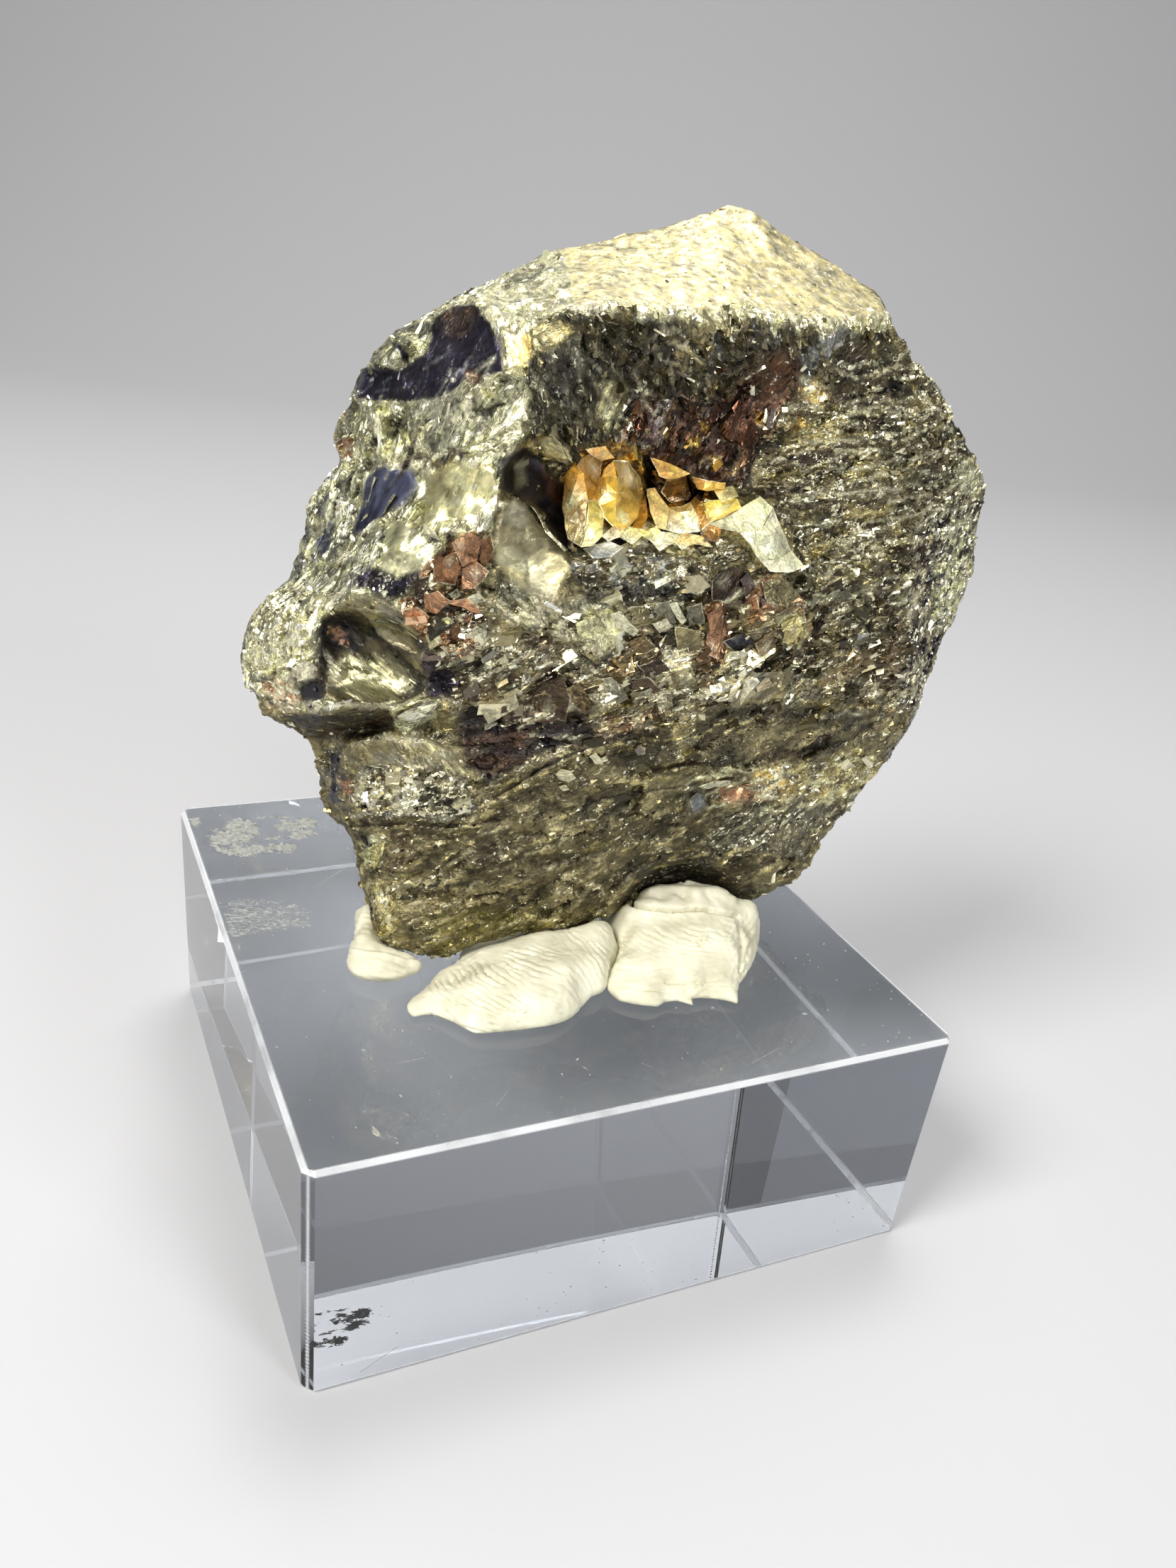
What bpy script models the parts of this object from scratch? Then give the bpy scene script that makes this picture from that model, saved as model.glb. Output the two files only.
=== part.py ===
"""A lump of natural pyrite standing on a clear square display block, held by white tack.

Metres, +Z up. The origin is the centre of the block's bottom face. +X runs along the
block's front edge and +Y goes away from the front, so the lump's face looks towards -Y.

The lump's surface is set out by sighting. Every point of it is written as
(across, down, y): the first two say which sight line through the station the point lies
on, in units of 1/SIGHT_UNITS of the distance ahead, and y (in mm) says how deep along
that line it lies. The lump's near face and its far face are both single-valued along
such lines and meet in one closed rim.
"""
import math

import bmesh
import bpy
import numpy as np
from mathutils import Vector
from mathutils.bvhtree import BVHTree
from mathutils.geometry import delaunay_2d_cdt

MM = 0.001

# ---------------------------------------------------------------- driving dimensions
BLOCK_SIDE = 50.0 * MM
BLOCK_HEIGHT = 20.0 * MM
UPRIGHT_CHAMFER = 0.7 * MM      # on the four upright edges of the block
RIM_CHAMFER = 0.25 * MM         # on its top and bottom edges
GAP = 0.3 * MM                  # left between pieces that touch
LUMP_EDGE = 2.40 * MM           # longest triangle edge on the lump
LUMP_FLOOR = BLOCK_HEIGHT + 0.45 * MM
FACET_CELL = 4.2 * MM           # size of the lump's coarse crystal faces
FACET_FRONT = 0.24              # their tilt on the near face
FACET_BACK = 0.50               # and on the far face
TACK_GRID = 0.80 * MM           # spacing of the tack's surface points
TACK_LIP = 0.35 * MM            # thickness of the tack at its outline

# The station that the lump is sighted from, and its three directions.
STATION = Vector((-37.687, -79.743, 73.583)) * MM
ACROSS = Vector((0.91483, -0.39116, 0.10039))
DOWN = Vector((-0.10873, -0.47798, -0.87161))
AHEAD = Vector((0.38893, 0.78646, -0.47981))
SIGHT_UNITS = 1726.0
SIGHT_CENTRE = (784.0, 1212.0)


def sight_line(across, down):
    """Direction of a sight line, one unit ahead."""
    return (
        AHEAD
        + ACROSS * ((across - SIGHT_CENTRE[0]) / SIGHT_UNITS)
        + DOWN * ((down - SIGHT_CENTRE[1]) / SIGHT_UNITS)
    )


def at_y(across, down, y_mm):
    """The point of a sight line in the upright plane y = y_mm."""
    line = sight_line(across, down)
    return STATION + line * ((y_mm * MM - STATION.y) / line.y)


def at_z(across, down, z_mm):
    """The point of a sight line in the level plane z = z_mm."""
    line = sight_line(across, down)
    return STATION + line * ((z_mm * MM - STATION.z) / line.z)


# ------------------------------------------------------------------- the lump's rim
# Clockwise from the highest point.
RIM = [
    (1044, 287, 5.0), (1062, 294, 4.6), (1100, 324, 4.0), (1141, 350, 3.2),
    (1178, 370, 2.6), (1203, 391, 2.0), (1243, 418, 0.4), (1252, 436, -1.0),
    (1268, 474, -2.6), (1287, 499, -3.0), (1305, 524, -3.3), (1327, 549, -3.4),
    (1339, 568, -3.4), (1350, 598, -3.4), (1365, 625, -3.4), (1383, 654, -3.3),
    (1393, 677, -3.0), (1391, 701, -3.0), (1384, 728, -3.0), (1377, 757, -3.0),
    (1375, 782, -3.2), (1377, 803, -3.2), (1366, 822, -3.3), (1362, 840, -3.4),
    (1351, 857, -3.6), (1347, 880, -3.8), (1332, 898, -4.0), (1323, 926, -4.3),
    (1313, 952, -4.6), (1302, 977, -4.8), (1298, 1000, -5.0), (1292, 1015, -5.1),
    (1272, 1046, -5.3), (1250, 1077, -5.6), (1228, 1104, -5.8), (1210, 1127, -5.9),
    (1196, 1144, -6.0), (1177, 1166, -6.2), (1161, 1186, -6.4), (1149, 1208, -6.6),
    (1136, 1230, -6.9), (1120, 1247, -7.0), (1098, 1256, -7.0), (1076, 1267, -6.8),
    (1057, 1275, -6.4), (1041, 1279, -6.0), (1028, 1272, -5.2), (1008, 1266, -4.3),
    (970, 1262, -3.4), (932, 1265, -3.3), (905, 1272, -3.8), (885, 1279, -5.0),
    (857, 1292, -5.9), (825, 1311, -6.0), (771, 1316, -6.0), (743, 1318, -6.0),
    (720, 1324, -6.1), (699, 1330, -6.2), (677, 1335, -6.3), (651, 1349, -6.4),
    (631, 1359, -6.2), (613, 1358, -5.9), (597, 1354, -5.5), (568, 1344, -4.7),
    (541, 1337, -4.0), (528, 1318, -3.2), (522, 1300, -2.8), (521, 1283, -2.4),
    (510, 1255, -1.6), (502, 1226, -1.0), (500, 1205, -0.8), (492, 1182, -0.2),
    (483, 1166, 0.2), (467, 1156, 0.8), (457, 1142, 1.0), (454, 1120, 1.2),
    (449, 1094, 1.4), (447, 1075, 1.5), (440, 1058, 1.6), (427, 1043, 1.6),
    (411, 1029, 1.6), (396, 1022, 1.7), (377, 1015, 1.8), (364, 1003, 2.0),
    (359, 986, 2.2), (352, 973, 2.4), (341, 955, 2.8), (334, 936, 3.0),
    (336, 915, 3.2), (341, 888, 3.4), (350, 866, 3.7), (361, 852, 4.0),
    (382, 835, 4.4), (402, 817, 4.9), (406, 799, 5.2), (417, 776, 5.6),
    (429, 752, 6.0), (432, 728, 6.1), (435, 708, 6.2), (453, 680, 6.0),
    (480, 652, 6.0), (474, 637, 6.3), (466, 620, 6.6), (471, 601, 6.6),
    (481, 583, 6.5), (496, 569, 6.3), (499, 548, 6.2), (504, 530, 6.1),
    (521, 511, 6.1), (524, 496, 6.0), (549, 473, 6.0), (577, 457, 6.0),
    (603, 443, 6.0), (630, 428, 6.0), (652, 414, 6.0), (678, 402, 6.0),
    (700, 391, 6.0), (720, 380, 6.0), (742, 369, 6.0), (765, 356, 6.0),
    (782, 350, 6.0), (810, 346, 5.9), (842, 340, 5.8), (870, 334, 5.7),
    (905, 326, 5.7), (936, 319, 5.7), (967, 306, 5.6), (1004, 294, 5.4),
    (1022, 287, 5.2),
]

# ------------------------------------------------------------ creases of the near face
CREASES = {
    "front edge of the top": [
        (1240, 446, -3.4), (1215, 451, -4.9), (1160, 456, -6.4), (1100, 446, -6.9),
        (1040, 437, -7.0), (960, 438, -7.0), (900, 438, -7.0), (850, 429, -6.9),
        (800, 441, -6.8), (745, 456, -6.6),
    ],
    "flank ridge": [
        (745, 456, -6.6), (752, 500, -7.4), (748, 540, -7.8), (758, 575, -8.0),
        (748, 606, -8.0), (735, 634, -8.0), (712, 656, -7.9), (703, 690, -7.9),
        (696, 722, -8.1), (688, 746, -8.1), (640, 757, -7.2), (600, 795, -6.4),
        (574, 838, -5.9),
    ],
    "crest over the dark facet": [
        (745, 456, -6.6), (700, 437, -4.4), (672, 425, -2.6), (640, 430, -1.3),
        (610, 450, -0.6), (600, 490, -1.6), (560, 497, 0.4), (524, 518, 3.0),
        (504, 530, 6.1),
    ],
    "foot of the dark facet": [
        (500, 562, 3.4), (545, 566, 0.4), (588, 574, -2.2), (640, 553, -4.2),
        (672, 540, -5.2), (712, 525, -6.4), (752, 500, -7.4),
    ],
    "first terrace": [
        (480, 652, 6.0), (545, 648, 1.0), (610, 641, -3.0), (665, 626, -5.6),
        (735, 600, -7.5), (748, 606, -8.0),
    ],
    "second terrace": [
        (505, 757, 0.9), (512, 700, 2.0), (530, 657, 1.7), (578, 656, -1.0),
        (600, 690, -3.0), (560, 716, -1.6), (505, 757, 0.9),
    ],
    "grey facet": [
        (712, 716, -7.4), (728, 702, -7.3), (748, 714, -7.2), (772, 750, -7.2),
        (801, 775, -7.2), (806, 802, -7.6), (784, 850, -8.5), (736, 846, -8.6),
        (702, 800, -8.4), (699, 760, -8.0), (712, 716, -7.4),
    ],
    "slot": [
        (714, 664, -6.6), (740, 634, -6.4), (762, 650, -5.6), (800, 690, -4.9),
        (797, 740, -5.0), (803, 772, -6.0),
    ],
    "slot lip": [
        (752, 612, -7.2), (772, 612, -6.9), (815, 655, -6.7),
    ],
    "pocket roof": [
        (815, 655, -6.7), (860, 626, -5.7), (915, 645, -5.1), (960, 668, -4.8),
        (1000, 682, -4.8), (1060, 692, -5.4), (1105, 690, -6.2), (1140, 700, -6.8),
    ],
    "pocket sill": [
        (806, 802, -7.6), (860, 776, -7.3), (920, 772, -7.2), (980, 776, -7.3),
        (1030, 780, -7.6), (1068, 803, -8.0), (1100, 810, -8.4), (1135, 801, -8.3),
    ],
    "bright flake": [
        (985, 716, -6.7), (1040, 703, -6.6), (1072, 700, -6.7), (1092, 722, -7.2),
        (1104, 752, -7.8), (1135, 801, -8.3), (1085, 806, -8.4), (1062, 775, -8.0),
        (1040, 755, -7.6), (1008, 744, -7.0), (985, 716, -6.7),
    ],
    "shelf across the face": [
        (660, 1160, -7.1), (700, 1126, -7.8), (760, 1086, -8.4), (820, 1060, -8.7),
        (870, 1036, -8.9), (940, 1006, -8.9), (1040, 1002, -8.7), (1120, 986, -8.3),
        (1200, 972, -7.6), (1262, 958, -6.6),
    ],
    "foot of the middle band": [
        (640, 1004, -6.3), (700, 1054, -7.0), (762, 1036, -7.6), (820, 1034, -7.9),
        (880, 1010, -8.0), (945, 990, -8.1),
    ],
    "nose hollow": [
        (452, 870, -3.6), (490, 846, -4.0), (550, 862, -5.0), (590, 905, -5.5),
        (602, 955, -5.6), (570, 986, -5.3), (520, 994, -5.0), (452, 986, -3.9),
        (437, 930, -3.5), (452, 870, -3.6),
    ],
    "nose chin": [
        (377, 1015, 1.8), (415, 1010, -1.2), (460, 1004, -3.9), (520, 1005, -5.1),
        (580, 1010, -5.4), (625, 985, -6.0), (640, 1004, -6.3),
    ],
    "second block top": [
        (489, 1076, -2.6), (522, 1046, -3.7), (560, 1038, -4.7), (600, 1043, -5.7),
        (640, 1062, -6.6), (662, 1092, -7.1), (668, 1130, -7.2), (660, 1160, -7.1),
        (600, 1150, -6.2), (540, 1153, -5.0), (496, 1147, -3.4), (487, 1110, -2.9),
        (489, 1076, -2.6),
    ],
    "mouth of the arch": [
        (885, 1279, -5.0), (878, 1240, -6.6), (920, 1213, -7.2), (960, 1208, -7.3),
        (1012, 1215, -7.2), (1040, 1244, -6.9), (1041, 1279, -6.0),
    ],
}

# ---------------------------------------------------- single points of the near face
NEAR = [
    # top, between its edges
    (700, 415, 1.8), (1100, 372, 0.3), (1180, 412, -1.6),
    # flank, above and below the terraces
    (650, 470, -2.2), (640, 510, -3.2), (545, 532, 2.2), (560, 470, 2.2),
    (520, 610, 2.6), (600, 600, -2.6), (670, 575, -5.4), (715, 570, -7.0),
    (560, 615, 0.2), (650, 690, -6.0), (640, 735, -6.4), (600, 735, -5.0),
    (690, 650, -7.2), (565, 780, -5.2), (525, 775, -3.2), (470, 760, 2.4),
    (455, 720, 4.2), (500, 800, -1.8), (540, 812, -4.2), (450, 815, 1.6),
    (480, 690, 3.6),
    # nose
    (400, 840, 1.2), (440, 850, -2.0), (395, 890, -1.2), (370, 925, 0.4),
    (385, 975, -0.6), (410, 940, -2.4), (478, 895, -1.9), (520, 925, -2.8),
    (550, 955, -3.8), (500, 965, -3.4), (545, 895, -3.6),
    # copper stained part beside the grey facet
    (575, 880, -5.7), (640, 810, -7.0), (690, 790, -7.9), (660, 840, -7.2),
    (620, 870, -6.9), (700, 870, -8.0), (660, 905, -7.6), (610, 920, -6.2),
    (640, 945, -6.7), (700, 960, -7.1), (745, 956, -7.9), (720, 1000, -6.9),
    (670, 1000, -6.5), (840, 1008, -8.4), (780, 990, -8.0), (795, 960, -8.3),
    # below the nose
    (480, 1032, -0.9), (530, 1030, -2.4), (580, 1026, -4.3), (460, 1080, 0.2),
    (462, 1125, -0.2), (590, 1095, -6.4), (550, 1080, -5.0), (630, 1110, -7.2),
    (560, 1168, -4.6), (510, 1170, -2.4), (640, 1176, -6.4), (475, 1152, -0.4),
    # lower face
    (520, 1200, -3.0), (545, 1185, -4.2), (540, 1232, -3.9), (532, 1285, -3.7),
    (570, 1305, -4.9), (600, 1210, -5.6), (660, 1230, -6.6), (600, 1270, -5.5),
    (610, 1325, -5.9), (650, 1290, -6.3), (700, 1180, -7.2), (720, 1250, -7.0),
    (700, 1295, -6.8), (780, 1140, -8.0), (800, 1210, -7.7), (800, 1280, -6.9),
    (860, 1180, -8.1), (850, 1250, -7.1), (880, 1100, -8.6), (960, 1080, -8.7),
    (940, 1150, -8.3), (1030, 1130, -8.3), (1040, 1060, -8.5), (1090, 1180, -7.9),
    (1080, 1235, -7.3), (1120, 1100, -7.8), (1130, 1040, -8.1), (1190, 1060, -7.2),
    (1160, 1130, -7.1), (1230, 1020, -6.6),
    # arch over the tack
    (902, 1246, -4.9), (932, 1237, -4.6), (980, 1233, -4.7), (1012, 1242, -5.2),
    # bowl under the top
    (785, 500, -6.8), (780, 545, -6.4), (800, 600, -6.3), (850, 470, -6.4),
    (850, 540, -5.4), (855, 590, -5.3), (905, 500, -5.6), (920, 570, -4.4),
    (960, 480, -6.3), (985, 530, -4.9), (1000, 610, -4.0), (960, 640, -4.4),
    (1035, 470, -6.5), (1050, 560, -4.7), (1060, 640, -4.7), (1100, 500, -5.8),
    (1130, 560, -5.6), (1110, 640, -5.9), (1165, 500, -6.1), (1180, 570, -6.2),
    (1170, 650, -6.6), (1210, 480, -5.4), (1235, 520, -5.3),
    # inside the pocket
    (832, 690, -5.2), (880, 676, -4.4), (925, 690, -3.6), (968, 704, -3.6),
    (905, 722, -5.2), (850, 742, -6.4), (935, 742, -5.8), (760, 720, -5.4),
    (985, 762, -6.6), (900, 752, -6.6),
    # right of the pocket
    (1145, 745, -7.2), (1150, 790, -7.7), (1210, 710, -6.8), (1220, 770, -6.9),
    (1240, 640, -6.3), (1250, 580, -5.8), (1280, 700, -6.1), (1290, 640, -5.5),
    (1285, 560, -5.0), (1320, 610, -4.6), (1330, 680, -4.8), (1340, 740, -4.6),
    (1290, 770, -5.9), (1335, 800, -4.7), (1330, 850, -4.9),
    # middle band
    (850, 840, -8.0), (900, 820, -7.7), (960, 830, -7.8), (1010, 830, -8.3),
    (1060, 850, -8.3), (820, 890, -8.2), (870, 900, -8.0), (905, 880, -8.4),
    (950, 890, -7.9), (1005, 900, -8.6), (1050, 910, -8.2), (880, 955, -8.5),
    (940, 945, -8.2), (1000, 960, -8.7), (1110, 870, -8.6), (1100, 940, -8.2),
    (1160, 850, -7.9), (1170, 910, -7.9), (1230, 830, -7.1), (1240, 890, -7.0),
    (1290, 890, -5.9), (1300, 830, -5.8), (1285, 940, -5.8), (1180, 780, -7.3),
    (1060, 965, -8.6),
]

# --------------------------------------------------------------- the far face
FAR = [
    # just inside the rim, where the sides turn away
    (1040, 312, 7.2), (1120, 365, 5.6), (1195, 420, 3.4), (1235, 470, 1.2),
    (1290, 560, 0.2), (1340, 640, 0.4), (1362, 690, 0.8), (1350, 780, 0.6),
    (1332, 850, 0.2), (1290, 950, -0.6), (1255, 1030, -1.4), (1200, 1100, -2.2),
    (1150, 1160, -3.0), (520, 560, 9.0), (500, 620, 9.0), (500, 680, 9.2),
    (460, 730, 8.2), (440, 800, 7.0), (385, 865, 5.6), (362, 930, 4.8),
    (385, 985, 4.2), (440, 1020, 4.2), (475, 1080, 4.4), (490, 1140, 4.2),
    (600, 470, 8.6), (700, 420, 8.8), (800, 375, 8.6), (900, 352, 8.2),
    # underside, over the tack and the block
    (545, 1300, 0.2), (600, 1300, -1.6), (660, 1300, -2.6), (740, 1280, -2.4),
    (820, 1272, -3.0), (880, 1248, -2.2), (950, 1228, -1.4), (1020, 1238, -3.0),
    (1085, 1228, -4.6), (560, 1240, 4.4), (640, 1226, 5.4), (740, 1205, 6.0),
    (850, 1188, 5.0), (960, 1160, 4.0), (1060, 1150, 1.6), (1110, 1180, -1.6),
    # back
    (620, 560, 10.6), (760, 480, 10.8), (900, 430, 10.0), (1020, 390, 8.6),
    (1120, 450, 7.2), (1200, 540, 5.6), (1270, 640, 4.6), (1290, 760, 4.2),
    (1250, 880, 3.8), (1190, 1000, 3.0), (1120, 1070, 2.4), (560, 700, 10.6),
    (700, 640, 12.0), (860, 570, 11.6), (1010, 530, 10.2), (1140, 640, 8.6),
    (1160, 800, 7.4), (1080, 930, 6.8), (540, 840, 9.6), (460, 900, 7.6),
    (450, 970, 6.6), (640, 800, 11.8), (800, 740, 12.2), (960, 700, 11.0),
    (1020, 820, 9.2), (600, 950, 10.2), (730, 920, 11.4), (880, 880, 10.8),
    (560, 1060, 8.2), (680, 1060, 9.8), (820, 1040, 9.8), (960, 1000, 8.4),
    (600, 1150, 7.6), (720, 1140, 8.2), (850, 1120, 7.6), (980, 1090, 6.0),
]


def drop_scene():
    for ob in list(bpy.data.objects):
        bpy.data.objects.remove(ob, do_unlink=True)


def material(name, colour, roughness, metallic, transmission=0.0, ior=1.5):
    mat = bpy.data.materials.new(name)
    mat.use_nodes = True
    shader = mat.node_tree.nodes["Principled BSDF"]
    shader.inputs["Base Color"].default_value = (*colour, 1.0)
    shader.inputs["Roughness"].default_value = roughness
    shader.inputs["Metallic"].default_value = metallic
    shader.inputs["Transmission Weight"].default_value = transmission
    shader.inputs["IOR"].default_value = ior
    return mat


def add_object(name, bm, mat):
    bmesh.ops.recalc_face_normals(bm, faces=bm.faces)
    mesh = bpy.data.meshes.new(name)
    bm.to_mesh(mesh)
    bm.free()
    ob = bpy.data.objects.new(name, mesh)
    mesh.materials.append(mat)
    bpy.context.scene.collection.objects.link(ob)
    return ob


def inside(loop, x, y):
    """True where (x, y) lies within a closed outline of 2-D points."""
    hit = False
    for i in range(len(loop)):
        x0, y0 = loop[i - 1]
        x1, y1 = loop[i]
        if (y0 > y) != (y1 > y) and x < x0 + (x1 - x0) * (y - y0) / (y1 - y0):
            hit = not hit
    return hit


def cell_noise(n, seed):
    """Three fixed pseudo-random numbers in 0..1 for each row of whole numbers."""
    h = (
        n[:, 0] * 73856093 ^ n[:, 1] * 19349663 ^ n[:, 2] * 83492791 ^ (seed * 2654435)
    ) & 0x7FFFFFFF
    out = []
    for _ in range(3):
        h = (h * 1103515245 + 12345) & 0x7FFFFFFF
        h = h ^ (h >> 13)
        out.append((h & 0xFFFFF) / float(0x100000))
    return np.stack(out, 1)


def crystal_relief(points, cell, tilt, seed):
    """Height of tilted crystal faces that meet in ridges, one face for each seed point."""
    q = points / cell
    base = np.floor(q).astype(np.int64)
    height = np.full(len(q), -1e9)
    for i in (-1, 0, 1):
        for j in (-1, 0, 1):
            for k in (-1, 0, 1):
                n = base + np.array([i, j, k])
                away = q - (n + cell_noise(n, seed))
                lean = (cell_noise(n, seed + 7) - 0.5) * 2.0 * tilt
                value = (away * lean).sum(1) - 0.45 * tilt * (away ** 2).sum(1)
                height = np.maximum(height, value)
    return (height - height.mean()) * cell


def sheet(points, creases, rim_count):
    """Triangles over sighted points, with the rim and the creases kept as edges."""
    flat = [Vector((p[0], p[1])) for p in points]
    edges = [(i, (i + 1) % rim_count) for i in range(rim_count)] + creases
    out_v, _, out_f, orig, _, _ = delaunay_2d_cdt(flat, edges, [], 0, 1e-4)
    place = []
    for k, v in enumerate(out_v):
        if not orig[k]:
            raise ValueError(f"creases cross at {v.x:.0f}, {v.y:.0f}")
        place.append(orig[k][0])
    loop = [(p[0], p[1]) for p in points[:rim_count]]
    tris = []
    for f in out_f:
        cx = sum(out_v[i].x for i in f) / 3.0
        cy = sum(out_v[i].y for i in f) / 3.0
        if inside(loop, cx, cy):
            tris.append([place[i] for i in f])
    return tris


def refine(points, side, tris, rim_edges, longest):
    """Cut triangle edges in half until none is longer than asked."""
    for _ in range(14):
        def length(a, b):
            return (points[a] - points[b]).length

        edges = {}
        for t in tris:
            for i in range(3):
                a, b = t[i], t[(i + 1) % 3]
                edges[(min(a, b), max(a, b))] = 0.0
        for e in edges:
            edges[e] = length(*e)
        worst = max(edges.values())
        if worst <= longest:
            break
        limit = max(longest, worst * 0.6)
        middle = {}
        for e, size in edges.items():
            if size > limit:
                middle[e] = len(points)
                points.append((points[e[0]] + points[e[1]]) * 0.5)
                if side[e[0]] == 0.0 or side[e[1]] == 0.0:
                    side.append((side[e[0]] + side[e[1]]) * 0.5)
                else:
                    side.append(side[e[0]])
        rim = {e: m for e, m in middle.items() if e in rim_edges}
        for (a, b), m in rim.items():
            rim_edges.discard((a, b))
            rim_edges.add((min(a, m), max(a, m)))
            rim_edges.add((min(b, m), max(b, m)))
            side[m] = 0.0
        out = []
        for t in tris:
            mids = [
                middle.get((min(t[i], t[(i + 1) % 3]), max(t[i], t[(i + 1) % 3])))
                for i in range(3)
            ]
            known = [m is not None for m in mids]
            if not any(known):
                out.append(t)
            elif all(known):
                out += [
                    (t[0], mids[0], mids[2]), (t[1], mids[1], mids[0]),
                    (t[2], mids[2], mids[1]), (mids[0], mids[1], mids[2]),
                ]
            elif sum(known) == 1:
                i = known.index(True)
                a, b, c = t[i], t[(i + 1) % 3], t[(i + 2) % 3]
                out += [(a, mids[i], c), (mids[i], b, c)]
            else:
                i = known.index(False)
                a, b, c = t[i], t[(i + 1) % 3], t[(i + 2) % 3]
                m, n = mids[(i + 1) % 3], mids[(i + 2) % 3]
                out.append((m, c, n))
                if length(a, m) < length(b, n):
                    out += [(a, b, m), (a, m, n)]
                else:
                    out += [(a, b, n), (b, m, n)]
        tris = out
    return points, side, tris


def build_lump():
    rim_count = len(RIM)
    near = list(RIM)
    index = {(p[0], p[1]): i for i, p in enumerate(near)}
    crease_edges = []
    for line in CREASES.values():
        last = None
        for p in line:
            key = (p[0], p[1])
            if key not in index:
                index[key] = len(near)
                near.append(p)
            if last is not None and index[key] != last:
                crease_edges.append((last, index[key]))
            last = index[key]
    for p in NEAR:
        if (p[0], p[1]) not in index:
            index[(p[0], p[1])] = len(near)
            near.append(p)
    far = list(RIM) + list(FAR)

    points = [at_y(*p) for p in near]
    side = [0.0 if i < rim_count else 1.0 for i in range(len(near))]
    tris = [tuple(t) for t in sheet(near, crease_edges, rim_count)]
    extra = len(points) - rim_count
    points += [at_y(*p) for p in FAR]
    side += [-1.0] * len(FAR)
    for t in sheet(far, [], rim_count):
        a, b, c = (i if i < rim_count else i + extra for i in t)
        tris.append((c, b, a))
    rim_edges = {
        (min(i, (i + 1) % rim_count), max(i, (i + 1) % rim_count))
        for i in range(rim_count)
    }
    points, side, tris = refine(points, side, tris, rim_edges, LUMP_EDGE)

    # Coarse crystal faces: the near face moves along its sight lines only, so that the
    # rim and the creases stay on the lines that they were sighted on.
    spots = np.array(points)
    relief_near = crystal_relief(spots, FACET_CELL, FACET_FRONT, 3)
    relief_far = crystal_relief(spots, FACET_CELL * 1.6, FACET_BACK, 11)
    bm = bmesh.new()
    verts = []
    for i, co in enumerate(points):
        line = (co - STATION).normalized()
        relief = relief_near[i] if side[i] >= 0.0 else relief_far[i]
        co = co + line * float(relief) * min(1.0, abs(side[i]) * 1.3)
        if co.z < LUMP_FLOOR:
            co = co - line * ((co.z - LUMP_FLOOR) / line.z) * 0.98
        verts.append(bm.verts.new(co))
    for t in tris:
        bm.faces.new([verts[i] for i in t])
    pyrite = material("pyrite", (0.42, 0.37, 0.22), 0.34, 0.9)
    return add_object("pyrite_lump", bm, pyrite)


def build_block():
    bm = bmesh.new()
    bmesh.ops.create_cube(bm, size=1.0)
    for v in bm.verts:
        v.co = Vector((
            v.co.x * BLOCK_SIDE, v.co.y * BLOCK_SIDE, (v.co.z + 0.5) * BLOCK_HEIGHT
        ))
    upright = [e for e in bm.edges if abs(e.verts[0].co.z - e.verts[1].co.z) > MM]
    bmesh.ops.bevel(
        bm, geom=upright, offset=UPRIGHT_CHAMFER, offset_type="OFFSET", segments=1,
        profile=0.5, affect="EDGES",
    )
    level = [
        e for e in bm.edges
        if abs(e.verts[0].co.z - e.verts[1].co.z) < 1e-7
        and len(e.link_faces) == 2
        and abs(e.link_faces[0].normal.dot(e.link_faces[1].normal)) < 0.1
    ]
    bmesh.ops.bevel(
        bm, geom=level, offset=RIM_CHAMFER, offset_type="OFFSET", segments=1,
        profile=0.5, affect="EDGES",
    )
    acrylic = material("acrylic", (1.0, 1.0, 1.0), 0.04, 0.0, 1.0, 1.49)
    return add_object("acrylic_block", bm, acrylic)


def edge_distance(loop, x, y):
    """Distance from (x, y) to a closed outline."""
    best = 1e9
    for i in range(len(loop)):
        x0, y0 = loop[i - 1]
        x1, y1 = loop[i]
        dx, dy = x1 - x0, y1 - y0
        t = ((x - x0) * dx + (y - y0) * dy) / max(dx * dx + dy * dy, 1e-18)
        t = min(1.0, max(0.0, t))
        best = min(best, math.hypot(x - x0 - t * dx, y - y0 - t * dy))
    return best


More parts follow.
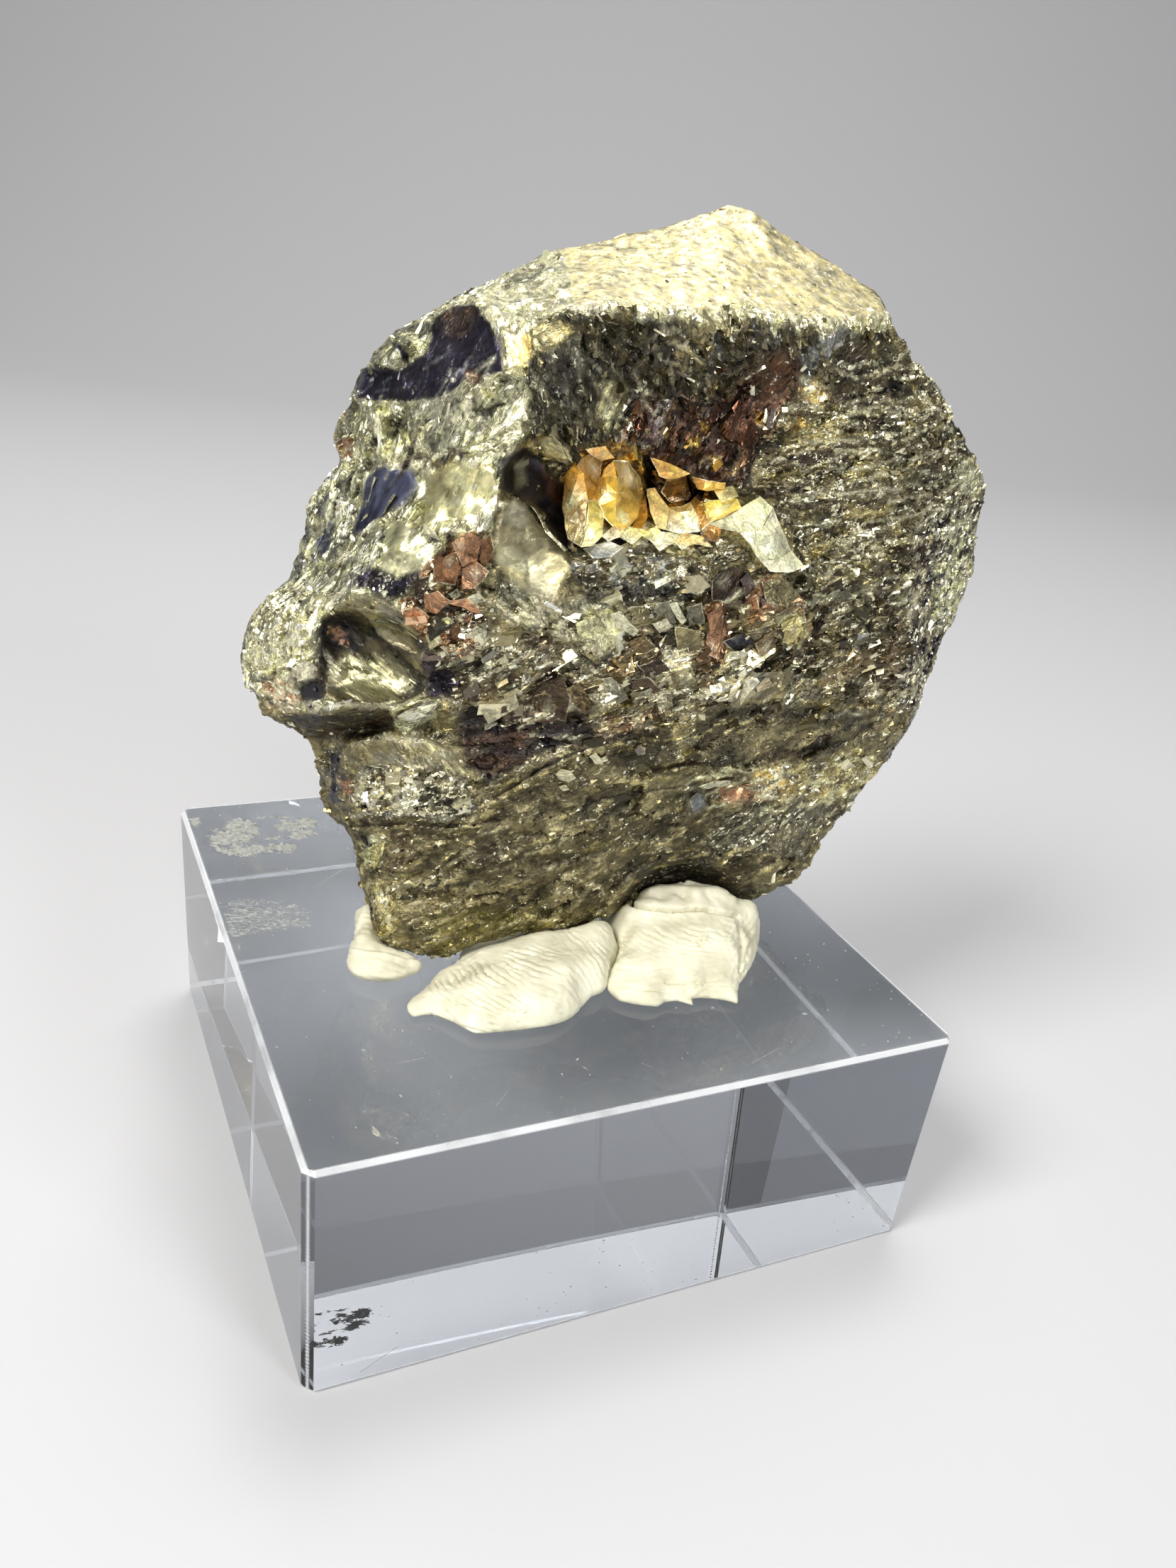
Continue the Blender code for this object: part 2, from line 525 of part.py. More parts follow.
def build_tack(name, outline, tops, shoulder, lump_tree, mat):
    """A lump of tack: a flat foot on the block and a top drawn through given points.

    outline and tops are points in metres. The top comes down to a lip at the outline
    over the width called shoulder, and keeps clear of the lump above and beside it.
    """
    foot = BLOCK_HEIGHT + GAP
    loop = [(p.x, p.y) for p in outline]
    flat = [Vector(p) for p in loop]
    count = len(flat)
    xs = [p[0] for p in loop]
    ys = [p[1] for p in loop]
    row = 0
    y = min(ys)
    while y < max(ys):
        x = min(xs) + (0.5 * TACK_GRID if row % 2 else 0.0)
        while x < max(xs):
            if inside(loop, x, y) and edge_distance(loop, x, y) > 0.55 * TACK_GRID:
                flat.append(Vector((x, y)))
            x += TACK_GRID
        y += TACK_GRID * 0.866
        row += 1
    edges = [(i, (i + 1) % count) for i in range(count)]

    def cover(pts):
        out_v, _, out_f, orig, _, _ = delaunay_2d_cdt(pts, edges, [], 0, 1e-9)
        tris = []
        for f in out_f:
            cx = sum(out_v[i].x for i in f) / 3.0
            cy = sum(out_v[i].y for i in f) / 3.0
            if inside(loop, cx, cy):
                tris.append([orig[i][0] for i in f])
        return tris

    def height(x, y):
        total = weight = 0.0
        for p in tops:
            w = 1.0 / ((p.x - x) ** 2 + (p.y - y) ** 2 + (0.35 * MM) ** 2) ** 1.6
            total += w * p.z
            weight += w
        z = total / weight
        t = min(1.0, edge_distance(loop, x, y) / shoulder)
        swell = math.sqrt(max(0.0, 1.0 - (1.0 - t) ** 2))
        z = foot + TACK_LIP + (z - foot - TACK_LIP) * swell
        for _ in range(80):
            if z <= foot + TACK_LIP:
                break
            p = Vector((x, y, z))
            _, _, _, near = lump_tree.find_nearest(p)
            hit = lump_tree.ray_cast(Vector((x, y, foot)), Vector((0, 0, 1)))
            under = hit[0] is None or hit[0].z > z + GAP
            if under and near > GAP * 1.3:
                break
            z -= 0.12 * MM
        return max(z, foot + TACK_LIP)

    bm = bmesh.new()
    top_v = [bm.verts.new((p.x, p.y, height(p.x, p.y))) for p in flat]
    low_v = [bm.verts.new((p.x, p.y, foot)) for p in flat[:count]]
    for tri in cover(flat):
        bm.faces.new([top_v[i] for i in tri])
    for tri in cover(flat[:count]):
        bm.faces.new([low_v[i] for i in reversed(tri)])
    for i in range(count):
        j = (i + 1) % count
        bm.faces.new([top_v[i], low_v[i], low_v[j]])
        bm.faces.new([top_v[i], low_v[j], top_v[j]])
    return add_object(name, bm, mat)


def plan(x_mm, y_mm, z_mm=20.5):
    return Vector((x_mm, y_mm, z_mm)) * MM


def build_tacks(lump):
    tree = BVHTree.FromPolygons(
        [v.co for v in lump.data.vertices], [p.vertices for p in lump.data.polygons]
    )
    white = material("tack", (0.80, 0.78, 0.66), 0.62, 0.0)
    lip = 20.5

    left_outline = [
        at_z(640, 1363, lip), at_z(620, 1371, lip), at_z(604, 1390, lip),
        at_z(588, 1404, lip), at_z(576, 1411, lip), at_z(571, 1422, lip),
        at_z(580, 1435, lip), at_z(610, 1429, lip), at_z(640, 1441, lip),
        at_z(668, 1457, lip), at_z(700, 1455, lip), at_z(740, 1451, lip),
        at_z(780, 1445, lip), at_z(805, 1436, lip), at_z(822, 1420, lip),
        at_z(834, 1404, lip), at_z(848, 1399, lip),
        plan(1.5, -11.3), plan(2.9, -9.6), plan(3.9, -8.2), plan(4.2, -6.4),
        plan(3.8, -3.6), plan(2.2, -0.8), plan(-0.8, 0.8), plan(-4.2, 0.4),
        plan(-6.8, -1.8), plan(-7.6, -4.4),
    ]
    left_tops = [
        at_z(650, 1353, 21.6), at_z(690, 1334, 22.4), at_z(740, 1321, 22.6),
        at_z(800, 1316, 22.8), at_z(850, 1301, 23.2), at_z(868, 1292, 23.4),
        at_z(625, 1385, 21.3), at_z(680, 1380, 22.5), at_z(740, 1370, 22.9),
        at_z(800, 1360, 23.0), at_z(850, 1345, 22.8), at_z(600, 1410, 21.2),
        at_z(660, 1420, 21.9), at_z(720, 1420, 22.2), at_z(780, 1408, 22.3),
        at_z(825, 1388, 21.9), plan(-3.0, -3.0, 22.5), plan(1.5, -3.0, 23.0),
    ]
    right_outline = [
        plan(1.5, -12.2), at_z(864, 1403, lip), at_z(870, 1411, lip),
        at_z(900, 1416, lip), at_z(928, 1420, lip), at_z(938, 1413, lip),
        at_z(956, 1411, lip), at_z(982, 1419, lip), at_z(974, 1407, lip),
        at_z(1000, 1407, lip), at_z(1025, 1410, lip), at_z(1043, 1417, lip),
        at_z(1042, 1400, lip), at_z(1044, 1388, lip), at_z(1056, 1372, lip),
        at_z(1068, 1345, lip), at_z(1072, 1320, lip), at_z(1072, 1303, lip),
        at_z(1060, 1295, lip), plan(16.6, -5.6), plan(15.6, -3.6),
        plan(13.6, -1.4), plan(10.4, 0.4), plan(7.2, 0.0), plan(5.3, -2.2),
        plan(4.7, -4.6), plan(4.7, -7.2), plan(4.4, -8.4), plan(3.4, -9.8),
        plan(2.0, -11.4),
    ]
    right_tops = [
        # the lobe's shoulder and its slope towards the front
        at_z(905, 1302, 23.4), at_z(945, 1303, 23.6), at_z(985, 1303, 23.7),
        at_z(1020, 1312, 23.3), at_z(1052, 1312, 22.0), at_z(900, 1340, 22.5),
        at_z(960, 1350, 22.5), at_z(1015, 1350, 22.2), at_z(1052, 1345, 21.5),
        at_z(890, 1380, 21.5), at_z(950, 1385, 21.4), at_z(1010, 1385, 21.3),
        at_z(1036, 1380, 21.1),
        # the crease under the roll
        at_z(900, 1281, 23.1), at_z(930, 1284, 23.2), at_z(960, 1282, 23.4),
        at_z(1000, 1283, 23.4), at_z(1025, 1289, 23.1),
        # the roll
        at_z(898, 1262, 24.6), at_z(925, 1255, 25.4), at_z(955, 1250, 25.6),
        at_z(985, 1248, 25.7), at_z(1010, 1256, 25.2), at_z(1028, 1270, 24.4),
        plan(7.6, -5.6, 25.2), plan(11.0, -5.7, 25.4), plan(13.2, -6.4, 24.6),
        plan(10.0, -2.5, 23.5),
    ]
    dab_outline = [
        at_z(504, 1291, lip), at_z(503, 1312, lip), at_z(502, 1332, lip),
        at_z(495, 1341, lip), at_z(495, 1352, lip), at_z(490, 1364, lip),
        at_z(495, 1374, lip), at_z(510, 1381, lip), at_z(535, 1384, lip),
        at_z(562, 1383, lip), at_z(578, 1376, lip), at_z(596, 1369, lip),
        plan(-11.9, -5.2), plan(-12.4, -4.0), plan(-12.8, -2.2), plan(-13.0, 0.4),
        plan(-13.6, 2.6),
    ]
    dab_tops = [
        at_z(511, 1294, 22.4), at_z(512, 1312, 22.3), at_z(516, 1334, 22.0),
        at_z(532, 1350, 21.9), at_z(515, 1362, 21.3), at_z(550, 1362, 21.4),
        at_z(580, 1364, 21.0),
    ]
    build_tack("tack_left", left_outline, left_tops, 2.2 * MM, tree, white)
    build_tack("tack_right", right_outline, right_tops, 1.7 * MM, tree, white)
    build_tack("tack_dab", dab_outline, dab_tops, 1.1 * MM, tree, white)


drop_scene()
the_lump = build_lump()
build_block()
build_tacks(the_lump)
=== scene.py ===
"""The looks of a natural pyrite specimen on a clear square block, held by white tack.

Places on the lump are given as (across, down): the sight line through the camera's place
that they lie on. The same station, directions and units set out the lump's solid.
"""
import math

import bmesh
import bpy
import numpy as np
from mathutils import Matrix, Vector
from mathutils.bvhtree import BVHTree
from mathutils.geometry import delaunay_2d_cdt


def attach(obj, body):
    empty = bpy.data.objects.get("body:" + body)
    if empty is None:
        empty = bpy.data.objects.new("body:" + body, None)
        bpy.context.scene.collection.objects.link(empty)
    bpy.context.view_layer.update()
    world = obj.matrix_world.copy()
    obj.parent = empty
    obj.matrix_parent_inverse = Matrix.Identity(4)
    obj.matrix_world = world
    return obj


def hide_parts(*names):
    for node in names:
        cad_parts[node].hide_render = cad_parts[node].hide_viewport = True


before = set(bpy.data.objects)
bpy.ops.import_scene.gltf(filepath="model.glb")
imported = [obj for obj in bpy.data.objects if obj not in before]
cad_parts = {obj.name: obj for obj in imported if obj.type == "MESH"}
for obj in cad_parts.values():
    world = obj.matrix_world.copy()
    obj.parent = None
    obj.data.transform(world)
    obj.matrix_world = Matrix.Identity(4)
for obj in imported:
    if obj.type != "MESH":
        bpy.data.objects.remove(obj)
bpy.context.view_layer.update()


MM = 0.001

# ----------------------------------------------------------------- camera and sight lines
STATION = np.array([-37.687, -79.743, 73.583]) * MM
ACROSS = np.array([0.91483, -0.39116, 0.10039])
DOWN = np.array([-0.10873, -0.47798, -0.87161])
AHEAD = np.array([0.38893, 0.78646, -0.47981])
SIGHT_UNITS = 1726.0
SIGHT_CENTRE = (784.0, 1212.0)
IMAGE = (1659.0, 2212.0)

cam_data = bpy.data.cameras.new("camera")
cam = bpy.data.objects.new("camera", cam_data)
bpy.context.scene.collection.objects.link(cam)
back = Vector(-AHEAD).normalized()
right = Vector(ACROSS)
right = (right - back * right.dot(back)).normalized()
up = back.cross(right)
turn = Matrix((right, up, back)).transposed().to_4x4()
cam.matrix_world = Matrix.Translation(Vector(STATION)) @ turn
cam_data.sensor_width = 36.0
cam_data.lens = SIGHT_UNITS / IMAGE[1] * 36.0
cam_data.shift_x = (IMAGE[0] / 2 - SIGHT_CENTRE[0]) / IMAGE[1]
cam_data.shift_y = (SIGHT_CENTRE[1] - IMAGE[1] / 2) / IMAGE[1]
cam_data.clip_start = 0.005
cam_data.clip_end = 20.0
cam_data.dof.use_dof = False
bpy.context.scene.camera = cam


def sighted(points):
    """(across, down) of points in metres."""
    d = points - STATION
    z = d @ AHEAD
    return np.stack([
        SIGHT_CENTRE[0] + SIGHT_UNITS * (d @ ACROSS) / z,
        SIGHT_CENTRE[1] + SIGHT_UNITS * (d @ DOWN) / z,
    ], 1)


def sight_line(u, v):
    d = (
        AHEAD
        + ACROSS * ((u - SIGHT_CENTRE[0]) / SIGHT_UNITS)
        + DOWN * ((v - SIGHT_CENTRE[1]) / SIGHT_UNITS)
    )
    return d / np.linalg.norm(d)


def at_z(u, v, z_mm):
    d = sight_line(u, v)
    return STATION + d * ((z_mm * MM - STATION[2]) / d[2])


# ------------------------------------------------------------------------- mesh helpers
def node_arrays(name):
    """Points and triangles of a frame node, with its doubled corners joined."""
    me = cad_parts[name].data
    co = np.zeros(len(me.vertices) * 3, np.float32)
    me.vertices.foreach_get("co", co)
    co = co.reshape(-1, 3).astype(np.float64)
    me.calc_loop_triangles()
    tri = np.zeros(len(me.loop_triangles) * 3, np.int32)
    me.loop_triangles.foreach_get("vertices", tri)
    tri = tri.reshape(-1, 3).astype(np.int64)
    key = np.round(co / 2e-6).astype(np.int64)
    _, first, inv = np.unique(key, axis=0, return_index=True, return_inverse=True)
    tri = inv.reshape(-1)[tri]
    keep = (tri[:, 0] != tri[:, 1]) & (tri[:, 1] != tri[:, 2]) & (tri[:, 2] != tri[:, 0])
    return co[first], tri[keep]


def edges_of(tri):
    e = np.sort(np.concatenate([tri[:, [0, 1]], tri[:, [1, 2]], tri[:, [2, 0]]]), 1)
    return np.unique(e, axis=0)


def refine(co, tri, limit_of, rounds=14):
    """Cut the edges that are longer than their limit in half, until none is left."""
    for _ in range(rounds):
        n = len(co)
        e = np.concatenate([tri[:, [0, 1]], tri[:, [1, 2]], tri[:, [2, 0]]])
        es = np.sort(e, 1)
        uniq, inv = np.unique(es[:, 0] * n + es[:, 1], return_inverse=True)
        inv = inv.reshape(-1)
        a, b = uniq // n, uniq % n
        limit = limit_of(co)
        size = np.linalg.norm(co[a] - co[b], axis=1)
        cut = size > 0.5 * (limit[a] + limit[b])
        if not cut.any():
            break
        worst = (size / (0.5 * (limit[a] + limit[b]))).max()
        if worst > 1.9:
            cut &= size > 0.5 * (limit[a] + limit[b]) * worst * 0.55
        mid = np.full(len(uniq), -1, np.int64)
        mid[cut] = n + np.arange(int(cut.sum()))
        co = np.concatenate([co, 0.5 * (co[a[cut]] + co[b[cut]])])
        m = mid[inv].reshape(3, -1).T
        count = (m >= 0).sum(1)
        out = [tri[count == 0]]
        s = count == 3
        t, k = tri[s], m[s]
        out += [
            np.stack([t[:, 0], k[:, 0], k[:, 2]], 1), np.stack([t[:, 1], k[:, 1], k[:, 0]], 1),
            np.stack([t[:, 2], k[:, 2], k[:, 1]], 1), k,
        ]
        for i in range(3):
            j, l = (i + 1) % 3, (i + 2) % 3
            s = (count == 1) & (m[:, i] >= 0)
            t, k = tri[s], m[s]
            out += [
                np.stack([t[:, i], k[:, i], t[:, l]], 1),
                np.stack([k[:, i], t[:, j], t[:, l]], 1),
            ]
            s = (count == 2) & (m[:, i] < 0)
            t, k = tri[s], m[s]
            pa, pb, pc, pm, pn = t[:, i], t[:, j], t[:, l], k[:, j], k[:, l]
            out.append(np.stack([pm, pc, pn], 1))
            near = (
                np.linalg.norm(co[pa] - co[pm], axis=1)
                < np.linalg.norm(co[pb] - co[pn], axis=1)
            )[:, None]
            out.append(np.where(near, np.stack([pa, pb, pm], 1), np.stack([pa, pb, pn], 1)))
            out.append(np.where(near, np.stack([pa, pm, pn], 1), np.stack([pb, pm, pn], 1)))
        tri = np.concatenate(out)
    return co, tri


def spread(values, e, count):
    """Mean of each point's neighbours."""
    total = np.zeros_like(values)
    for c in range(values.shape[1]):
        total[:, c] = (
            np.bincount(e[:, 0], values[e[:, 1], c], count)
            + np.bincount(e[:, 1], values[e[:, 0], c], count)
        )
    degree = np.bincount(e[:, 0], minlength=count) + np.bincount(e[:, 1], minlength=count)
    return total / np.maximum(degree, 1)[:, None]


def smoothed(co, tri, rounds, give=0.5, back_give=0.0):
    e = edges_of(tri)
    for _ in range(rounds):
        co = co + give * (spread(co, e, len(co)) - co)
        if back_give:
            co = co - back_give * (spread(co, e, len(co)) - co)
    return co


def point_normals(co, tri):
    fn = np.cross(co[tri[:, 1]] - co[tri[:, 0]], co[tri[:, 2]] - co[tri[:, 0]])
    out = np.zeros_like(co)
    for c in range(3):
        for k in range(3):
            out[:, c] += np.bincount(tri[:, k], fn[:, c], len(co))
    return out / np.maximum(np.linalg.norm(out, axis=1), 1e-20)[:, None]


def mesh_object(name, co, tri, mats, smooth_angle=None, attributes=None, vectors=None):
    me = bpy.data.meshes.new(name)
    me.from_pydata(co.tolist(), [], tri.tolist())
    for mat in mats:
        me.materials.append(mat)
    if smooth_angle is not None:
        me.shade_smooth()
        me.set_sharp_from_angle(angle=math.radians(smooth_angle))
    for key, data in (attributes or {}).items():
        layer = me.attributes.new(key, "FLOAT_COLOR", "POINT")
        rgba = np.ones((len(co), 4), np.float32)
        rgba[:, :3] = data
        layer.data.foreach_set("color", rgba.ravel())
    for key, data in (vectors or {}).items():
        layer = me.attributes.new(key, "FLOAT_VECTOR", "POINT")
        layer.data.foreach_set("vector", data.astype(np.float32).ravel())
    me.validate()
    ob = bpy.data.objects.new(name, me)
    bpy.context.scene.collection.objects.link(ob)
    return ob


# ------------------------------------------------------------------------ noise fields
def cell_noise(n, seed):
    h = (
        n[:, 0] * 73856093 ^ n[:, 1] * 19349663 ^ n[:, 2] * 83492791 ^ (seed * 2654435)
    ) & 0x7FFFFFFF
    out = []
    for _ in range(3):
        h = (h * 1103515245 + 12345) & 0x7FFFFFFF
        h = h ^ (h >> 13)
        out.append((h & 0xFFFFF) / float(0x100000))
    return np.stack(out, 1)


def value_noise(p, seed):
    """Smooth noise in -1..1 with a period of about one unit."""
    base = np.floor(p).astype(np.int64)
    f = p - base
    f = f * f * (3.0 - 2.0 * f)
    total = np.zeros(len(p))
    for i in (0, 1):
        for j in (0, 1):
            for k in (0, 1):
                w = (
                    (f[:, 0] if i else 1 - f[:, 0])
                    * (f[:, 1] if j else 1 - f[:, 1])
                    * (f[:, 2] if k else 1 - f[:, 2])
                )
                total += w * cell_noise(base + np.array([i, j, k]), seed)[:, 0]
    return total * 2.0 - 1.0


def cloud(p, scale_mm, seed, octaves=3):
    q = p / (scale_mm * MM)
    total = np.zeros(len(p))
    size = 1.0
    for o in range(octaves):
        total += size * value_noise(q * (2.0 ** o), seed + 17 * o)
        size *= 0.55
    return total / 1.8


def faces_field(q, seed, tilt=1.0, bend=0.45, sink=0.0):
    """Upper envelope of tilted crystal faces, one for each cell, and each point's cell."""
    return faces_with_gap(q, seed, tilt, bend, sink)[:2]


def faces_with_gap(q, seed, tilt=1.0, bend=0.45, sink=0.0):
    """The same, with how far each point is from the next face."""
    base = np.floor(q).astype(np.int64)
    height = np.full(len(q), -1e9)
    second = np.full(len(q), -1e9)
    cell = np.zeros((len(q), 3))
    for i in (-1, 0, 1):
        for j in (-1, 0, 1):
            for k in (-1, 0, 1):
                n = base + np.array([i, j, k])
                r = cell_noise(n, seed)
                away = q - (n + r)
                lean = (cell_noise(n, seed + 7) - 0.5) * 2.0 * tilt
                value = (away * lean).sum(1) - bend * (away ** 2).sum(1) + sink * (r[:, 0] - 0.5)
                better = value > height
                second = np.where(better, height, np.maximum(second, value))
                height[better] = value[better]
                cell[better] = r[better]
    return height, cell, height - second


def foil(p, angle, across_mm, along_mm, seed):
    """Crumpled, folded fracture: bent faces of two sizes. Height, cell and a mask of the folds, which lay() uses to
    darken the colour there as painted shade.
    """
    q = oriented(p, angle, across_mm, along_mm, across_mm * 1.3)
    w = np.stack([value_noise(q * 0.8, seed + k) for k in (1, 2, 3)], 1)
    w2 = np.stack([value_noise(q * 2.3 + 9.0, seed + k) for k in (4, 5, 6)], 1)
    q = q + w * 0.75 + w2 * 0.25
    h1, c1, g1 = faces_with_gap(q, seed + 11, 1.3, 0.35, 0.5)
    h2, _, g2 = faces_with_gap(q * 2.6 + 3.7, seed + 12, 1.2, 0.45)
    fold_shade = np.maximum(np.exp(-g1 / 0.05), 0.55 * np.exp(-g2 / 0.10))
    return (h1 - h1.mean()) + 0.30 * (h2 - h2.mean()), c1, fold_shade


def oriented(p, angle, across_mm, along_mm, deep_mm):
    """Coordinates stretched along a direction given by its slope on the near face."""
    a = math.radians(angle)
    t = ACROSS * math.cos(a) - DOWN * math.sin(a)
    b = ACROSS * math.sin(a) + DOWN * math.cos(a)
    d = p - STATION
    return np.stack([
        d @ t / (along_mm * MM), d @ b / (across_mm * MM), d @ AHEAD / (deep_mm * MM)
    ], 1)


def relief(p, kinds, seed):
    """Height in mm, out of the surface, of a list of relief kinds."""
    total = np.zeros(len(p))
    for order, kind in enumerate(kinds):
        name, amp = kind[0], kind[1]
        s = seed + 31 * order
        if name == "faces":        # blocky crystal faces: (name, amp, cell)
            h, _ = faces_field(p / (kind[2] * MM), s, 1.0, 0.35)
            total += amp * (h - h.mean())
        elif name == "steps":      # faces at different levels, with steps between them
            h, c = faces_field(p / (kind[2] * MM), s, 0.8, 0.9, 0.6)
            total += amp * ((h - h.mean()) + 0.5 * (c[:, 1] - 0.5))
        elif name == "scallops":   # shell-like fracture hollows
            h, _ = faces_field(p / (kind[2] * MM), s, 0.7, 0.75)
            total -= amp * (h - h.mean())
        elif name == "ridges":     # (name, amp, slope, across, along)
            q = oriented(p, kind[2], kind[3], kind[4], kind[3] * 2.2)
            h, _ = faces_field(q, s, 0.8, 0.6)
            total -= amp * (h - h.mean())
        elif name == "lines":      # fine parallel striations
            q = oriented(p, kind[2], kind[3], kind[4], kind[3] * 3.0)
            total += amp * (1.0 - 2.0 * np.abs(value_noise(q, s)))
        elif name == "cloud":
            total += amp * cloud(p, kind[2], s)
        elif name == "grain":
            q = p / (kind[2] * MM)
            h, _ = faces_field(q, s, 0.9, 0.8)
            total += amp * (h - h.mean())
    return total


# ----------------------------------------------------------------------------- colours
def srgb(r, g, b):
    c = np.array([r, g, b]) / 255.0
    return np.where(c <= 0.04045, c / 12.92, ((c + 0.055) / 1.055) ** 2.4)


CREAM = srgb(240, 235, 200)
PALE = srgb(236, 234, 180)
SAND = srgb(222, 214, 176)
BRASS = srgb(204, 188, 122)
OLIVE = srgb(145, 135, 97)
DARK_OLIVE = srgb(92, 85, 60)
BROWN = srgb(78, 64, 48)
MAROON = srgb(70, 42, 24)
COPPER = srgb(194, 146, 108)
DEEP_COPPER = srgb(134, 96, 64)
BRONZE = srgb(150, 128, 88)
NAVY = srgb(44, 44, 66)
BLUE = srgb(104, 108, 134)
STEEL = srgb(142, 146, 146)
VIOLET = srgb(52, 46, 62)
SMOKE = srgb(44, 42, 44)
GREY_GREEN = srgb(146, 142, 118)
ROSE_GREY = srgb(150, 138, 130)
AMBER = srgb(222, 158, 46)
GOLD = srgb(236, 192, 84)
YELLOW = srgb(246, 220, 90)


# ------------------------------------------------------------------------- painted areas
def outline_weight(uv, outline, feather):
    """1 inside an outline, 0 outside, changing over the feather's width."""
    poly = np.array(outline, float)
    x, y = uv[:, 0], uv[:, 1]
    lo, hi = poly.min(0) - feather, poly.max(0) + feather
    out = np.zeros(len(uv))
    near = (x > lo[0]) & (x < hi[0]) & (y > lo[1]) & (y < hi[1])
    if not near.any():
        return out
    x, y = x[near], y[near]
    hit = np.zeros(len(x), bool)
    best = np.full(len(x), 1e9)
    for i in range(len(poly)):
        x0, y0 = poly[i - 1]
        x1, y1 = poly[i]
        dx, dy = x1 - x0, y1 - y0
        cross = x0 + dx * (y - y0) / (dy if dy else 1e-9)
        hit ^= ((y0 > y) != (y1 > y)) & (x < cross)
        t = np.clip(((x - x0) * dx + (y - y0) * dy) / max(dx * dx + dy * dy, 1e-9), 0, 1)
        best = np.minimum(best, np.hypot(x - x0 - t * dx, y - y0 - t * dy))
    signed = np.where(hit, best, -best)
    w = np.clip(0.5 + signed / (2.0 * feather), 0, 1)
    out[near] = w * w * (3 - 2 * w)
    return out


def line_weight(uv, points, width):
    """1 on a line through points, falling to 0 at half its width on each side."""
    x, y = uv[:, 0], uv[:, 1]
    best = np.full(len(uv), 1e9)
    for i in range(len(points) - 1):
        x0, y0 = points[i]
        x1, y1 = points[i + 1]
        dx, dy = x1 - x0, y1 - y0
        t = np.clip(((x - x0) * dx + (y - y0) * dy) / max(dx * dx + dy * dy, 1e-9), 0, 1)
        best = np.minimum(best, np.hypot(x - x0 - t * dx, y - y0 - t * dy))
    w = np.clip(1.0 - best / (0.5 * width), 0, 1)
    return w * w * (3 - 2 * w)


def blend_colours(p, colours, mix_mm, seed, contrast):
    """Patches of the given colours, in the order given, with fine variation."""
    t = 0.5 + 0.62 * contrast * cloud(p, mix_mm, 500 + seed * 3, 4)
    _, cell = faces_field(p / (mix_mm * 0.55 * MM), 640 + seed, 1.0, 0.5)
    t = np.clip(t + 0.34 * contrast * (cell[:, 2] - 0.5), 0, 0.9999) * (len(colours) - 1)
    k = np.floor(t).astype(int)
    f = (t - k)[:, None]
    table = np.array(colours)
    return table[k] * (1 - f) + table[np.minimum(k + 1, len(colours) - 1)] * f


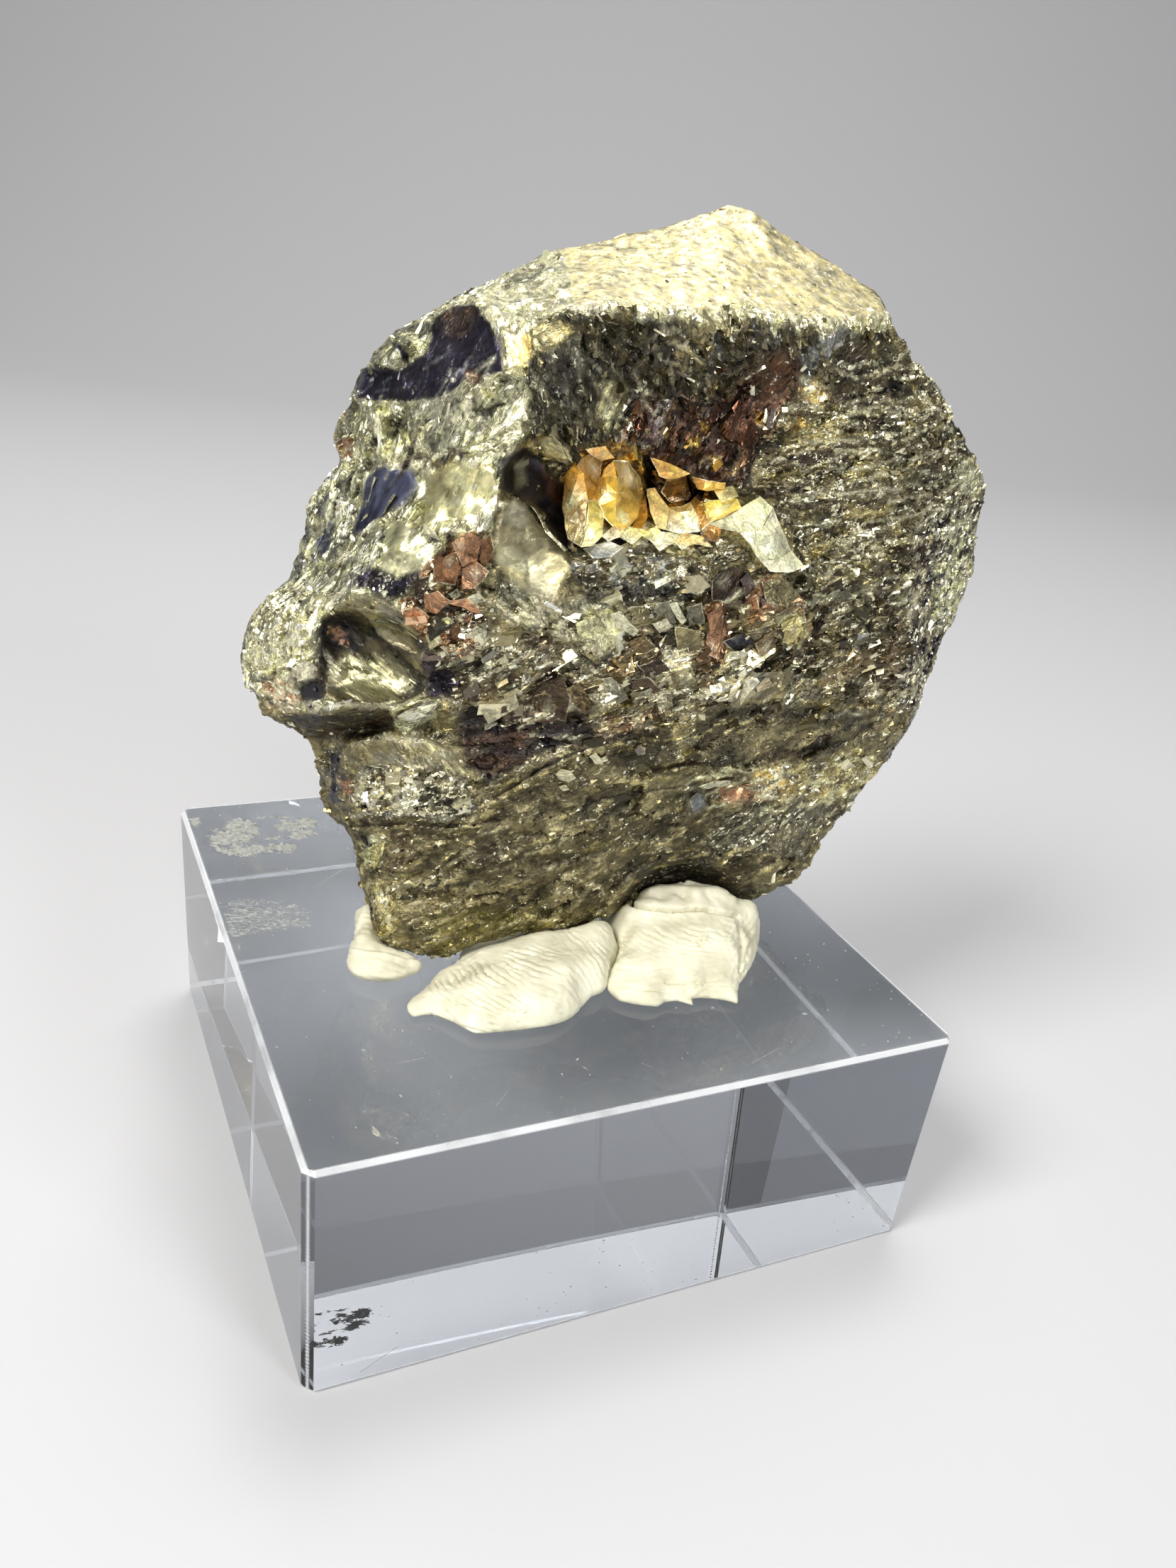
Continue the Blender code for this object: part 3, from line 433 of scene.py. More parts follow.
class Surface:
    """The state that areas paint on: colour, finish, height and crystals of each point."""

    PLAIN = dict(rough=0.34, spark=0.5, glint=0.08, dens=1.0, size=0.34, aspect=1.8,
                 slope=20.0, tilt=24.0, lift=0.07, streak=0.35, matte=0.0)

    def __init__(self, co, near):
        self.co = co
        self.near = near
        self.uv = sighted(co)
        self.colour = np.zeros((len(co), 3))
        self.height = np.zeros(len(co))
        self.push = np.zeros(len(co))
        for key, value in self.PLAIN.items():
            setattr(self, key, np.full(len(co), value))
        self.wob = np.stack([cloud(co, 1.6, 301), cloud(co, 1.6, 302)], 1)

    def lay(self, w, colours, kinds, push, mix_mm, seed, contrast, keep, painted_relief_shade, facets,
            folded, finish_and_painted_glint):
        idx = np.nonzero(w > 0.004)[0]
        if not len(idx):
            return
        p, wi = self.co[idx], w[idx]
        h = relief(p, kinds, 100 + seed * 7) if kinds is not None else None
        if colours is not None:
            new = blend_colours(p, colours, mix_mm, seed, contrast)
            if folded:      # (slope, across in mm, along in mm, height in mm, own tone)
                fh, cell, fold_shade = foil(p, *folded[:3], 700 + seed)
                h = (0.0 if h is None else h) + folded[3] * fh
                k = np.minimum((cell[:, 2] * len(colours)).astype(int), len(colours) - 1)
                own = np.array(colours)[k] * (0.7 + 0.6 * cell[:, 1:2])
                new = new * (1 - folded[4]) + own * folded[4]
                # painted shade: the colour is darkened along the folds
                new = new * (1.0 - 0.72 * fold_shade)[:, None]
            if facets:      # (size in mm, height in mm, share of its own tone)
                fh, cell = faces_field(p / (facets[0] * MM), 900 + seed, 1.1, 0.40, 0.5)
                h = (0.0 if h is None else h) + facets[1] * (fh - fh.mean())
                k = np.minimum((cell[:, 2] * len(colours)).astype(int), len(colours) - 1)
                own = np.array(colours)[k] * (0.6 + 0.8 * cell[:, 1:2])
                new = new * (1 - facets[2]) + own * facets[2]
            # painted shade in the low places of the relief and painted highlight on its high places
            if h is not None and painted_relief_shade:
                level = (h - h.mean()) / (h.std() + 1e-9)
                new = new * np.clip(1.0 + painted_relief_shade * level, 0.22, 1.35)[:, None]
            self.colour[idx] += wi[:, None] * (new - self.colour[idx])
        for key, value in finish_and_painted_glint.items():
            state = getattr(self, key)
            if key in ("slope", "aspect"):
                state[idx[wi > 0.5]] = value
            else:
                state[idx] += wi * (value - state[idx])
        if h is not None:
            self.height[idx] = self.height[idx] * (1 - wi * (1 - keep)) + wi * h
        if push:
            self.push[idx] += wi * push

    def area(self, outline, colours=None, kinds=None, feather=6, wobble=8, push=0.0,
             strength=1.0, mix_mm=0.9, seed=1, contrast=1.0, keep=0.0, painted_relief_shade=0.24,
             facets=None, folded=None, **finish_and_painted_glint):
        w = outline_weight(self.uv + self.wob * wobble, outline, feather)
        self.lay(w * self.near * strength, colours, kinds, push, mix_mm, seed, contrast,
                 keep, painted_relief_shade, facets, folded, finish_and_painted_glint)

    def stroke(self, points, width, colours=None, kinds=None, wobble=4, push=0.0,
               strength=1.0, mix_mm=0.9, seed=1, contrast=1.0, keep=1.0, painted_relief_shade=0.0,
               facets=None, folded=None, **finish_and_painted_glint):
        w = line_weight(self.uv + self.wob * wobble, points, width)
        self.lay(w * self.near * strength, colours, kinds, push, mix_mm, seed, contrast,
                 keep, painted_relief_shade, facets, folded, finish_and_painted_glint)

    def flatten(self, outline, amount=0.8, feather=8, sink=0.0):
        """Bring the points inside an outline towards one flat face."""
        w = outline_weight(self.uv, outline, feather) * self.near
        idx = np.nonzero(w > 0.01)[0]
        r = np.linalg.norm(self.co[idx] - STATION, axis=1)
        basis = np.column_stack([np.ones(len(idx)), self.uv[idx]])
        k = w[idx][:, None]
        fit, *_ = np.linalg.lstsq(basis * k, r * k[:, 0], rcond=None)
        self.push[idx] += w[idx] * amount * ((r - basis @ fit) / MM - sink)

    def flow(self, points, index):
        """Coordinates in mm that run along, across and into each point's own streaks."""
        d = (points - STATION) / MM
        out = np.zeros((len(points), 3))
        slope, aspect = self.slope[index], self.aspect[index]
        for value in np.unique(slope):
            for ratio in np.unique(aspect[slope == value]):
                s = (slope == value) & (aspect == ratio)
                a = math.radians(value)
                t = ACROSS * math.cos(a) - DOWN * math.sin(a)
                b = ACROSS * math.sin(a) + DOWN * math.cos(a)
                out[s, 0] = d[s] @ t / ratio
                out[s, 1] = d[s] @ b
                out[s, 2] = d[s] @ AHEAD * 0.7
        return out


# ------------------------------------------------------------------------ pyrite material
def pyrite_material():
    mat = bpy.data.materials.new("pyrite_metal")
    mat.use_nodes = True
    nt = mat.node_tree
    n, l = nt.nodes, nt.links
    bsdf = n["Principled BSDF"]
    bsdf.inputs["IOR"].default_value = 2.0
    coord = n.new("ShaderNodeTexCoord")
    tint = n.new("ShaderNodeAttribute")
    tint.attribute_name = "tint"
    finish_and_painted_glint = n.new("ShaderNodeAttribute")
    finish_and_painted_glint.attribute_name = "finish_and_painted_glint"
    split = n.new("ShaderNodeSeparateColor")
    l.new(finish_and_painted_glint.outputs["Color"], split.inputs["Color"])

    def maths(op, a, b=None, clamp=False):
        m = n.new("ShaderNodeMath")
        m.operation = op
        m.use_clamp = clamp
        for i, x in enumerate((a, b)):
            if x is None:
                continue
            if isinstance(x, (int, float)):
                m.inputs[i].default_value = x
            else:
                l.new(x, m.inputs[i])
        return m.outputs[0]

    def vec(op, a, b=None, scale=None):
        m = n.new("ShaderNodeVectorMath")
        m.operation = op
        for i, x in enumerate((a, b)):
            if x is None:
                continue
            if isinstance(x, tuple):
                m.inputs[i].default_value = x
            else:
                l.new(x, m.inputs[i])
        if scale is not None:
            if isinstance(scale, (int, float)):
                m.inputs["Scale"].default_value = scale
            else:
                l.new(scale, m.inputs["Scale"])
        return m.outputs[0]

    def voronoi(vector, scale):
        v = n.new("ShaderNodeTexVoronoi")
        v.inputs["Scale"].default_value = scale
        l.new(vector, v.inputs["Vector"])
        s = n.new("ShaderNodeSeparateColor")
        l.new(v.outputs["Color"], s.inputs["Color"])
        return v, s

    flow = n.new("ShaderNodeAttribute")
    flow.attribute_name = "flow"
    more = n.new("ShaderNodeAttribute")
    more.attribute_name = "more"
    split2 = n.new("ShaderNodeSeparateColor")
    l.new(more.outputs["Color"], split2.inputs["Color"])
    drift = n.new("ShaderNodeTexNoise")
    drift.inputs["Scale"].default_value = 0.9
    drift.inputs["Detail"].default_value = 3.0
    drift.inputs["Roughness"].default_value = 0.6
    l.new(flow.outputs["Vector"], drift.inputs["Vector"])
    bent = vec("ADD", flow.outputs["Vector"], vec("SCALE", vec("SUBTRACT", drift.outputs["Color"], (0.5, 0.5, 0.5)), scale=2.2))
    cells, sep = voronoi(bent, 2.9)
    broad, sep3 = voronoi(bent, 0.95)
    fine, sep2 = voronoi(coord.outputs["Object"], 7500.0)
    grit = n.new("ShaderNodeTexNoise")
    grit.inputs["Scale"].default_value = 1500.0
    grit.inputs["Detail"].default_value = 5.0
    grit.inputs["Roughness"].default_value = 0.65
    l.new(coord.outputs["Object"], grit.inputs["Vector"])
    lines = n.new("ShaderNodeTexNoise")
    lines.inputs["Scale"].default_value = 1.25
    lines.inputs["Detail"].default_value = 6.0
    lines.inputs["Roughness"].default_value = 0.6
    lines.inputs["Distortion"].default_value = 0.9
    l.new(bent, lines.inputs["Vector"])

    def cell_edge_mask(scale, width):
        v = n.new("ShaderNodeTexVoronoi")
        v.feature = "DISTANCE_TO_EDGE"
        v.inputs["Scale"].default_value = scale
        l.new(bent, v.inputs["Vector"])
        m = n.new("ShaderNodeMapRange")
        m.interpolation_type = "SMOOTHSTEP"
        m.inputs["From Min"].default_value = 0.0
        m.inputs["From Max"].default_value = width
        l.new(v.outputs["Distance"], m.inputs["Value"])
        return maths("SUBTRACT", 1.0, m.outputs["Result"])

    # painted shade: thin dark creases along the streaks and between the broken faces darken the colour
    crease = n.new("ShaderNodeMapRange")
    crease.interpolation_type = "SMOOTHSTEP"
    crease.inputs["From Min"].default_value = 0.0
    crease.inputs["From Max"].default_value = 0.030
    l.new(maths("ABSOLUTE", maths("SUBTRACT", lines.outputs["Fac"], 0.47)), crease.inputs["Value"])
    crease_shade = maths("MAXIMUM", maths("SUBTRACT", 1.0, crease.outputs["Result"]), maths("MULTIPLY", cell_edge_mask(0.95, 0.09), 0.9))
    crease_shade = maths("MAXIMUM", crease_shade, maths("MULTIPLY", cell_edge_mask(2.9, 0.10), 0.45))
    unshaded = maths("SUBTRACT", 1.0, maths("MULTIPLY", crease_shade, split2.outputs[0]))
    band = maths("ADD", maths("SUBTRACT", lines.outputs["Fac"], 0.5), maths("MULTIPLY", maths("SUBTRACT", sep3.outputs[0], 0.45), 0.45))
    band = maths("MULTIPLY", band, maths("MULTIPLY", split2.outputs[0], 1.9))

    # colour: small crystal faces differ in brightness at random, and a few get painted glints, a pale cream put in as a
    # highlight
    vary = maths("ADD", maths("MULTIPLY", sep.outputs[0], 0.6), maths("MULTIPLY", sep2.outputs[0], 0.45))
    vary = maths("ADD", vary, maths("MULTIPLY", grit.outputs["Fac"], 0.6))
    vary = maths("SUBTRACT", vary, 0.82)
    vary = maths("MULTIPLY", vary, split.outputs[1])
    gain = maths("ADD", maths("ADD", 1.0, maths("MULTIPLY", vary, 1.3)), band)
    gain = maths("MULTIPLY", maths("MAXIMUM", gain, 0.12), maths("ADD", 0.12, maths("MULTIPLY", unshaded, 0.88)))
    colour = vec("SCALE", tint.outputs["Color"], scale=gain)
    pick = maths("ADD", maths("MULTIPLY", sep.outputs[2], 0.75), maths("MULTIPLY", sep2.outputs[2], 0.25))
    shine = maths("MULTIPLY", maths("SUBTRACT", maths("ADD", pick, maths("MULTIPLY", split.outputs[2], 0.8)), 0.94), 9.0, True)
    mix = n.new("ShaderNodeMix")
    mix.data_type = "RGBA"
    l.new(shine, mix.inputs["Factor"])
    l.new(colour, mix.inputs["A"])
    mix.inputs["B"].default_value = (*PAINTED_GLINT, 1)
    l.new(mix.outputs["Result"], bsdf.inputs["Base Color"])

    # thinly coated and pale crystals are less metallic
    l.new(maths("SUBTRACT", 0.86, maths("MULTIPLY", split2.outputs[1], 0.7)), bsdf.inputs["Metallic"])

    # roughness: from the area, and lower on some of the small faces
    r = maths("ADD", split.outputs[0], maths("MULTIPLY", maths("SUBTRACT", sep.outputs[1], 0.5), 0.16))
    r = maths("ADD", r, maths("MULTIPLY", maths("SUBTRACT", grit.outputs["Fac"], 0.5), 0.22))
    r = maths("MAXIMUM", r, 0.08)
    l.new(r, bsdf.inputs["Roughness"])

    # normal: each small face leans its own way
    geo = n.new("ShaderNodeNewGeometry")
    lean = vec("SUBTRACT", cells.outputs["Color"], (0.5, 0.5, 0.5))
    lean2 = vec("SUBTRACT", fine.outputs["Color"], (0.5, 0.5, 0.5))
    lean3 = vec("SUBTRACT", broad.outputs["Color"], (0.5, 0.5, 0.5))
    both = vec("ADD", vec("SCALE", lean, scale=0.40), vec("SCALE", lean2, scale=0.26))
    both = vec("SCALE", both, scale=split.outputs[1])
    both = vec("ADD", both, vec("SCALE", lean3, scale=maths("MULTIPLY", split2.outputs[0], 0.55)))
    leaned = vec("NORMALIZE", vec("ADD", geo.outputs["Normal"], both))
    bump = n.new("ShaderNodeBump")
    bump.inputs["Distance"].default_value = 0.00022
    l.new(maths("MULTIPLY", split2.outputs[0], 0.9), bump.inputs["Strength"])
    l.new(maths("ADD", lines.outputs["Fac"], maths("MULTIPLY", grit.outputs["Fac"], 0.25)), bump.inputs["Height"])
    l.new(leaned, bump.inputs["Normal"])
    l.new(bump.outputs["Normal"], bsdf.inputs["Normal"])
    return mat


# the pale colour of the painted glints, a painted highlight
PAINTED_GLINT = srgb(244, 240, 210)
PYRITE = pyrite_material()

# ------------------------------------------------------------------------------- the lump
NEAR_MM, FAR_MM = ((0.335, 0.90))
lump_co, lump_tri = node_arrays("pyrite_lump")
lump_co, lump_tri = refine(lump_co, lump_tri, lambda c: np.full(len(c), 1.2 * MM))
lump_co = smoothed(lump_co, lump_tri, 3, 0.5, 0.52)
lump_co, lump_tri = refine(lump_co, lump_tri, lambda c: np.full(len(c), 0.72 * MM))
lump_co = smoothed(lump_co, lump_tri, 2, 0.5, 0.51)


def facing(co, tri):
    nrm = point_normals(co, tri)
    line = co - STATION
    line /= np.linalg.norm(line, axis=1)[:, None]
    return -(nrm * line).sum(1), nrm, line


def split_sides(co, tri):
    """Refine the near side finely: each round looks at which way the points face."""
    for _ in range(6):
        face, _, _ = facing(co, tri)
        side = smoothed(np.repeat(face[:, None], 3, 1), tri, 2)[:, 0]
        limit = np.where(side > -0.04, NEAR_MM, FAR_MM) * MM
        count = len(co)
        co, tri = refine(co, tri, lambda c: np.concatenate([
            limit, np.full(len(c) - len(limit), NEAR_MM * MM)
        ]) if len(c) > len(limit) else limit, 1)
        if len(co) == count:
            break
    return co, tri


lump_co, lump_tri = split_sides(lump_co, lump_tri)
lump_co = smoothed(lump_co, lump_tri, 2, 0.5)
face, nrm, line = facing(lump_co, lump_tri)
soft_face = smoothed(np.repeat(face[:, None], 3, 1), lump_tri, 4)[:, 0]
near = np.clip(soft_face / 0.12 + 0.5, 0, 1)

S = Surface(lump_co, near)
# what the lump is like all over, the hidden sides included
S.colour[:] = blend_colours(lump_co, [BROWN, DARK_OLIVE, OLIVE, BRASS, SAND], 2.6, 3, 1.0)
turned = np.clip(-soft_face * 2.5, 0, 1)
fh, cell = faces_field(lump_co / (3.4 * MM), 41, 1.0, 0.5, 0.5)
S.height[:] = turned * (0.62 * (fh - fh.mean()) + relief(lump_co, [("faces", 0.24, 1.3)], 40))
S.colour[:] *= (0.62 + 0.7 * cell[:, 1])[:, None]
S.aspect[:] = 2.4
S.rough[:] = 0.34
S.spark[:] = 0.6

# ------------------------------------------------- the near face, first in broad areas
SMOOTH = dict(rough=0.36, spark=0.14, glint=0.0, dens=0.01, streak=0.08, aspect=3.0)
SATIN = dict(rough=0.34, spark=0.3, glint=0.03, dens=0.08, size=0.2, tilt=14, lift=0.03, streak=0.45, aspect=2.4)
SHARDS = dict(rough=0.30, spark=0.34, glint=0.06, dens=0.10, size=0.24, aspect=2.4, tilt=24, lift=0.05, streak=0.9)
CRUMBS = dict(rough=0.30, spark=0.5, glint=0.30, dens=0.8, size=0.26, aspect=1.4, tilt=26, lift=0.07, streak=0.7)
GRAINY = dict(rough=0.40, spark=0.55, glint=0.08, dens=0.35, size=0.19, aspect=1.6, tilt=20, lift=0.04, streak=0.7)
GLITTER = dict(rough=0.30, spark=0.5, glint=0.22, dens=0.6, size=0.19, aspect=2.0, tilt=26, lift=0.06, streak=0.9)

for flat_face, amount, sink in (
        ([(503, 558), (518, 525), (560, 515), (600, 470), (640, 432), (684, 445), (710, 500), (712, 522),
          (655, 540), (590, 570), (520, 565)], 0.75, 0.2),
        ([(508, 680), (530, 657), (575, 662), (592, 685), (562, 710), (515, 748), (500, 750)], 0.8, 0.0),
        ([(712, 716), (728, 702), (770, 750), (806, 802), (780, 850), (740, 846), (700, 792)], 0.6, 0.0)):
    S.flatten(flat_face, amount, 6, sink)

# the broad tones are partly the pyrite's own and partly painted light: the top and the left flank get brighter colours
# for the light they catch, the upper, right, middle and lower front darker ones for the dark they reflect
WHOLE = [(300, 250), (1430, 250), (1430, 1420), (300, 1420)]
S.area(WHOLE, [DARK_OLIVE, OLIVE, OLIVE, BRASS],
       [("steps", 0.30, 2.4), ("grain", 0.03, 0.5)], folded=(14, 1.3, 3.0, 0.42, 0.6),
       seed=2, wobble=0, slope=14, **GRAINY)
FLANK = [(745, 456), (752, 560), (748, 606), (712, 656), (696, 722), (688, 746), (600, 795),
         (574, 838), (590, 905), (452, 1010), (300, 960), (380, 800), (420, 700), (460, 640),
         (450, 600), (490, 520), (577, 440), (700, 370), (745, 400)]
S.area(FLANK, [STEEL, PALE, CREAM, CREAM, PALE],
       [("scallops", 0.20, 2.4)], folded=(52, 1.4, 3.2, 0.50, 0.45),
       seed=3, feather=8, slope=52, **SHARDS)
TOP = [(830, 330), (900, 315), (960, 295), (1010, 275), (1045, 270), (1065, 280), (1100, 310),
       (1150, 340), (1200, 370), (1260, 405), (1262, 440), (1240, 448), (1180, 452), (1100, 443),
       (1040, 434), (960, 436), (900, 438), (850, 430), (750, 442), (690, 452), (680, 380), (760, 340)]
S.area(TOP, [BRASS * 0.85, SAND * 0.7, BRASS, SAND * 0.8, OLIVE, SAND * 0.85], [("scallops", 0.09, 0.8), ("grain", 0.09, 0.45)],
       seed=4, feather=9, wobble=16, slope=8, mix_mm=0.55, rough=0.5, spark=0.55, glint=0.12, dens=0.5, size=0.15,
       aspect=1.2, tilt=14, lift=0.03, streak=0.06, matte=0.4)
UPPER = [(700, 450), (850, 436), (960, 442), (1100, 448), (1240, 452), (1290, 520), (1200, 700),
         (1130, 700), (1000, 680), (915, 645), (830, 630), (760, 650), (740, 600), (755, 560)]
S.area(UPPER, [SMOKE, DARK_OLIVE, OLIVE, DARK_OLIVE, STEEL],
       [("steps", 0.20, 1.6), ("grain", 0.03, 0.5)], folded=(-62, 1.1, 3.4, 0.42, 0.7),
       seed=5, feather=9, slope=-60, rough=0.28, spark=0.5, glint=0.06, dens=0.9, size=0.22,
       aspect=2.6, tilt=24)
RIGHT = [(1130, 560), (1180, 520), (1290, 470), (1420, 660), (1400, 800), (1300, 830), (1130, 850),
         (1110, 720), (1060, 690), (1060, 620)]
S.area(RIGHT, [BROWN, DARK_OLIVE, OLIVE, OLIVE, BRASS],
       [("steps", 0.16, 1.5), ("grain", 0.03, 0.45)], folded=(12, 0.9, 3.4, 0.40, 0.6),
       seed=7, feather=12, slope=12, **GLITTER)
LOWER = [(470, 1150), (700, 1120), (850, 1050), (1200, 1080), (1190, 1160), (1100, 1265),
         (900, 1290), (700, 1340), (610, 1380), (500, 1340)]
S.area(LOWER, [BROWN, DARK_OLIVE, OLIVE, DARK_OLIVE, OLIVE],
       [("grain", 0.05, 0.6), ("cloud", 0.30, 3.4)], folded=(20, 1.2, 2.6, 0.34, 0.45),
       seed=6, feather=14, slope=20, mix_mm=2.4, rough=0.44, spark=0.6, glint=0.07, dens=0.7, size=0.19,
       aspect=1.7, tilt=18, lift=0.03, streak=0.6)
MIDDLE = [(600, 930), (700, 900), (820, 860), (850, 800), (1100, 810), (1290, 830), (1280, 1000),
          (1200, 1010), (900, 1040), (760, 1060), (640, 1010)]
S.area(MIDDLE, [BROWN, DARK_OLIVE, OLIVE, BRONZE, DARK_OLIVE, GREY_GREEN, SAND],
       [("steps", 0.20, 0.9)], facets=(2.1, 0.60, 0.55), folded=(18, 1.2, 2.2, 0.24, 0.3),
       seed=8, feather=12, slope=18, mix_mm=1.6, rough=0.25, spark=0.4, glint=0.14, dens=0.6,
       size=0.26, aspect=2.4, tilt=28, lift=0.07, streak=0.7)

# ---- the left flank, from the top down
S.area([(690, 395), (760, 350), (790, 350), (810, 420), (760, 450), (750, 520), (715, 520), (700, 470), (690, 430)],
       [STEEL, PALE, CREAM, BRASS], [("ridges", 0.30, -70, 0.7, 2.4), ("scallops", 0.20, 1.2)],
       seed=11, slope=-72, **SHARDS)
S.area([(505, 500), (560, 455), (640, 412), (700, 385), (705, 398), (660, 425), (600, 452), (540, 500), (512, 530)],
       [CREAM, PALE, CREAM], [("scallops", 0.20, 0.9), ("grain", 0.05, 0.4)], feather=4, wobble=4, seed=12,
       slope=60, **CRUMBS)
DARK_FACET = [(612, 452), (640, 430), (668, 428), (684, 445), (700, 465), (710, 500), (712, 522), (690, 527),
              (655, 540), (625, 560), (590, 570), (560, 568), (520, 565), (503, 558), (498, 540), (508, 520),
              (530, 512), (560, 516), (580, 500), (596, 492), (604, 474)]
S.area(DARK_FACET, [NAVY, SMOKE, VIOLET, SMOKE, NAVY], [("cloud", 0.14, 2.4)], folded=(25, 2.6, 3.4, 0.12, 0.35),
       feather=3, wobble=9, seed=13, mix_mm=1.2, rough=0.36, spark=0.35, glint=0.0, dens=0.05, streak=0.22,
       aspect=2.0)
for k, pts in enumerate([
        [(540, 540), (556, 528), (575, 532)], [(560, 552), (590, 538), (604, 540)], [(600, 520), (630, 500), (640, 480)],
        [(616, 540), (650, 520), (668, 500)], [(530, 552), (548, 548)], [(640, 520), (662, 516), (690, 505)],
        [(655, 470), (668, 452)], [(520, 540), (534, 522)]]):
    S.stroke(pts, 4, [BLUE, STEEL, GREY_GREEN], wobble=5, seed=240 + k, strength=0.55, push=0.05)
S.area([(620, 440), (640, 428), (668, 428), (672, 450), (650, 475), (630, 470)], [DEEP_COPPER * 0.6, BROWN, VIOLET],
       feather=12, wobble=9, seed=14, strength=0.6, mix_mm=0.7)
S.area([(525, 470), (565, 462), (610, 450), (606, 480), (600, 500), (580, 506), (555, 516), (525, 515), (515, 500)],
       [STEEL, CREAM, PALE, SMOKE, CREAM], [("scallops", 0.34, 1.0), ("ridges", 0.18, 40, 0.5, 1.4)], feather=4,
       seed=15, slope=40, **SHARDS)
S.area([(548, 478), (560, 482), (580, 500), (575, 514), (560, 500)], [NAVY, SMOKE], feather=3, wobble=3, seed=16,
       push=-0.25, **SMOOTH)
S.area([(500, 566), (590, 572), (600, 640), (540, 650), (480, 650), (466, 610)], [STEEL, PALE, CREAM, SAND],
       [("scallops", 0.10, 0.9)], folded=(72, 1.0, 2.6, 0.5, 0.4), seed=17, slope=72, **SHARDS)
S.area([(588, 574), (655, 545), (712, 528), (745, 540), (750, 600), (700, 620), (640, 640), (600, 640)],
       [STEEL, PALE, CREAM, PALE], [("ridges", 0.16, 48, 0.6, 3.6)], folded=(48, 1.3, 6.0, 0.40, 0.25), seed=18, slope=48,
       feather=6, rough=0.28, spark=0.2, glint=0.02, dens=0.05, size=0.2, streak=0.75, aspect=6.0)
S.area([(592, 570), (622, 562), (640, 572), (618, 595), (598, 600)], [STEEL, GREY_GREEN, STEEL], feather=9, wobble=14, seed=19,
       strength=0.6)
S.area([(640, 640), (735, 602), (738, 622), (660, 648)], [PALE, CREAM], [("ridges", 0.30, 20, 0.7, 5.0)], feather=4,
       seed=20, slope=20, **SHARDS)
S.area([(605, 650), (640, 632), (665, 640), (640, 655), (612, 668)], [BROWN, SMOKE, BRASS], feather=4, seed=21,
       push=-0.35, **GRAINY)
S.area([(472, 620), (492, 618), (500, 640), (485, 650)], [DEEP_COPPER, COPPER], feather=4, wobble=3, seed=22, **SATIN)
S.area([(550, 595), (570, 590), (575, 605), (555, 612)], [BROWN, SMOKE], feather=4, seed=23, push=-0.3, strength=0.8)
S.area([(528, 608), (545, 615), (540, 632), (528, 628)], [SMOKE, NAVY], feather=3, seed=24, push=-0.4, strength=0.9)
BLUE_FACET = [(508, 680), (530, 657), (575, 662), (592, 685), (562, 710), (540, 728), (515, 748), (498, 757),
              (500, 735), (512, 712)]
S.area(BLUE_FACET, [NAVY, BLUE, BLUE, STEEL], [("ridges", 0.06, 58, 0.7, 4.0)], feather=4, wobble=5, seed=25,
       mix_mm=1.5, **SMOOTH)
S.area([(498, 757), (500, 728), (530, 716), (535, 735)], [NAVY, NAVY, BLUE], feather=6, seed=26, strength=0.8)
S.area([(437, 700), (455, 672), (500, 655), (512, 680), (500, 730), (480, 790), (430, 800), (425, 750)],
       [STEEL, BLUE, PALE, CREAM, STEEL], [("ridges", 0.14, 62, 0.6, 3.2)], folded=(62, 0.9, 3.4, 0.42, 0.4), seed=27,
       slope=64, **SHARDS)
S.area([(600, 668), (640, 655), (695, 660), (700, 690), (690, 720), (650, 735), (610, 740), (592, 700)],
       [PALE, YELLOW * 0.4 + CREAM * 0.6, PALE, CREAM], [("cloud", 0.22, 1.8), ("scallops", 0.08, 1.3)], feather=6,
       seed=28, rough=0.30, spark=0.2, glint=0.04, dens=0.06, size=0.2, tilt=14, streak=0.16)
S.area([(592, 738), (640, 732), (665, 745), (630, 770), (600, 768)], [SMOKE, GREY_GREEN, PALE, SMOKE],
       [("steps", 0.35, 0.9)], feather=4, seed=29, **SHARDS)
S.area([(540, 745), (590, 738), (602, 770), (595, 805), (550, 812), (535, 790)], [CREAM, PALE, CREAM],
       [("cloud", 0.2, 1.2)], feather=5, seed=30, rough=0.28, spark=0.2, glint=0.04, dens=0.05, size=0.2,
       push=0.12, streak=0.14)
S.stroke([(546, 768), (556, 758), (572, 760), (578, 776), (570, 790), (556, 792), (548, 782)], 6,
         [OLIVE, STEEL], wobble=1, seed=31, push=-0.10, strength=0.8)
S.stroke([(560, 770), (566, 776), (560, 782)], 6, [BRASS], wobble=1, seed=32, push=0.08)
S.area([(505, 790), (560, 812), (600, 800), (575, 838), (540, 850), (500, 830)], [NAVY, VIOLET, SMOKE, BROWN],
       [("steps", 0.25, 1.0)], feather=6, seed=33, **GLITTER)
S.area([(720, 468), (748, 470), (752, 500), (738, 530), (722, 515)], [OLIVE, GOLD, BRASS, PALE], feather=5, seed=34,
       strength=0.8, **SATIN)
S.area([(655, 525), (675, 520), (682, 540), (665, 545)], [DEEP_COPPER, BROWN], feather=3, wobble=3, seed=35,
       push=-0.2)
S.stroke([(505, 500), (480, 600), (470, 640), (440, 700), (420, 790), (400, 820)], 18, [BLUE, STEEL, PALE], wobble=6,
         seed=36, strength=0.55)

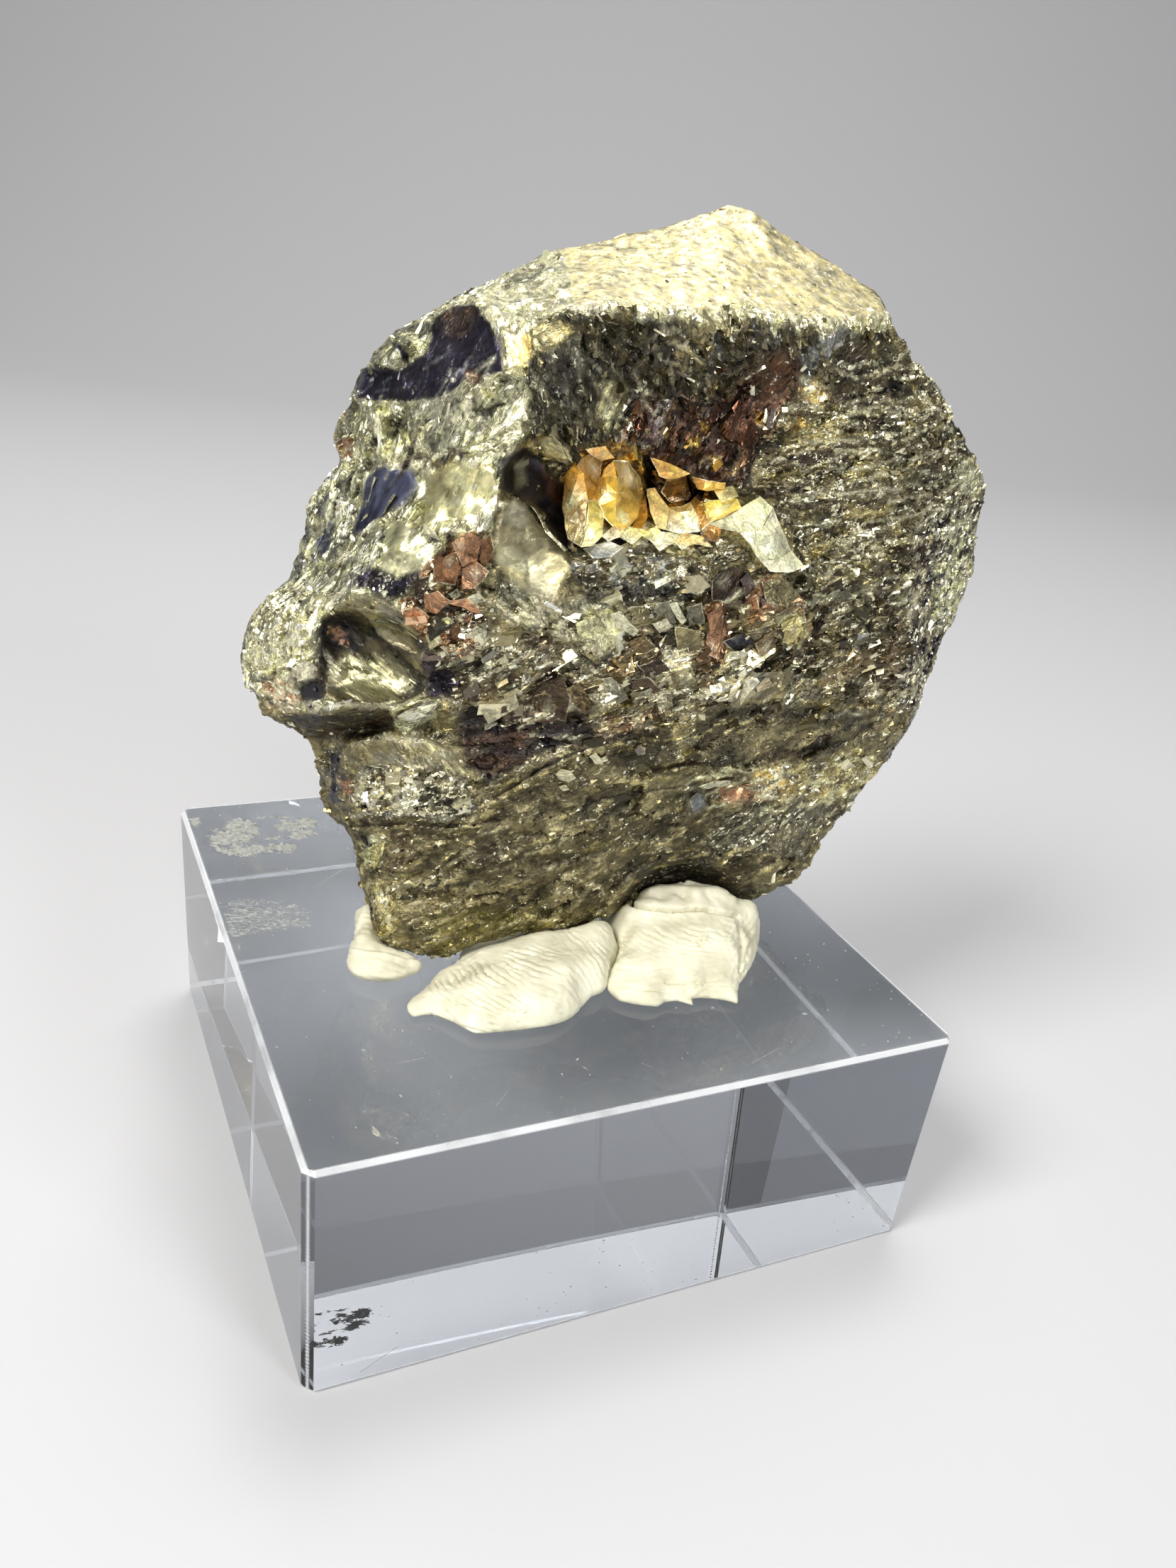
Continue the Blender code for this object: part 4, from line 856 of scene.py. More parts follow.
# ---- the front under the top edge
S.stroke([(700, 450), (760, 440), (850, 434), (900, 440), (960, 442), (1040, 438), (1100, 448), (1180, 456), (1245, 448)],
         30, [CREAM, SAND, PALE, OLIVE], [("scallops", 0.34, 0.8)], wobble=24, seed=40, keep=0.7, slope=-75, **CRUMBS)
for k, (x0, y0, x1, y1, w) in enumerate([
        (905, 435, 893, 470, 12), (925, 440, 918, 462, 9), (962, 470, 985, 503, 10), (1012, 440, 1004, 500, 12),
        (1022, 445, 1040, 470, 8), (1118, 440, 1130, 484, 10), (1150, 445, 1160, 478, 9), (1085, 446, 1092, 470, 8),
        (940, 438, 950, 458, 8), (866, 436, 858, 452, 8), (1190, 450, 1196, 470, 8)]):
    S.stroke([(x0, y0), (x1, y1)], w, [PALE, CREAM], wobble=5, seed=50 + k, strength=0.85, push=0.10)
S.area([(745, 465), (790, 450), (810, 470), (770, 505), (750, 500)], [CREAM, BRASS, PALE], [("scallops", 0.3, 1.0)],
       seed=60, feather=5, slope=30, **SHARDS)
S.area([(760, 500), (830, 470), (870, 500), (860, 560), (810, 600), (770, 590), (757, 545)],
       [SMOKE, DARK_OLIVE, GREY_GREEN, SMOKE], [("scallops", 0.2, 2.2)], folded=(-50, 1.6, 2.6, 0.4, 0.5), seed=61,
       feather=8, mix_mm=1.6, slope=-55, rough=0.26, spark=0.3, glint=0.04, dens=0.4, size=0.2)
S.area([(780, 545), (800, 545), (805, 560), (790, 566)], [NAVY, SMOKE], feather=8, wobble=12, seed=62, strength=0.6)
S.area([(845, 540), (880, 545), (885, 600), (860, 615), (840, 590)], [BROWN, OLIVE, PALE, CREAM],
       [("ridges", 0.25, 60, 0.5, 2)], seed=63, feather=5, slope=60, **SHARDS)
S.area([(845, 455), (960, 450), (1000, 500), (1010, 560), (940, 580), (880, 545), (850, 500)],
       [SMOKE, DARK_OLIVE, DARK_OLIVE, GREY_GREEN], [("cloud", 0.3, 3.0)], folded=(-58, 0.8, 3.6, 0.34, 0.6), seed=64,
       feather=9, slope=-58, aspect=3.5, rough=0.27, spark=0.35, glint=0.04, dens=0.6, size=0.2, tilt=18)
S.area([(1000, 500), (1040, 495), (1045, 560), (1010, 570), (990, 540)], [STEEL, SMOKE, GREY_GREEN], seed=65, feather=12,
       wobble=16, strength=0.4, mix_mm=0.6)
S.area([(880, 560), (930, 560), (1000, 570), (1060, 520), (1100, 495), (1130, 520), (1110, 570), (1080, 610),
        (1060, 660), (1050, 690), (1000, 682), (950, 665), (915, 645), (870, 625)],
       [SMOKE, MAROON, MAROON, BROWN, MAROON], [("steps", 0.20, 1.4)], folded=(65, 0.9, 2.4, 0.34, 0.6), seed=67,
       feather=14, mix_mm=1.4, slope=65, rough=0.26, spark=0.42, glint=0.05, dens=0.8, size=0.2)
S.area([(1060, 500), (1120, 495), (1130, 560), (1090, 580), (1065, 550)], [MAROON, DEEP_COPPER, BROWN, OLIVE],
       [("ridges", 0.2, 70, 0.6, 2.8)], seed=68, feather=20, slope=70, strength=0.5, **GRAINY)
S.area([(1125, 530), (1160, 530), (1172, 560), (1150, 572), (1130, 555)], [BRASS, GOLD, CREAM, BROWN],
       [("scallops", 0.3, 0.8)], seed=69, feather=6, slope=-40, **CRUMBS)
for k, (x, y, r) in enumerate([(1075, 592, 8), (1110, 598, 7), (1130, 596, 8), (1160, 548, 9), (995, 602, 5),
                               (935, 610, 6), (980, 625, 7), (1010, 650, 6)]):
    S.area([(x - r, y - r), (x + r, y - r * 0.6), (x + r, y + r), (x - r * 0.5, y + r)], [AMBER, GOLD, CREAM],
           feather=4, wobble=4, seed=70 + k, strength=0.85, **CRUMBS)
S.area([(930, 565), (942, 562), (938, 620), (928, 625)], [STEEL, ROSE_GREY], feather=4, seed=79, strength=0.6,
       push=0.1)
S.area([(1180, 480), (1260, 480), (1290, 560), (1200, 590), (1160, 540)], [BROWN, DARK_OLIVE, OLIVE], seed=81,
       feather=12, mix_mm=1.4, kinds=[("cloud", 0.24, 1.8), ("grain", 0.05, 0.5)], slope=15, rough=0.36, spark=0.45,
       glint=0.1, dens=0.8, size=0.22)
# a hole pushed in, near black inside as painted shade
S.area([(1255, 535), (1272, 535), (1272, 553), (1257, 552)], [SMOKE], feather=4, wobble=2, seed=82, push=-0.7,
       dens=0.0, spark=0.1, glint=0.0)
S.stroke([(1195, 560), (1225, 558), (1262, 548)], 5, [SMOKE], wobble=2, seed=83, push=-0.3)
# painted highlights: raised ridges on the right, given pale colours for the light that glints along them
for k, pts in enumerate([
        [(1180, 590), (1240, 575), (1300, 590)], [(1130, 628), (1200, 622), (1260, 610)],
        [(1170, 665), (1240, 655), (1320, 640)], [(1120, 700), (1190, 697), (1250, 690), (1330, 680)],
        [(1230, 735), (1290, 725), (1330, 715)], [(1150, 770), (1210, 760)], [(1300, 560), (1330, 590)],
        [(1280, 620), (1320, 600), (1345, 606)], [(1200, 680), (1280, 662)], [(1160, 815), (1240, 800)],
        [(1130, 850), (1200, 842), (1260, 815), (1330, 800)], [(1180, 640), (1230, 632)], [(1250, 705), (1310, 700)]]):
    S.stroke(pts, 9, [PALE, CREAM, SAND], wobble=6, seed=90 + k, push=0.16, strength=0.8, slope=12, **CRUMBS)
for k, pts in enumerate([
        [(1100, 690), (1060, 688), (1130, 712), (1200, 708)], [(1110, 650), (1180, 648)], [(1180, 735), (1240, 742)],
        [(1110, 740), (1140, 770), (1200, 750)], [(1200, 600), (1280, 604)]]):
    S.stroke(pts, 12, [SMOKE, BROWN], wobble=6, seed=110 + k, push=-0.22, strength=0.7)
S.area([(1350, 640), (1375, 650), (1395, 680), (1385, 700), (1355, 690)], [SAND, PALE, CREAM],
       [("ridges", 0.12, 35, 0.6, 3)], seed=116, feather=6, slope=35, rough=0.3, spark=0.3, glint=0.2, dens=0.5,
       size=0.2)

# ---- right edge, with crumbs along it
S.area([(1290, 740), (1340, 710), (1390, 700), (1385, 800), (1360, 860), (1330, 900), (1300, 1000), (1270, 1000),
        (1275, 900), (1285, 820)], [VIOLET, SMOKE, BROWN, SAND, CREAM], [("scallops", 0.32, 0.8)], seed=120,
       feather=8, slope=60, **CRUMBS)
S.area([(1320, 800), (1350, 740), (1385, 740), (1375, 830), (1340, 890), (1310, 890)], [CREAM, PALE, VIOLET, CREAM],
       [("scallops", 0.34, 0.7)], seed=121, feather=7, slope=60, **CRUMBS)
S.stroke([(1375, 830), (1345, 890), (1310, 980), (1290, 1020), (1230, 1105), (1180, 1165)], 26,
         [VIOLET, SMOKE, STEEL, CREAM], [("scallops", 0.2, 0.7)], seed=122, wobble=5, strength=0.8, keep=0.5,
         slope=60, **CRUMBS)
# painted highlight: a pale band along the right rim
S.stroke([(1253, 440), (1290, 505), (1340, 570), (1392, 680)], 14, [CREAM, PALE], seed=123, wobble=4, strength=0.8)

# ---- slot, grey facet and the stained parts beside them
# the slot: pushed in, and near black as painted shade
S.area([(705, 662), (718, 642), (738, 630), (762, 648), (798, 690), (802, 745), (806, 775), (790, 765), (765, 725),
        (740, 700), (708, 692)], [SMOKE, SMOKE, VIOLET], [("cloud", 0.1, 1.5)], feather=5, wobble=4, seed=130,
       push=-0.5, **SMOOTH)
S.area([(722, 655), (735, 648), (742, 680), (730, 692)], [OLIVE, GREY_GREEN], feather=4, seed=131, strength=0.6)
S.area([(765, 660), (790, 680), (795, 715), (780, 705)], [BROWN, DEEP_COPPER, SMOKE], feather=6, seed=132, strength=0.6)
S.area([(752, 612), (772, 612), (800, 635), (816, 655), (800, 656), (770, 640)], [BROWN, BRASS, CREAM],
       [("ridges", 0.1, -45, 0.5, 2)], feather=3, wobble=3, seed=133, slope=-42, **SATIN)
GREY = [(712, 716), (728, 702), (745, 715), (770, 750), (800, 775), (806, 802), (790, 828), (780, 850), (740, 846),
        (715, 822), (700, 792), (702, 742)]
S.area(GREY, [GREY_GREEN, OLIVE, GREY_GREEN, BRASS * 0.8], [("cloud", 0.08, 2.0)], feather=3, wobble=3, seed=134,
       facets=(2.2, 0.22, 0.5), mix_mm=1.6, contrast=0.7, **SMOOTH)
S.area([(705, 768), (725, 775), (765, 805), (760, 825), (735, 812), (708, 790)], [PALE, CREAM], feather=9, wobble=5,
       seed=135, strength=0.45)
S.area([(720, 815), (780, 820), (785, 848), (740, 848)], [GREY_GREEN, SAND], feather=8, seed=136, strength=0.5)
S.area([(705, 800), (740, 835), (800, 850), (870, 840), (870, 905), (800, 905), (740, 890), (700, 850)],
       [OLIVE, SAND, CREAM, PALE, BROWN], [("scallops", 0.14, 1.3)], folded=(-35, 1.3, 2.2, 0.42, 0.4), seed=137,
       feather=7, slope=-35, **SHARDS)
COPPER_1 = [(598, 795), (640, 760), (668, 748), (684, 752), (697, 775), (682, 800), (672, 832), (650, 838),
            (620, 818), (590, 832), (575, 850)]
S.area(COPPER_1, [DEEP_COPPER, COPPER, BROWN, COPPER, SAND], [("steps", 0.30, 1.2)],
       folded=(60, 0.9, 1.8, 0.42, 0.7), feather=6, wobble=8, seed=138, mix_mm=0.9, rough=0.26, spark=0.3, glint=0.05, dens=0.6, size=0.24, tilt=30)
COPPER_2 = [(562, 850), (600, 832), (650, 835), (680, 860), (690, 900), (670, 930), (620, 925), (590, 900)]
S.area(COPPER_2, [MAROON, COPPER, CREAM, DEEP_COPPER, SMOKE, CREAM], [("steps", 0.3, 1.0)],
       folded=(-20, 0.8, 1.5, 0.45, 0.7), feather=7, wobble=8, seed=139, mix_mm=0.6, rough=0.24, spark=0.4, glint=0.2, dens=1.4, size=0.30, tilt=38,
       lift=0.12)

# ---- the pocket
S.area([(800, 640), (870, 622), (915, 640), (925, 700), (905, 750), (850, 762), (805, 750), (795, 700)],
       [AMBER, BROWN, GOLD, AMBER], [("steps", 0.5, 1.6)], seed=140, feather=5, mix_mm=1.0, rough=0.2, spark=0.25,
       glint=0.05, dens=0.4, size=0.3, tilt=40, lift=0.12)
S.area([(905, 640), (925, 645), (1000, 690), (1000, 720), (960, 745), (925, 740), (912, 700)],
       [SMOKE, AMBER * 0.4, BROWN, GOLD], [("steps", 0.5, 1.3)], seed=141, feather=5, mix_mm=1.0, rough=0.2,
       spark=0.25, glint=0.08, dens=0.5, size=0.3, tilt=40, lift=0.12)
# the gap between the crystals: pushed deep in, near black as painted shade
S.area([(908, 640), (920, 645), (927, 715), (920, 728), (910, 695)], [SMOKE], feather=3, wobble=2, seed=142,
       push=-0.9, dens=0.0, spark=0.1, glint=0.0)
S.area([(830, 742), (900, 738), (985, 748), (1005, 770), (940, 772), (870, 765), (830, 760)],
       [GOLD, YELLOW, CREAM, CREAM, PALE, BROWN], [("scallops", 0.3, 0.8)], seed=143, feather=5, slope=-12,
       matte=0.5, **CRUMBS)
S.area([(862, 752), (888, 752), (885, 776), (865, 778)], [SMOKE, VIOLET], seed=144, feather=3, wobble=3, push=-0.3,
       dens=0.1, spark=0.2, glint=0.0)
S.area([(1000, 750), (1045, 765), (1070, 800), (1040, 810), (1000, 790), (980, 770)], [SMOKE, OLIVE, BROWN],
       [("steps", 0.3, 1.0)], seed=145, feather=6, **GLITTER)
S.area([(805, 775), (900, 775), (1000, 790), (1000, 840), (900, 830), (820, 830), (806, 800)],
       [SMOKE, BROWN, OLIVE, STEEL, CREAM], [("steps", 0.4, 1.0), ("ridges", 0.14, 8, 0.6, 2.5)], seed=146,
       feather=7, slope=8, **GLITTER)
S.area([(820, 835), (900, 828), (960, 830), (990, 845), (900, 850), (830, 852)], [SMOKE, SMOKE, BROWN], seed=147,
       feather=6, wobble=6, push=-0.45, strength=0.85, dens=0.4, glint=0.03)

# ---- the middle band
S.area([(865, 850), (900, 852), (905, 888), (880, 905), (862, 880)], [SMOKE, BROWN], seed=150, feather=4, push=-0.25,
       strength=0.7)
S.area([(820, 870), (865, 860), (885, 900), (850, 925), (815, 905)], [SAND, PALE, CREAM, OLIVE], seed=151, feather=5,
       kinds=[("steps", 0.3, 0.9)], slope=-50, **SHARDS)
S.area([(1005, 810), (1040, 798), (1062, 812), (1055, 850), (1010, 852)], [SMOKE, BROWN, ROSE_GREY], seed=152,
       feather=4, kinds=[("scallops", 0.25, 1.6)], slope=70, **SATIN)
S.area([(1058, 820), (1100, 815), (1130, 845), (1100, 862), (1065, 860)], [OLIVE, COPPER, GREY_GREEN], seed=153,
       feather=6, kinds=[("scallops", 0.3, 1.5)], slope=-60, **SATIN)
S.area([(996, 858), (1025, 850), (1028, 900), (1020, 935), (998, 930)], [DEEP_COPPER, COPPER, COPPER], seed=154,
       feather=4, kinds=[("ridges", 0.25, 80, 0.5, 2)], slope=80, rough=0.26, spark=0.3, glint=0.06, dens=0.6, size=0.22)
S.area([(1052, 840), (1070, 835), (1074, 872), (1058, 878)], [DEEP_COPPER, COPPER], seed=155, feather=4, strength=0.8)
S.area([(1100, 872), (1128, 865), (1138, 895), (1128, 915), (1104, 908)], [BRASS, PALE, CREAM], seed=156, feather=4,
       kinds=[("faces", 0.2, 0.7)], **SATIN)
S.area([(740, 990), (790, 950), (830, 970), (845, 1010), (800, 1032), (755, 1020)], [BROWN, BROWN, ROSE_GREY * 0.5],
       seed=157, feather=6, kinds=[("cloud", 0.2, 2.0), ("ridges", 0.08, -40, 0.6, 3)], slope=-40, **SATIN)
S.area([(795, 975), (815, 965), (838, 1000), (822, 1010)], [COPPER, SAND, BROWN], seed=158, feather=4, strength=0.8,
       kinds=[("ridges", 0.25, -48, 0.45, 2.5)], slope=-48, rough=0.25, spark=0.3)
S.area([(845, 1010), (890, 1005), (930, 1000), (880, 1040), (840, 1045)], [BROWN, DEEP_COPPER, SAND, STEEL], seed=159,
       feather=6, kinds=[("scallops", 0.25, 0.7)], **GLITTER)
S.area([(600, 930), (700, 910), (800, 930), (780, 960), (700, 1000), (640, 990)], [SMOKE, BROWN, OLIVE, STEEL],
       [("ridges", 0.3, 28, 0.7, 3.5)], seed=160, feather=8, slope=28, **GLITTER)
S.area([(640, 1005), (700, 990), (760, 1000), (860, 1035), (760, 1070), (690, 1110), (655, 1080)],
       [BROWN, BROWN, SMOKE, MAROON], [("cloud", 0.2, 2.4)], folded=(6, 1.1, 3.2, 0.34, 0.5), seed=161, feather=10,
       slope=6, rough=0.36, spark=0.5, glint=0.03, dens=0.7, size=0.2)
S.area([(850, 1050), (960, 1005), (1200, 985), (1240, 1030), (1150, 1080), (1000, 1095), (880, 1100)],
       [BROWN, DARK_OLIVE, DARK_OLIVE, OLIVE], [("cloud", 0.2, 3.0)], folded=(14, 1.5, 4.0, 0.34, 0.5), seed=162,
       feather=12, slope=14, rough=0.32, spark=0.35, glint=0.05, dens=0.45, size=0.2, tilt=16)
S.area([(950, 1000), (985, 1000), (975, 1060), (958, 1065), (945, 1030)], [BRASS, OLIVE, SAND], seed=163, feather=7,
       strength=0.8, **GLITTER)
S.area([(1040, 960), (1100, 945), (1095, 985), (1030, 1000)], [GREY_GREEN, OLIVE, STEEL], seed=164, feather=5,
       strength=0.8, kinds=[("ridges", 0.15, 35, 0.6, 3)], slope=35, **SATIN)
S.area([(1060, 1085), (1240, 1060), (1250, 1085), (1180, 1130), (1070, 1130)], [BROWN, OLIVE, BRASS, CREAM],
       [("scallops", 0.25, 0.9)], seed=165, feather=8, slope=15, **GLITTER)
S.area([(1060, 1090), (1110, 1080), (1120, 1125), (1075, 1130)], [BRASS, GOLD, CREAM, BROWN], seed=166, feather=6,
       strength=0.8, **CRUMBS)
S.area([(1010, 1108), (1060, 1105), (1075, 1128), (1030, 1135)], [DEEP_COPPER, COPPER, BROWN], seed=167, feather=5,
       strength=0.8, **GRAINY)
S.area([(965, 1110), (990, 1108), (1000, 1140), (975, 1150)], [STEEL, GREY_GREEN, SMOKE], seed=168, feather=4,
       strength=0.8, kinds=[("scallops", 0.3, 1.2)], **SATIN)
S.area([(1000, 1150), (1130, 1130), (1180, 1140), (1130, 1210), (1000, 1200)], [OLIVE, GREY_GREEN, DARK_OLIVE, SAND],
       seed=169, feather=12, strength=0.7, kinds=[("ridges", 0.2, 25, 0.7, 3)], slope=25, **GLITTER)

# ---- the nose
S.area([(340, 900), (380, 835), (450, 830), (470, 860), (440, 900), (440, 940), (400, 945), (350, 940)],
       [STEEL, PALE, CREAM, CREAM], [("scallops", 0.14, 0.75)], folded=(60, 1.0, 1.9, 0.42, 0.35), seed=170, feather=6,
       slope=62, **CRUMBS)
S.stroke([(350, 866), (340, 900), (336, 940), (350, 980), (362, 1004)], 20, [NAVY, BLUE, VIOLET, STEEL], wobble=5,
         seed=171, strength=0.8)
HOLLOW = [(455, 872), (490, 840), (545, 850), (585, 880), (603, 930), (598, 975), (560, 995), (500, 995), (455, 985),
          (440, 940), (450, 905)]
S.area(HOLLOW, [SMOKE, OLIVE, DARK_OLIVE, SMOKE, GREY_GREEN], [("cloud", 0.10, 2.2)],
       folded=(-42, 1.1, 5.0, 0.30, 0.45),
       seed=172, feather=6, wobble=3, mix_mm=2.0, contrast=0.9, slope=-40, rough=0.30, spark=0.25, glint=0.0,
       dens=0.05, streak=0.35, aspect=4.0)
# painted light: a pale patch on the lower part of the hollow
S.area([(490, 925), (545, 935), (570, 960), (555, 985), (510, 985), (480, 965)], [GREY_GREEN, PALE, OLIVE], seed=173,
       feather=16, wobble=12, strength=0.6)
S.area([(490, 838), (545, 850), (585, 880), (590, 920), (550, 905), (510, 870)], [SMOKE, GREY_GREEN, OLIVE, SMOKE],
       [("ridges", 0.22, -32, 0.55, 4.0)], seed=174, feather=6, slope=-32, mix_mm=0.8, rough=0.24, spark=0.25,
       glint=0.02, dens=0.3, size=0.2)
S.area([(448, 888), (460, 872), (485, 868), (500, 885), (498, 910), (478, 922), (455, 912)], [NAVY, SMOKE, NAVY],
       seed=175, feather=12, wobble=14, push=-0.25, strength=0.9, rough=0.3, streak=0.4)
S.stroke([(465, 885), (480, 896), (470, 904), (492, 905), (484, 914)], 4, [COPPER], wobble=1, seed=176, push=0.1)
S.stroke([(462, 894), (476, 888), (488, 898)], 4, [COPPER], wobble=1, seed=177, push=0.1)
S.area([(408, 945), (425, 932), (448, 940), (452, 960), (430, 965), (412, 962)], [CREAM, ROSE_GREY, BROWN, CREAM],
       [("cloud", 0.1, 0.8)], seed=178, feather=3, wobble=2, mix_mm=1.4, push=0.15, **SMOOTH)
# the hollow under the small facet: pushed in, near black as painted shade
S.area([(418, 968), (440, 958), (458, 965), (455, 990), (425, 990)], [SMOKE, SMOKE, VIOLET], seed=179, feather=4,
       wobble=2, push=-0.5, **SMOOTH)
S.area([(370, 962), (395, 955), (420, 970), (420, 1000), (385, 1005)], [MAROON, COPPER, SAND, BROWN],
       [("scallops", 0.3, 0.7)], seed=180, feather=4, slope=-50, **CRUMBS)
S.stroke([(440, 1002), (480, 994), (520, 996), (560, 998), (600, 992)], 13, [SAND, CREAM, PALE], wobble=5, seed=181,
         push=0.22, strength=0.9, **SHARDS)
S.area([(555, 1000), (600, 985), (625, 985), (615, 1010), (575, 1032), (556, 1022)], [CREAM, PALE, STEEL],
       [("ridges", 0.25, 25, 0.5, 2)], seed=182, feather=4, slope=25, **SHARDS)
S.area([(400, 1008), (450, 1006), (550, 1006), (560, 1030), (520, 1040), (450, 1045), (430, 1035)],
       [SMOKE, BROWN, DARK_OLIVE, VIOLET], [("steps", 0.2, 1.2)], seed=183, feather=6, rough=0.34, spark=0.4,
       glint=0.04, dens=0.5, size=0.2)
S.area([(575, 890), (610, 920), (640, 960), (635, 990), (600, 985), (605, 930)], [SMOKE, VIOLET, BROWN],
       [("steps", 0.25, 1.0)], seed=184, feather=6, rough=0.3, spark=0.4, glint=0.04, dens=0.5, size=0.2)
S.area([(640, 925), (665, 928), (668, 940), (642, 940)], [NAVY], seed=185, feather=4, strength=0.8)

# ---- the second block and the edge below it
S.area([(450, 1050), (485, 1060), (490, 1150), (460, 1140)], [NAVY, SMOKE, OLIVE, SMOKE], [("steps", 0.2, 0.9)],
       seed=190, feather=5, rough=0.26, spark=0.35, glint=0.08, dens=0.6, size=0.2)
S.area([(515, 1048), (560, 1036), (610, 1042), (640, 1062), (655, 1090), (600, 1085), (560, 1080), (520, 1078)],
       [DARK_OLIVE, OLIVE, GREY_GREEN, SMOKE], [("scallops", 0.2, 1.8)], seed=191, feather=6, mix_mm=1.6, slope=-45,
       **SATIN)
S.area([(600, 1045), (625, 1052), (655, 1090), (640, 1100), (610, 1070)], [GREY_GREEN, OLIVE, PALE],
       [("ridges", 0.15, -48, 0.5, 3)], seed=192, feather=4, slope=-48, **SATIN)
S.area([(505, 1080), (600, 1085), (655, 1095), (665, 1145), (600, 1152), (510, 1150), (490, 1120)],
       [SMOKE, BROWN, OLIVE, CREAM, SMOKE, DARK_OLIVE], [("steps", 0.30, 0.9)], folded=(15, 0.8, 1.8, 0.4, 0.6),
       seed=193,
       feather=6, slope=15, **CRUMBS)
S.stroke([(500, 1052), (530, 1040), (560, 1042), (590, 1034)], 9, [CREAM, SAND], wobble=4, seed=194, strength=0.8,
         **CRUMBS)
S.stroke([(495, 1152), (560, 1148), (640, 1150), (670, 1140)], 9, [STEEL, CREAM], wobble=4, seed=195, strength=0.8,
         push=0.15, **CRUMBS)
S.stroke([(495, 1166), (560, 1162), (640, 1164), (700, 1156)], 12, [SMOKE, BROWN], wobble=4, seed=196, strength=0.8,
         push=-0.35)
S.area([(478, 1100), (495, 1098), (495, 1118), (482, 1120)], [COPPER], seed=197, feather=3, strength=0.8)
S.area([(505, 1190), (530, 1175), (545, 1185), (540, 1215), (528, 1232), (515, 1215)], [CREAM, PALE, SMOKE, CREAM],
       [("scallops", 0.35, 0.7)], seed=198, feather=4, slope=60, **CRUMBS)
# the hole among the pale crystals: pushed in, near black as painted shade
S.area([(510, 1180), (522, 1178), (522, 1196), (511, 1194)], [SMOKE], seed=199, feather=3, wobble=2, push=-0.5,
       dens=0.0, glint=0.0, spark=0.1)
S.area([(520, 1245), (560, 1250), (560, 1310), (530, 1320)], [OLIVE, BRASS, SAND], [("scallops", 0.2, 0.6)], seed=200,
       feather=8, slope=60, **GLITTER)
S.area([(600, 1290), (720, 1285), (850, 1290), (800, 1320), (640, 1360), (600, 1350)],
       [DARK_OLIVE, srgb(120, 112, 52), OLIVE], seed=201, feather=14, strength=0.7)
for k, pts in enumerate([
        [(700, 1125), (760, 1085), (820, 1060), (880, 1040), (960, 1010)], [(650, 1150), (720, 1110), (790, 1070)],
        [(850, 1130), (920, 1115), (980, 1105)], [(840, 1160), (870, 1130), (900, 1120)]]):
    S.stroke(pts, 9, [SMOKE, BROWN], wobble=5, seed=205 + k, push=-0.22, strength=0.75)
for k, pts in enumerate([
        [(690, 1110), (750, 1075), (800, 1055)], [(700, 1180), (712, 1215)], [(800, 1240), (850, 1255)],
        [(1000, 1180), (1060, 1160)], [(930, 1195), (950, 1205)], [(760, 1300), (790, 1298)]]):
    S.stroke(pts, 10, [OLIVE, SAND, GREY_GREEN], wobble=6, seed=212 + k, push=0.14, strength=0.6, glint=0.3, dens=1.5)
# painted shadow: the underside just above the tack roll, darkened brown to near black
S.area([(870, 1250), (880, 1215), (930, 1205), (990, 1208), (1040, 1240), (1050, 1275), (1000, 1250), (900, 1255)],
       [BROWN, SMOKE, DARK_OLIVE], seed=220, feather=12, strength=0.7)

def wisps(outline, count, slope, length, width, colours, seed, push=0.14, strength=0.85, **finish_and_painted_glint):
    """Short bright or dark wavy streaks, spread over an area."""
    rng = np.random.default_rng(seed)
    corner = np.array(outline, float)
    lo, hi = corner.min(0), corner.max(0)
    done = 0
    while done < count:
        c = lo + (hi - lo) * rng.random(2)
        if outline_weight(c[None], outline, 1.0)[0] < 0.5:
            continue
        a = math.radians(slope + rng.normal(0, 12))
        half = 0.5 * length * math.exp(rng.normal(0, 0.4))
        d = np.array([math.cos(a), -math.sin(a)])
        side = np.array([d[1], -d[0]])
        pts = [tuple(c + d * half * f + side * rng.normal(0, 0.12) * half) for f in (-1, -0.35, 0.35, 1)]
        S.stroke(pts, width * math.exp(rng.normal(0, 0.25)), colours, wobble=4, seed=seed * 50 + done, push=push,
                 strength=strength, mix_mm=0.5, **finish_and_painted_glint)
        done += 1


BRIGHT = [PALE, CREAM, SAND]
wisps([(440, 640), (600, 560), (740, 560), (700, 650), (600, 800), (430, 860), (360, 900)], 34, 55, 34, 6,
      [SMOKE, BROWN, STEEL], 60, -0.18, 0.75)
wisps([(760, 470), (960, 450), (1080, 460), (1010, 560), (880, 620), (760, 590)], 22, -66, 44, 8, [SMOKE, BROWN], 59,
      -0.18, 0.7)
# painted highlights: more pale streaks on the right for the light along its ridges, each raised a little
wisps(RIGHT, 60, 12, 42, 6.5, BRIGHT, 61, glint=0.2)
wisps(RIGHT, 30, 12, 50, 9, [SMOKE, BROWN], 62, -0.16, 0.7)
wisps([(1090, 560), (1180, 500), (1290, 500), (1300, 620), (1100, 640)], 16, 8, 34, 6, [BRASS, SAND, OLIVE], 63)
wisps([(760, 460), (960, 450), (1010, 560), (880, 630), (760, 600)], 30, -58, 36, 6, [GREY_GREEN, SAND, STEEL], 64,
      0.1, 0.7)
wisps([(880, 560), (1060, 520), (1100, 600), (1040, 680), (900, 640)], 18, 66, 30, 6, [BROWN, DEEP_COPPER, BRASS], 65,
      0.08, 0.7)
wisps(MIDDLE, 46, 16, 34, 6, BRIGHT, 66, 0.14, 0.9, glint=0.25)
wisps(MIDDLE, 30, 16, 40, 8, [SMOKE, BROWN], 67, -0.2, 0.75)
wisps([(600, 930), (700, 900), (860, 930), (800, 1040), (650, 1010)], 20, 28, 34, 6, [CREAM, SAND, GREY_GREEN], 68,
      0.14, 0.85)
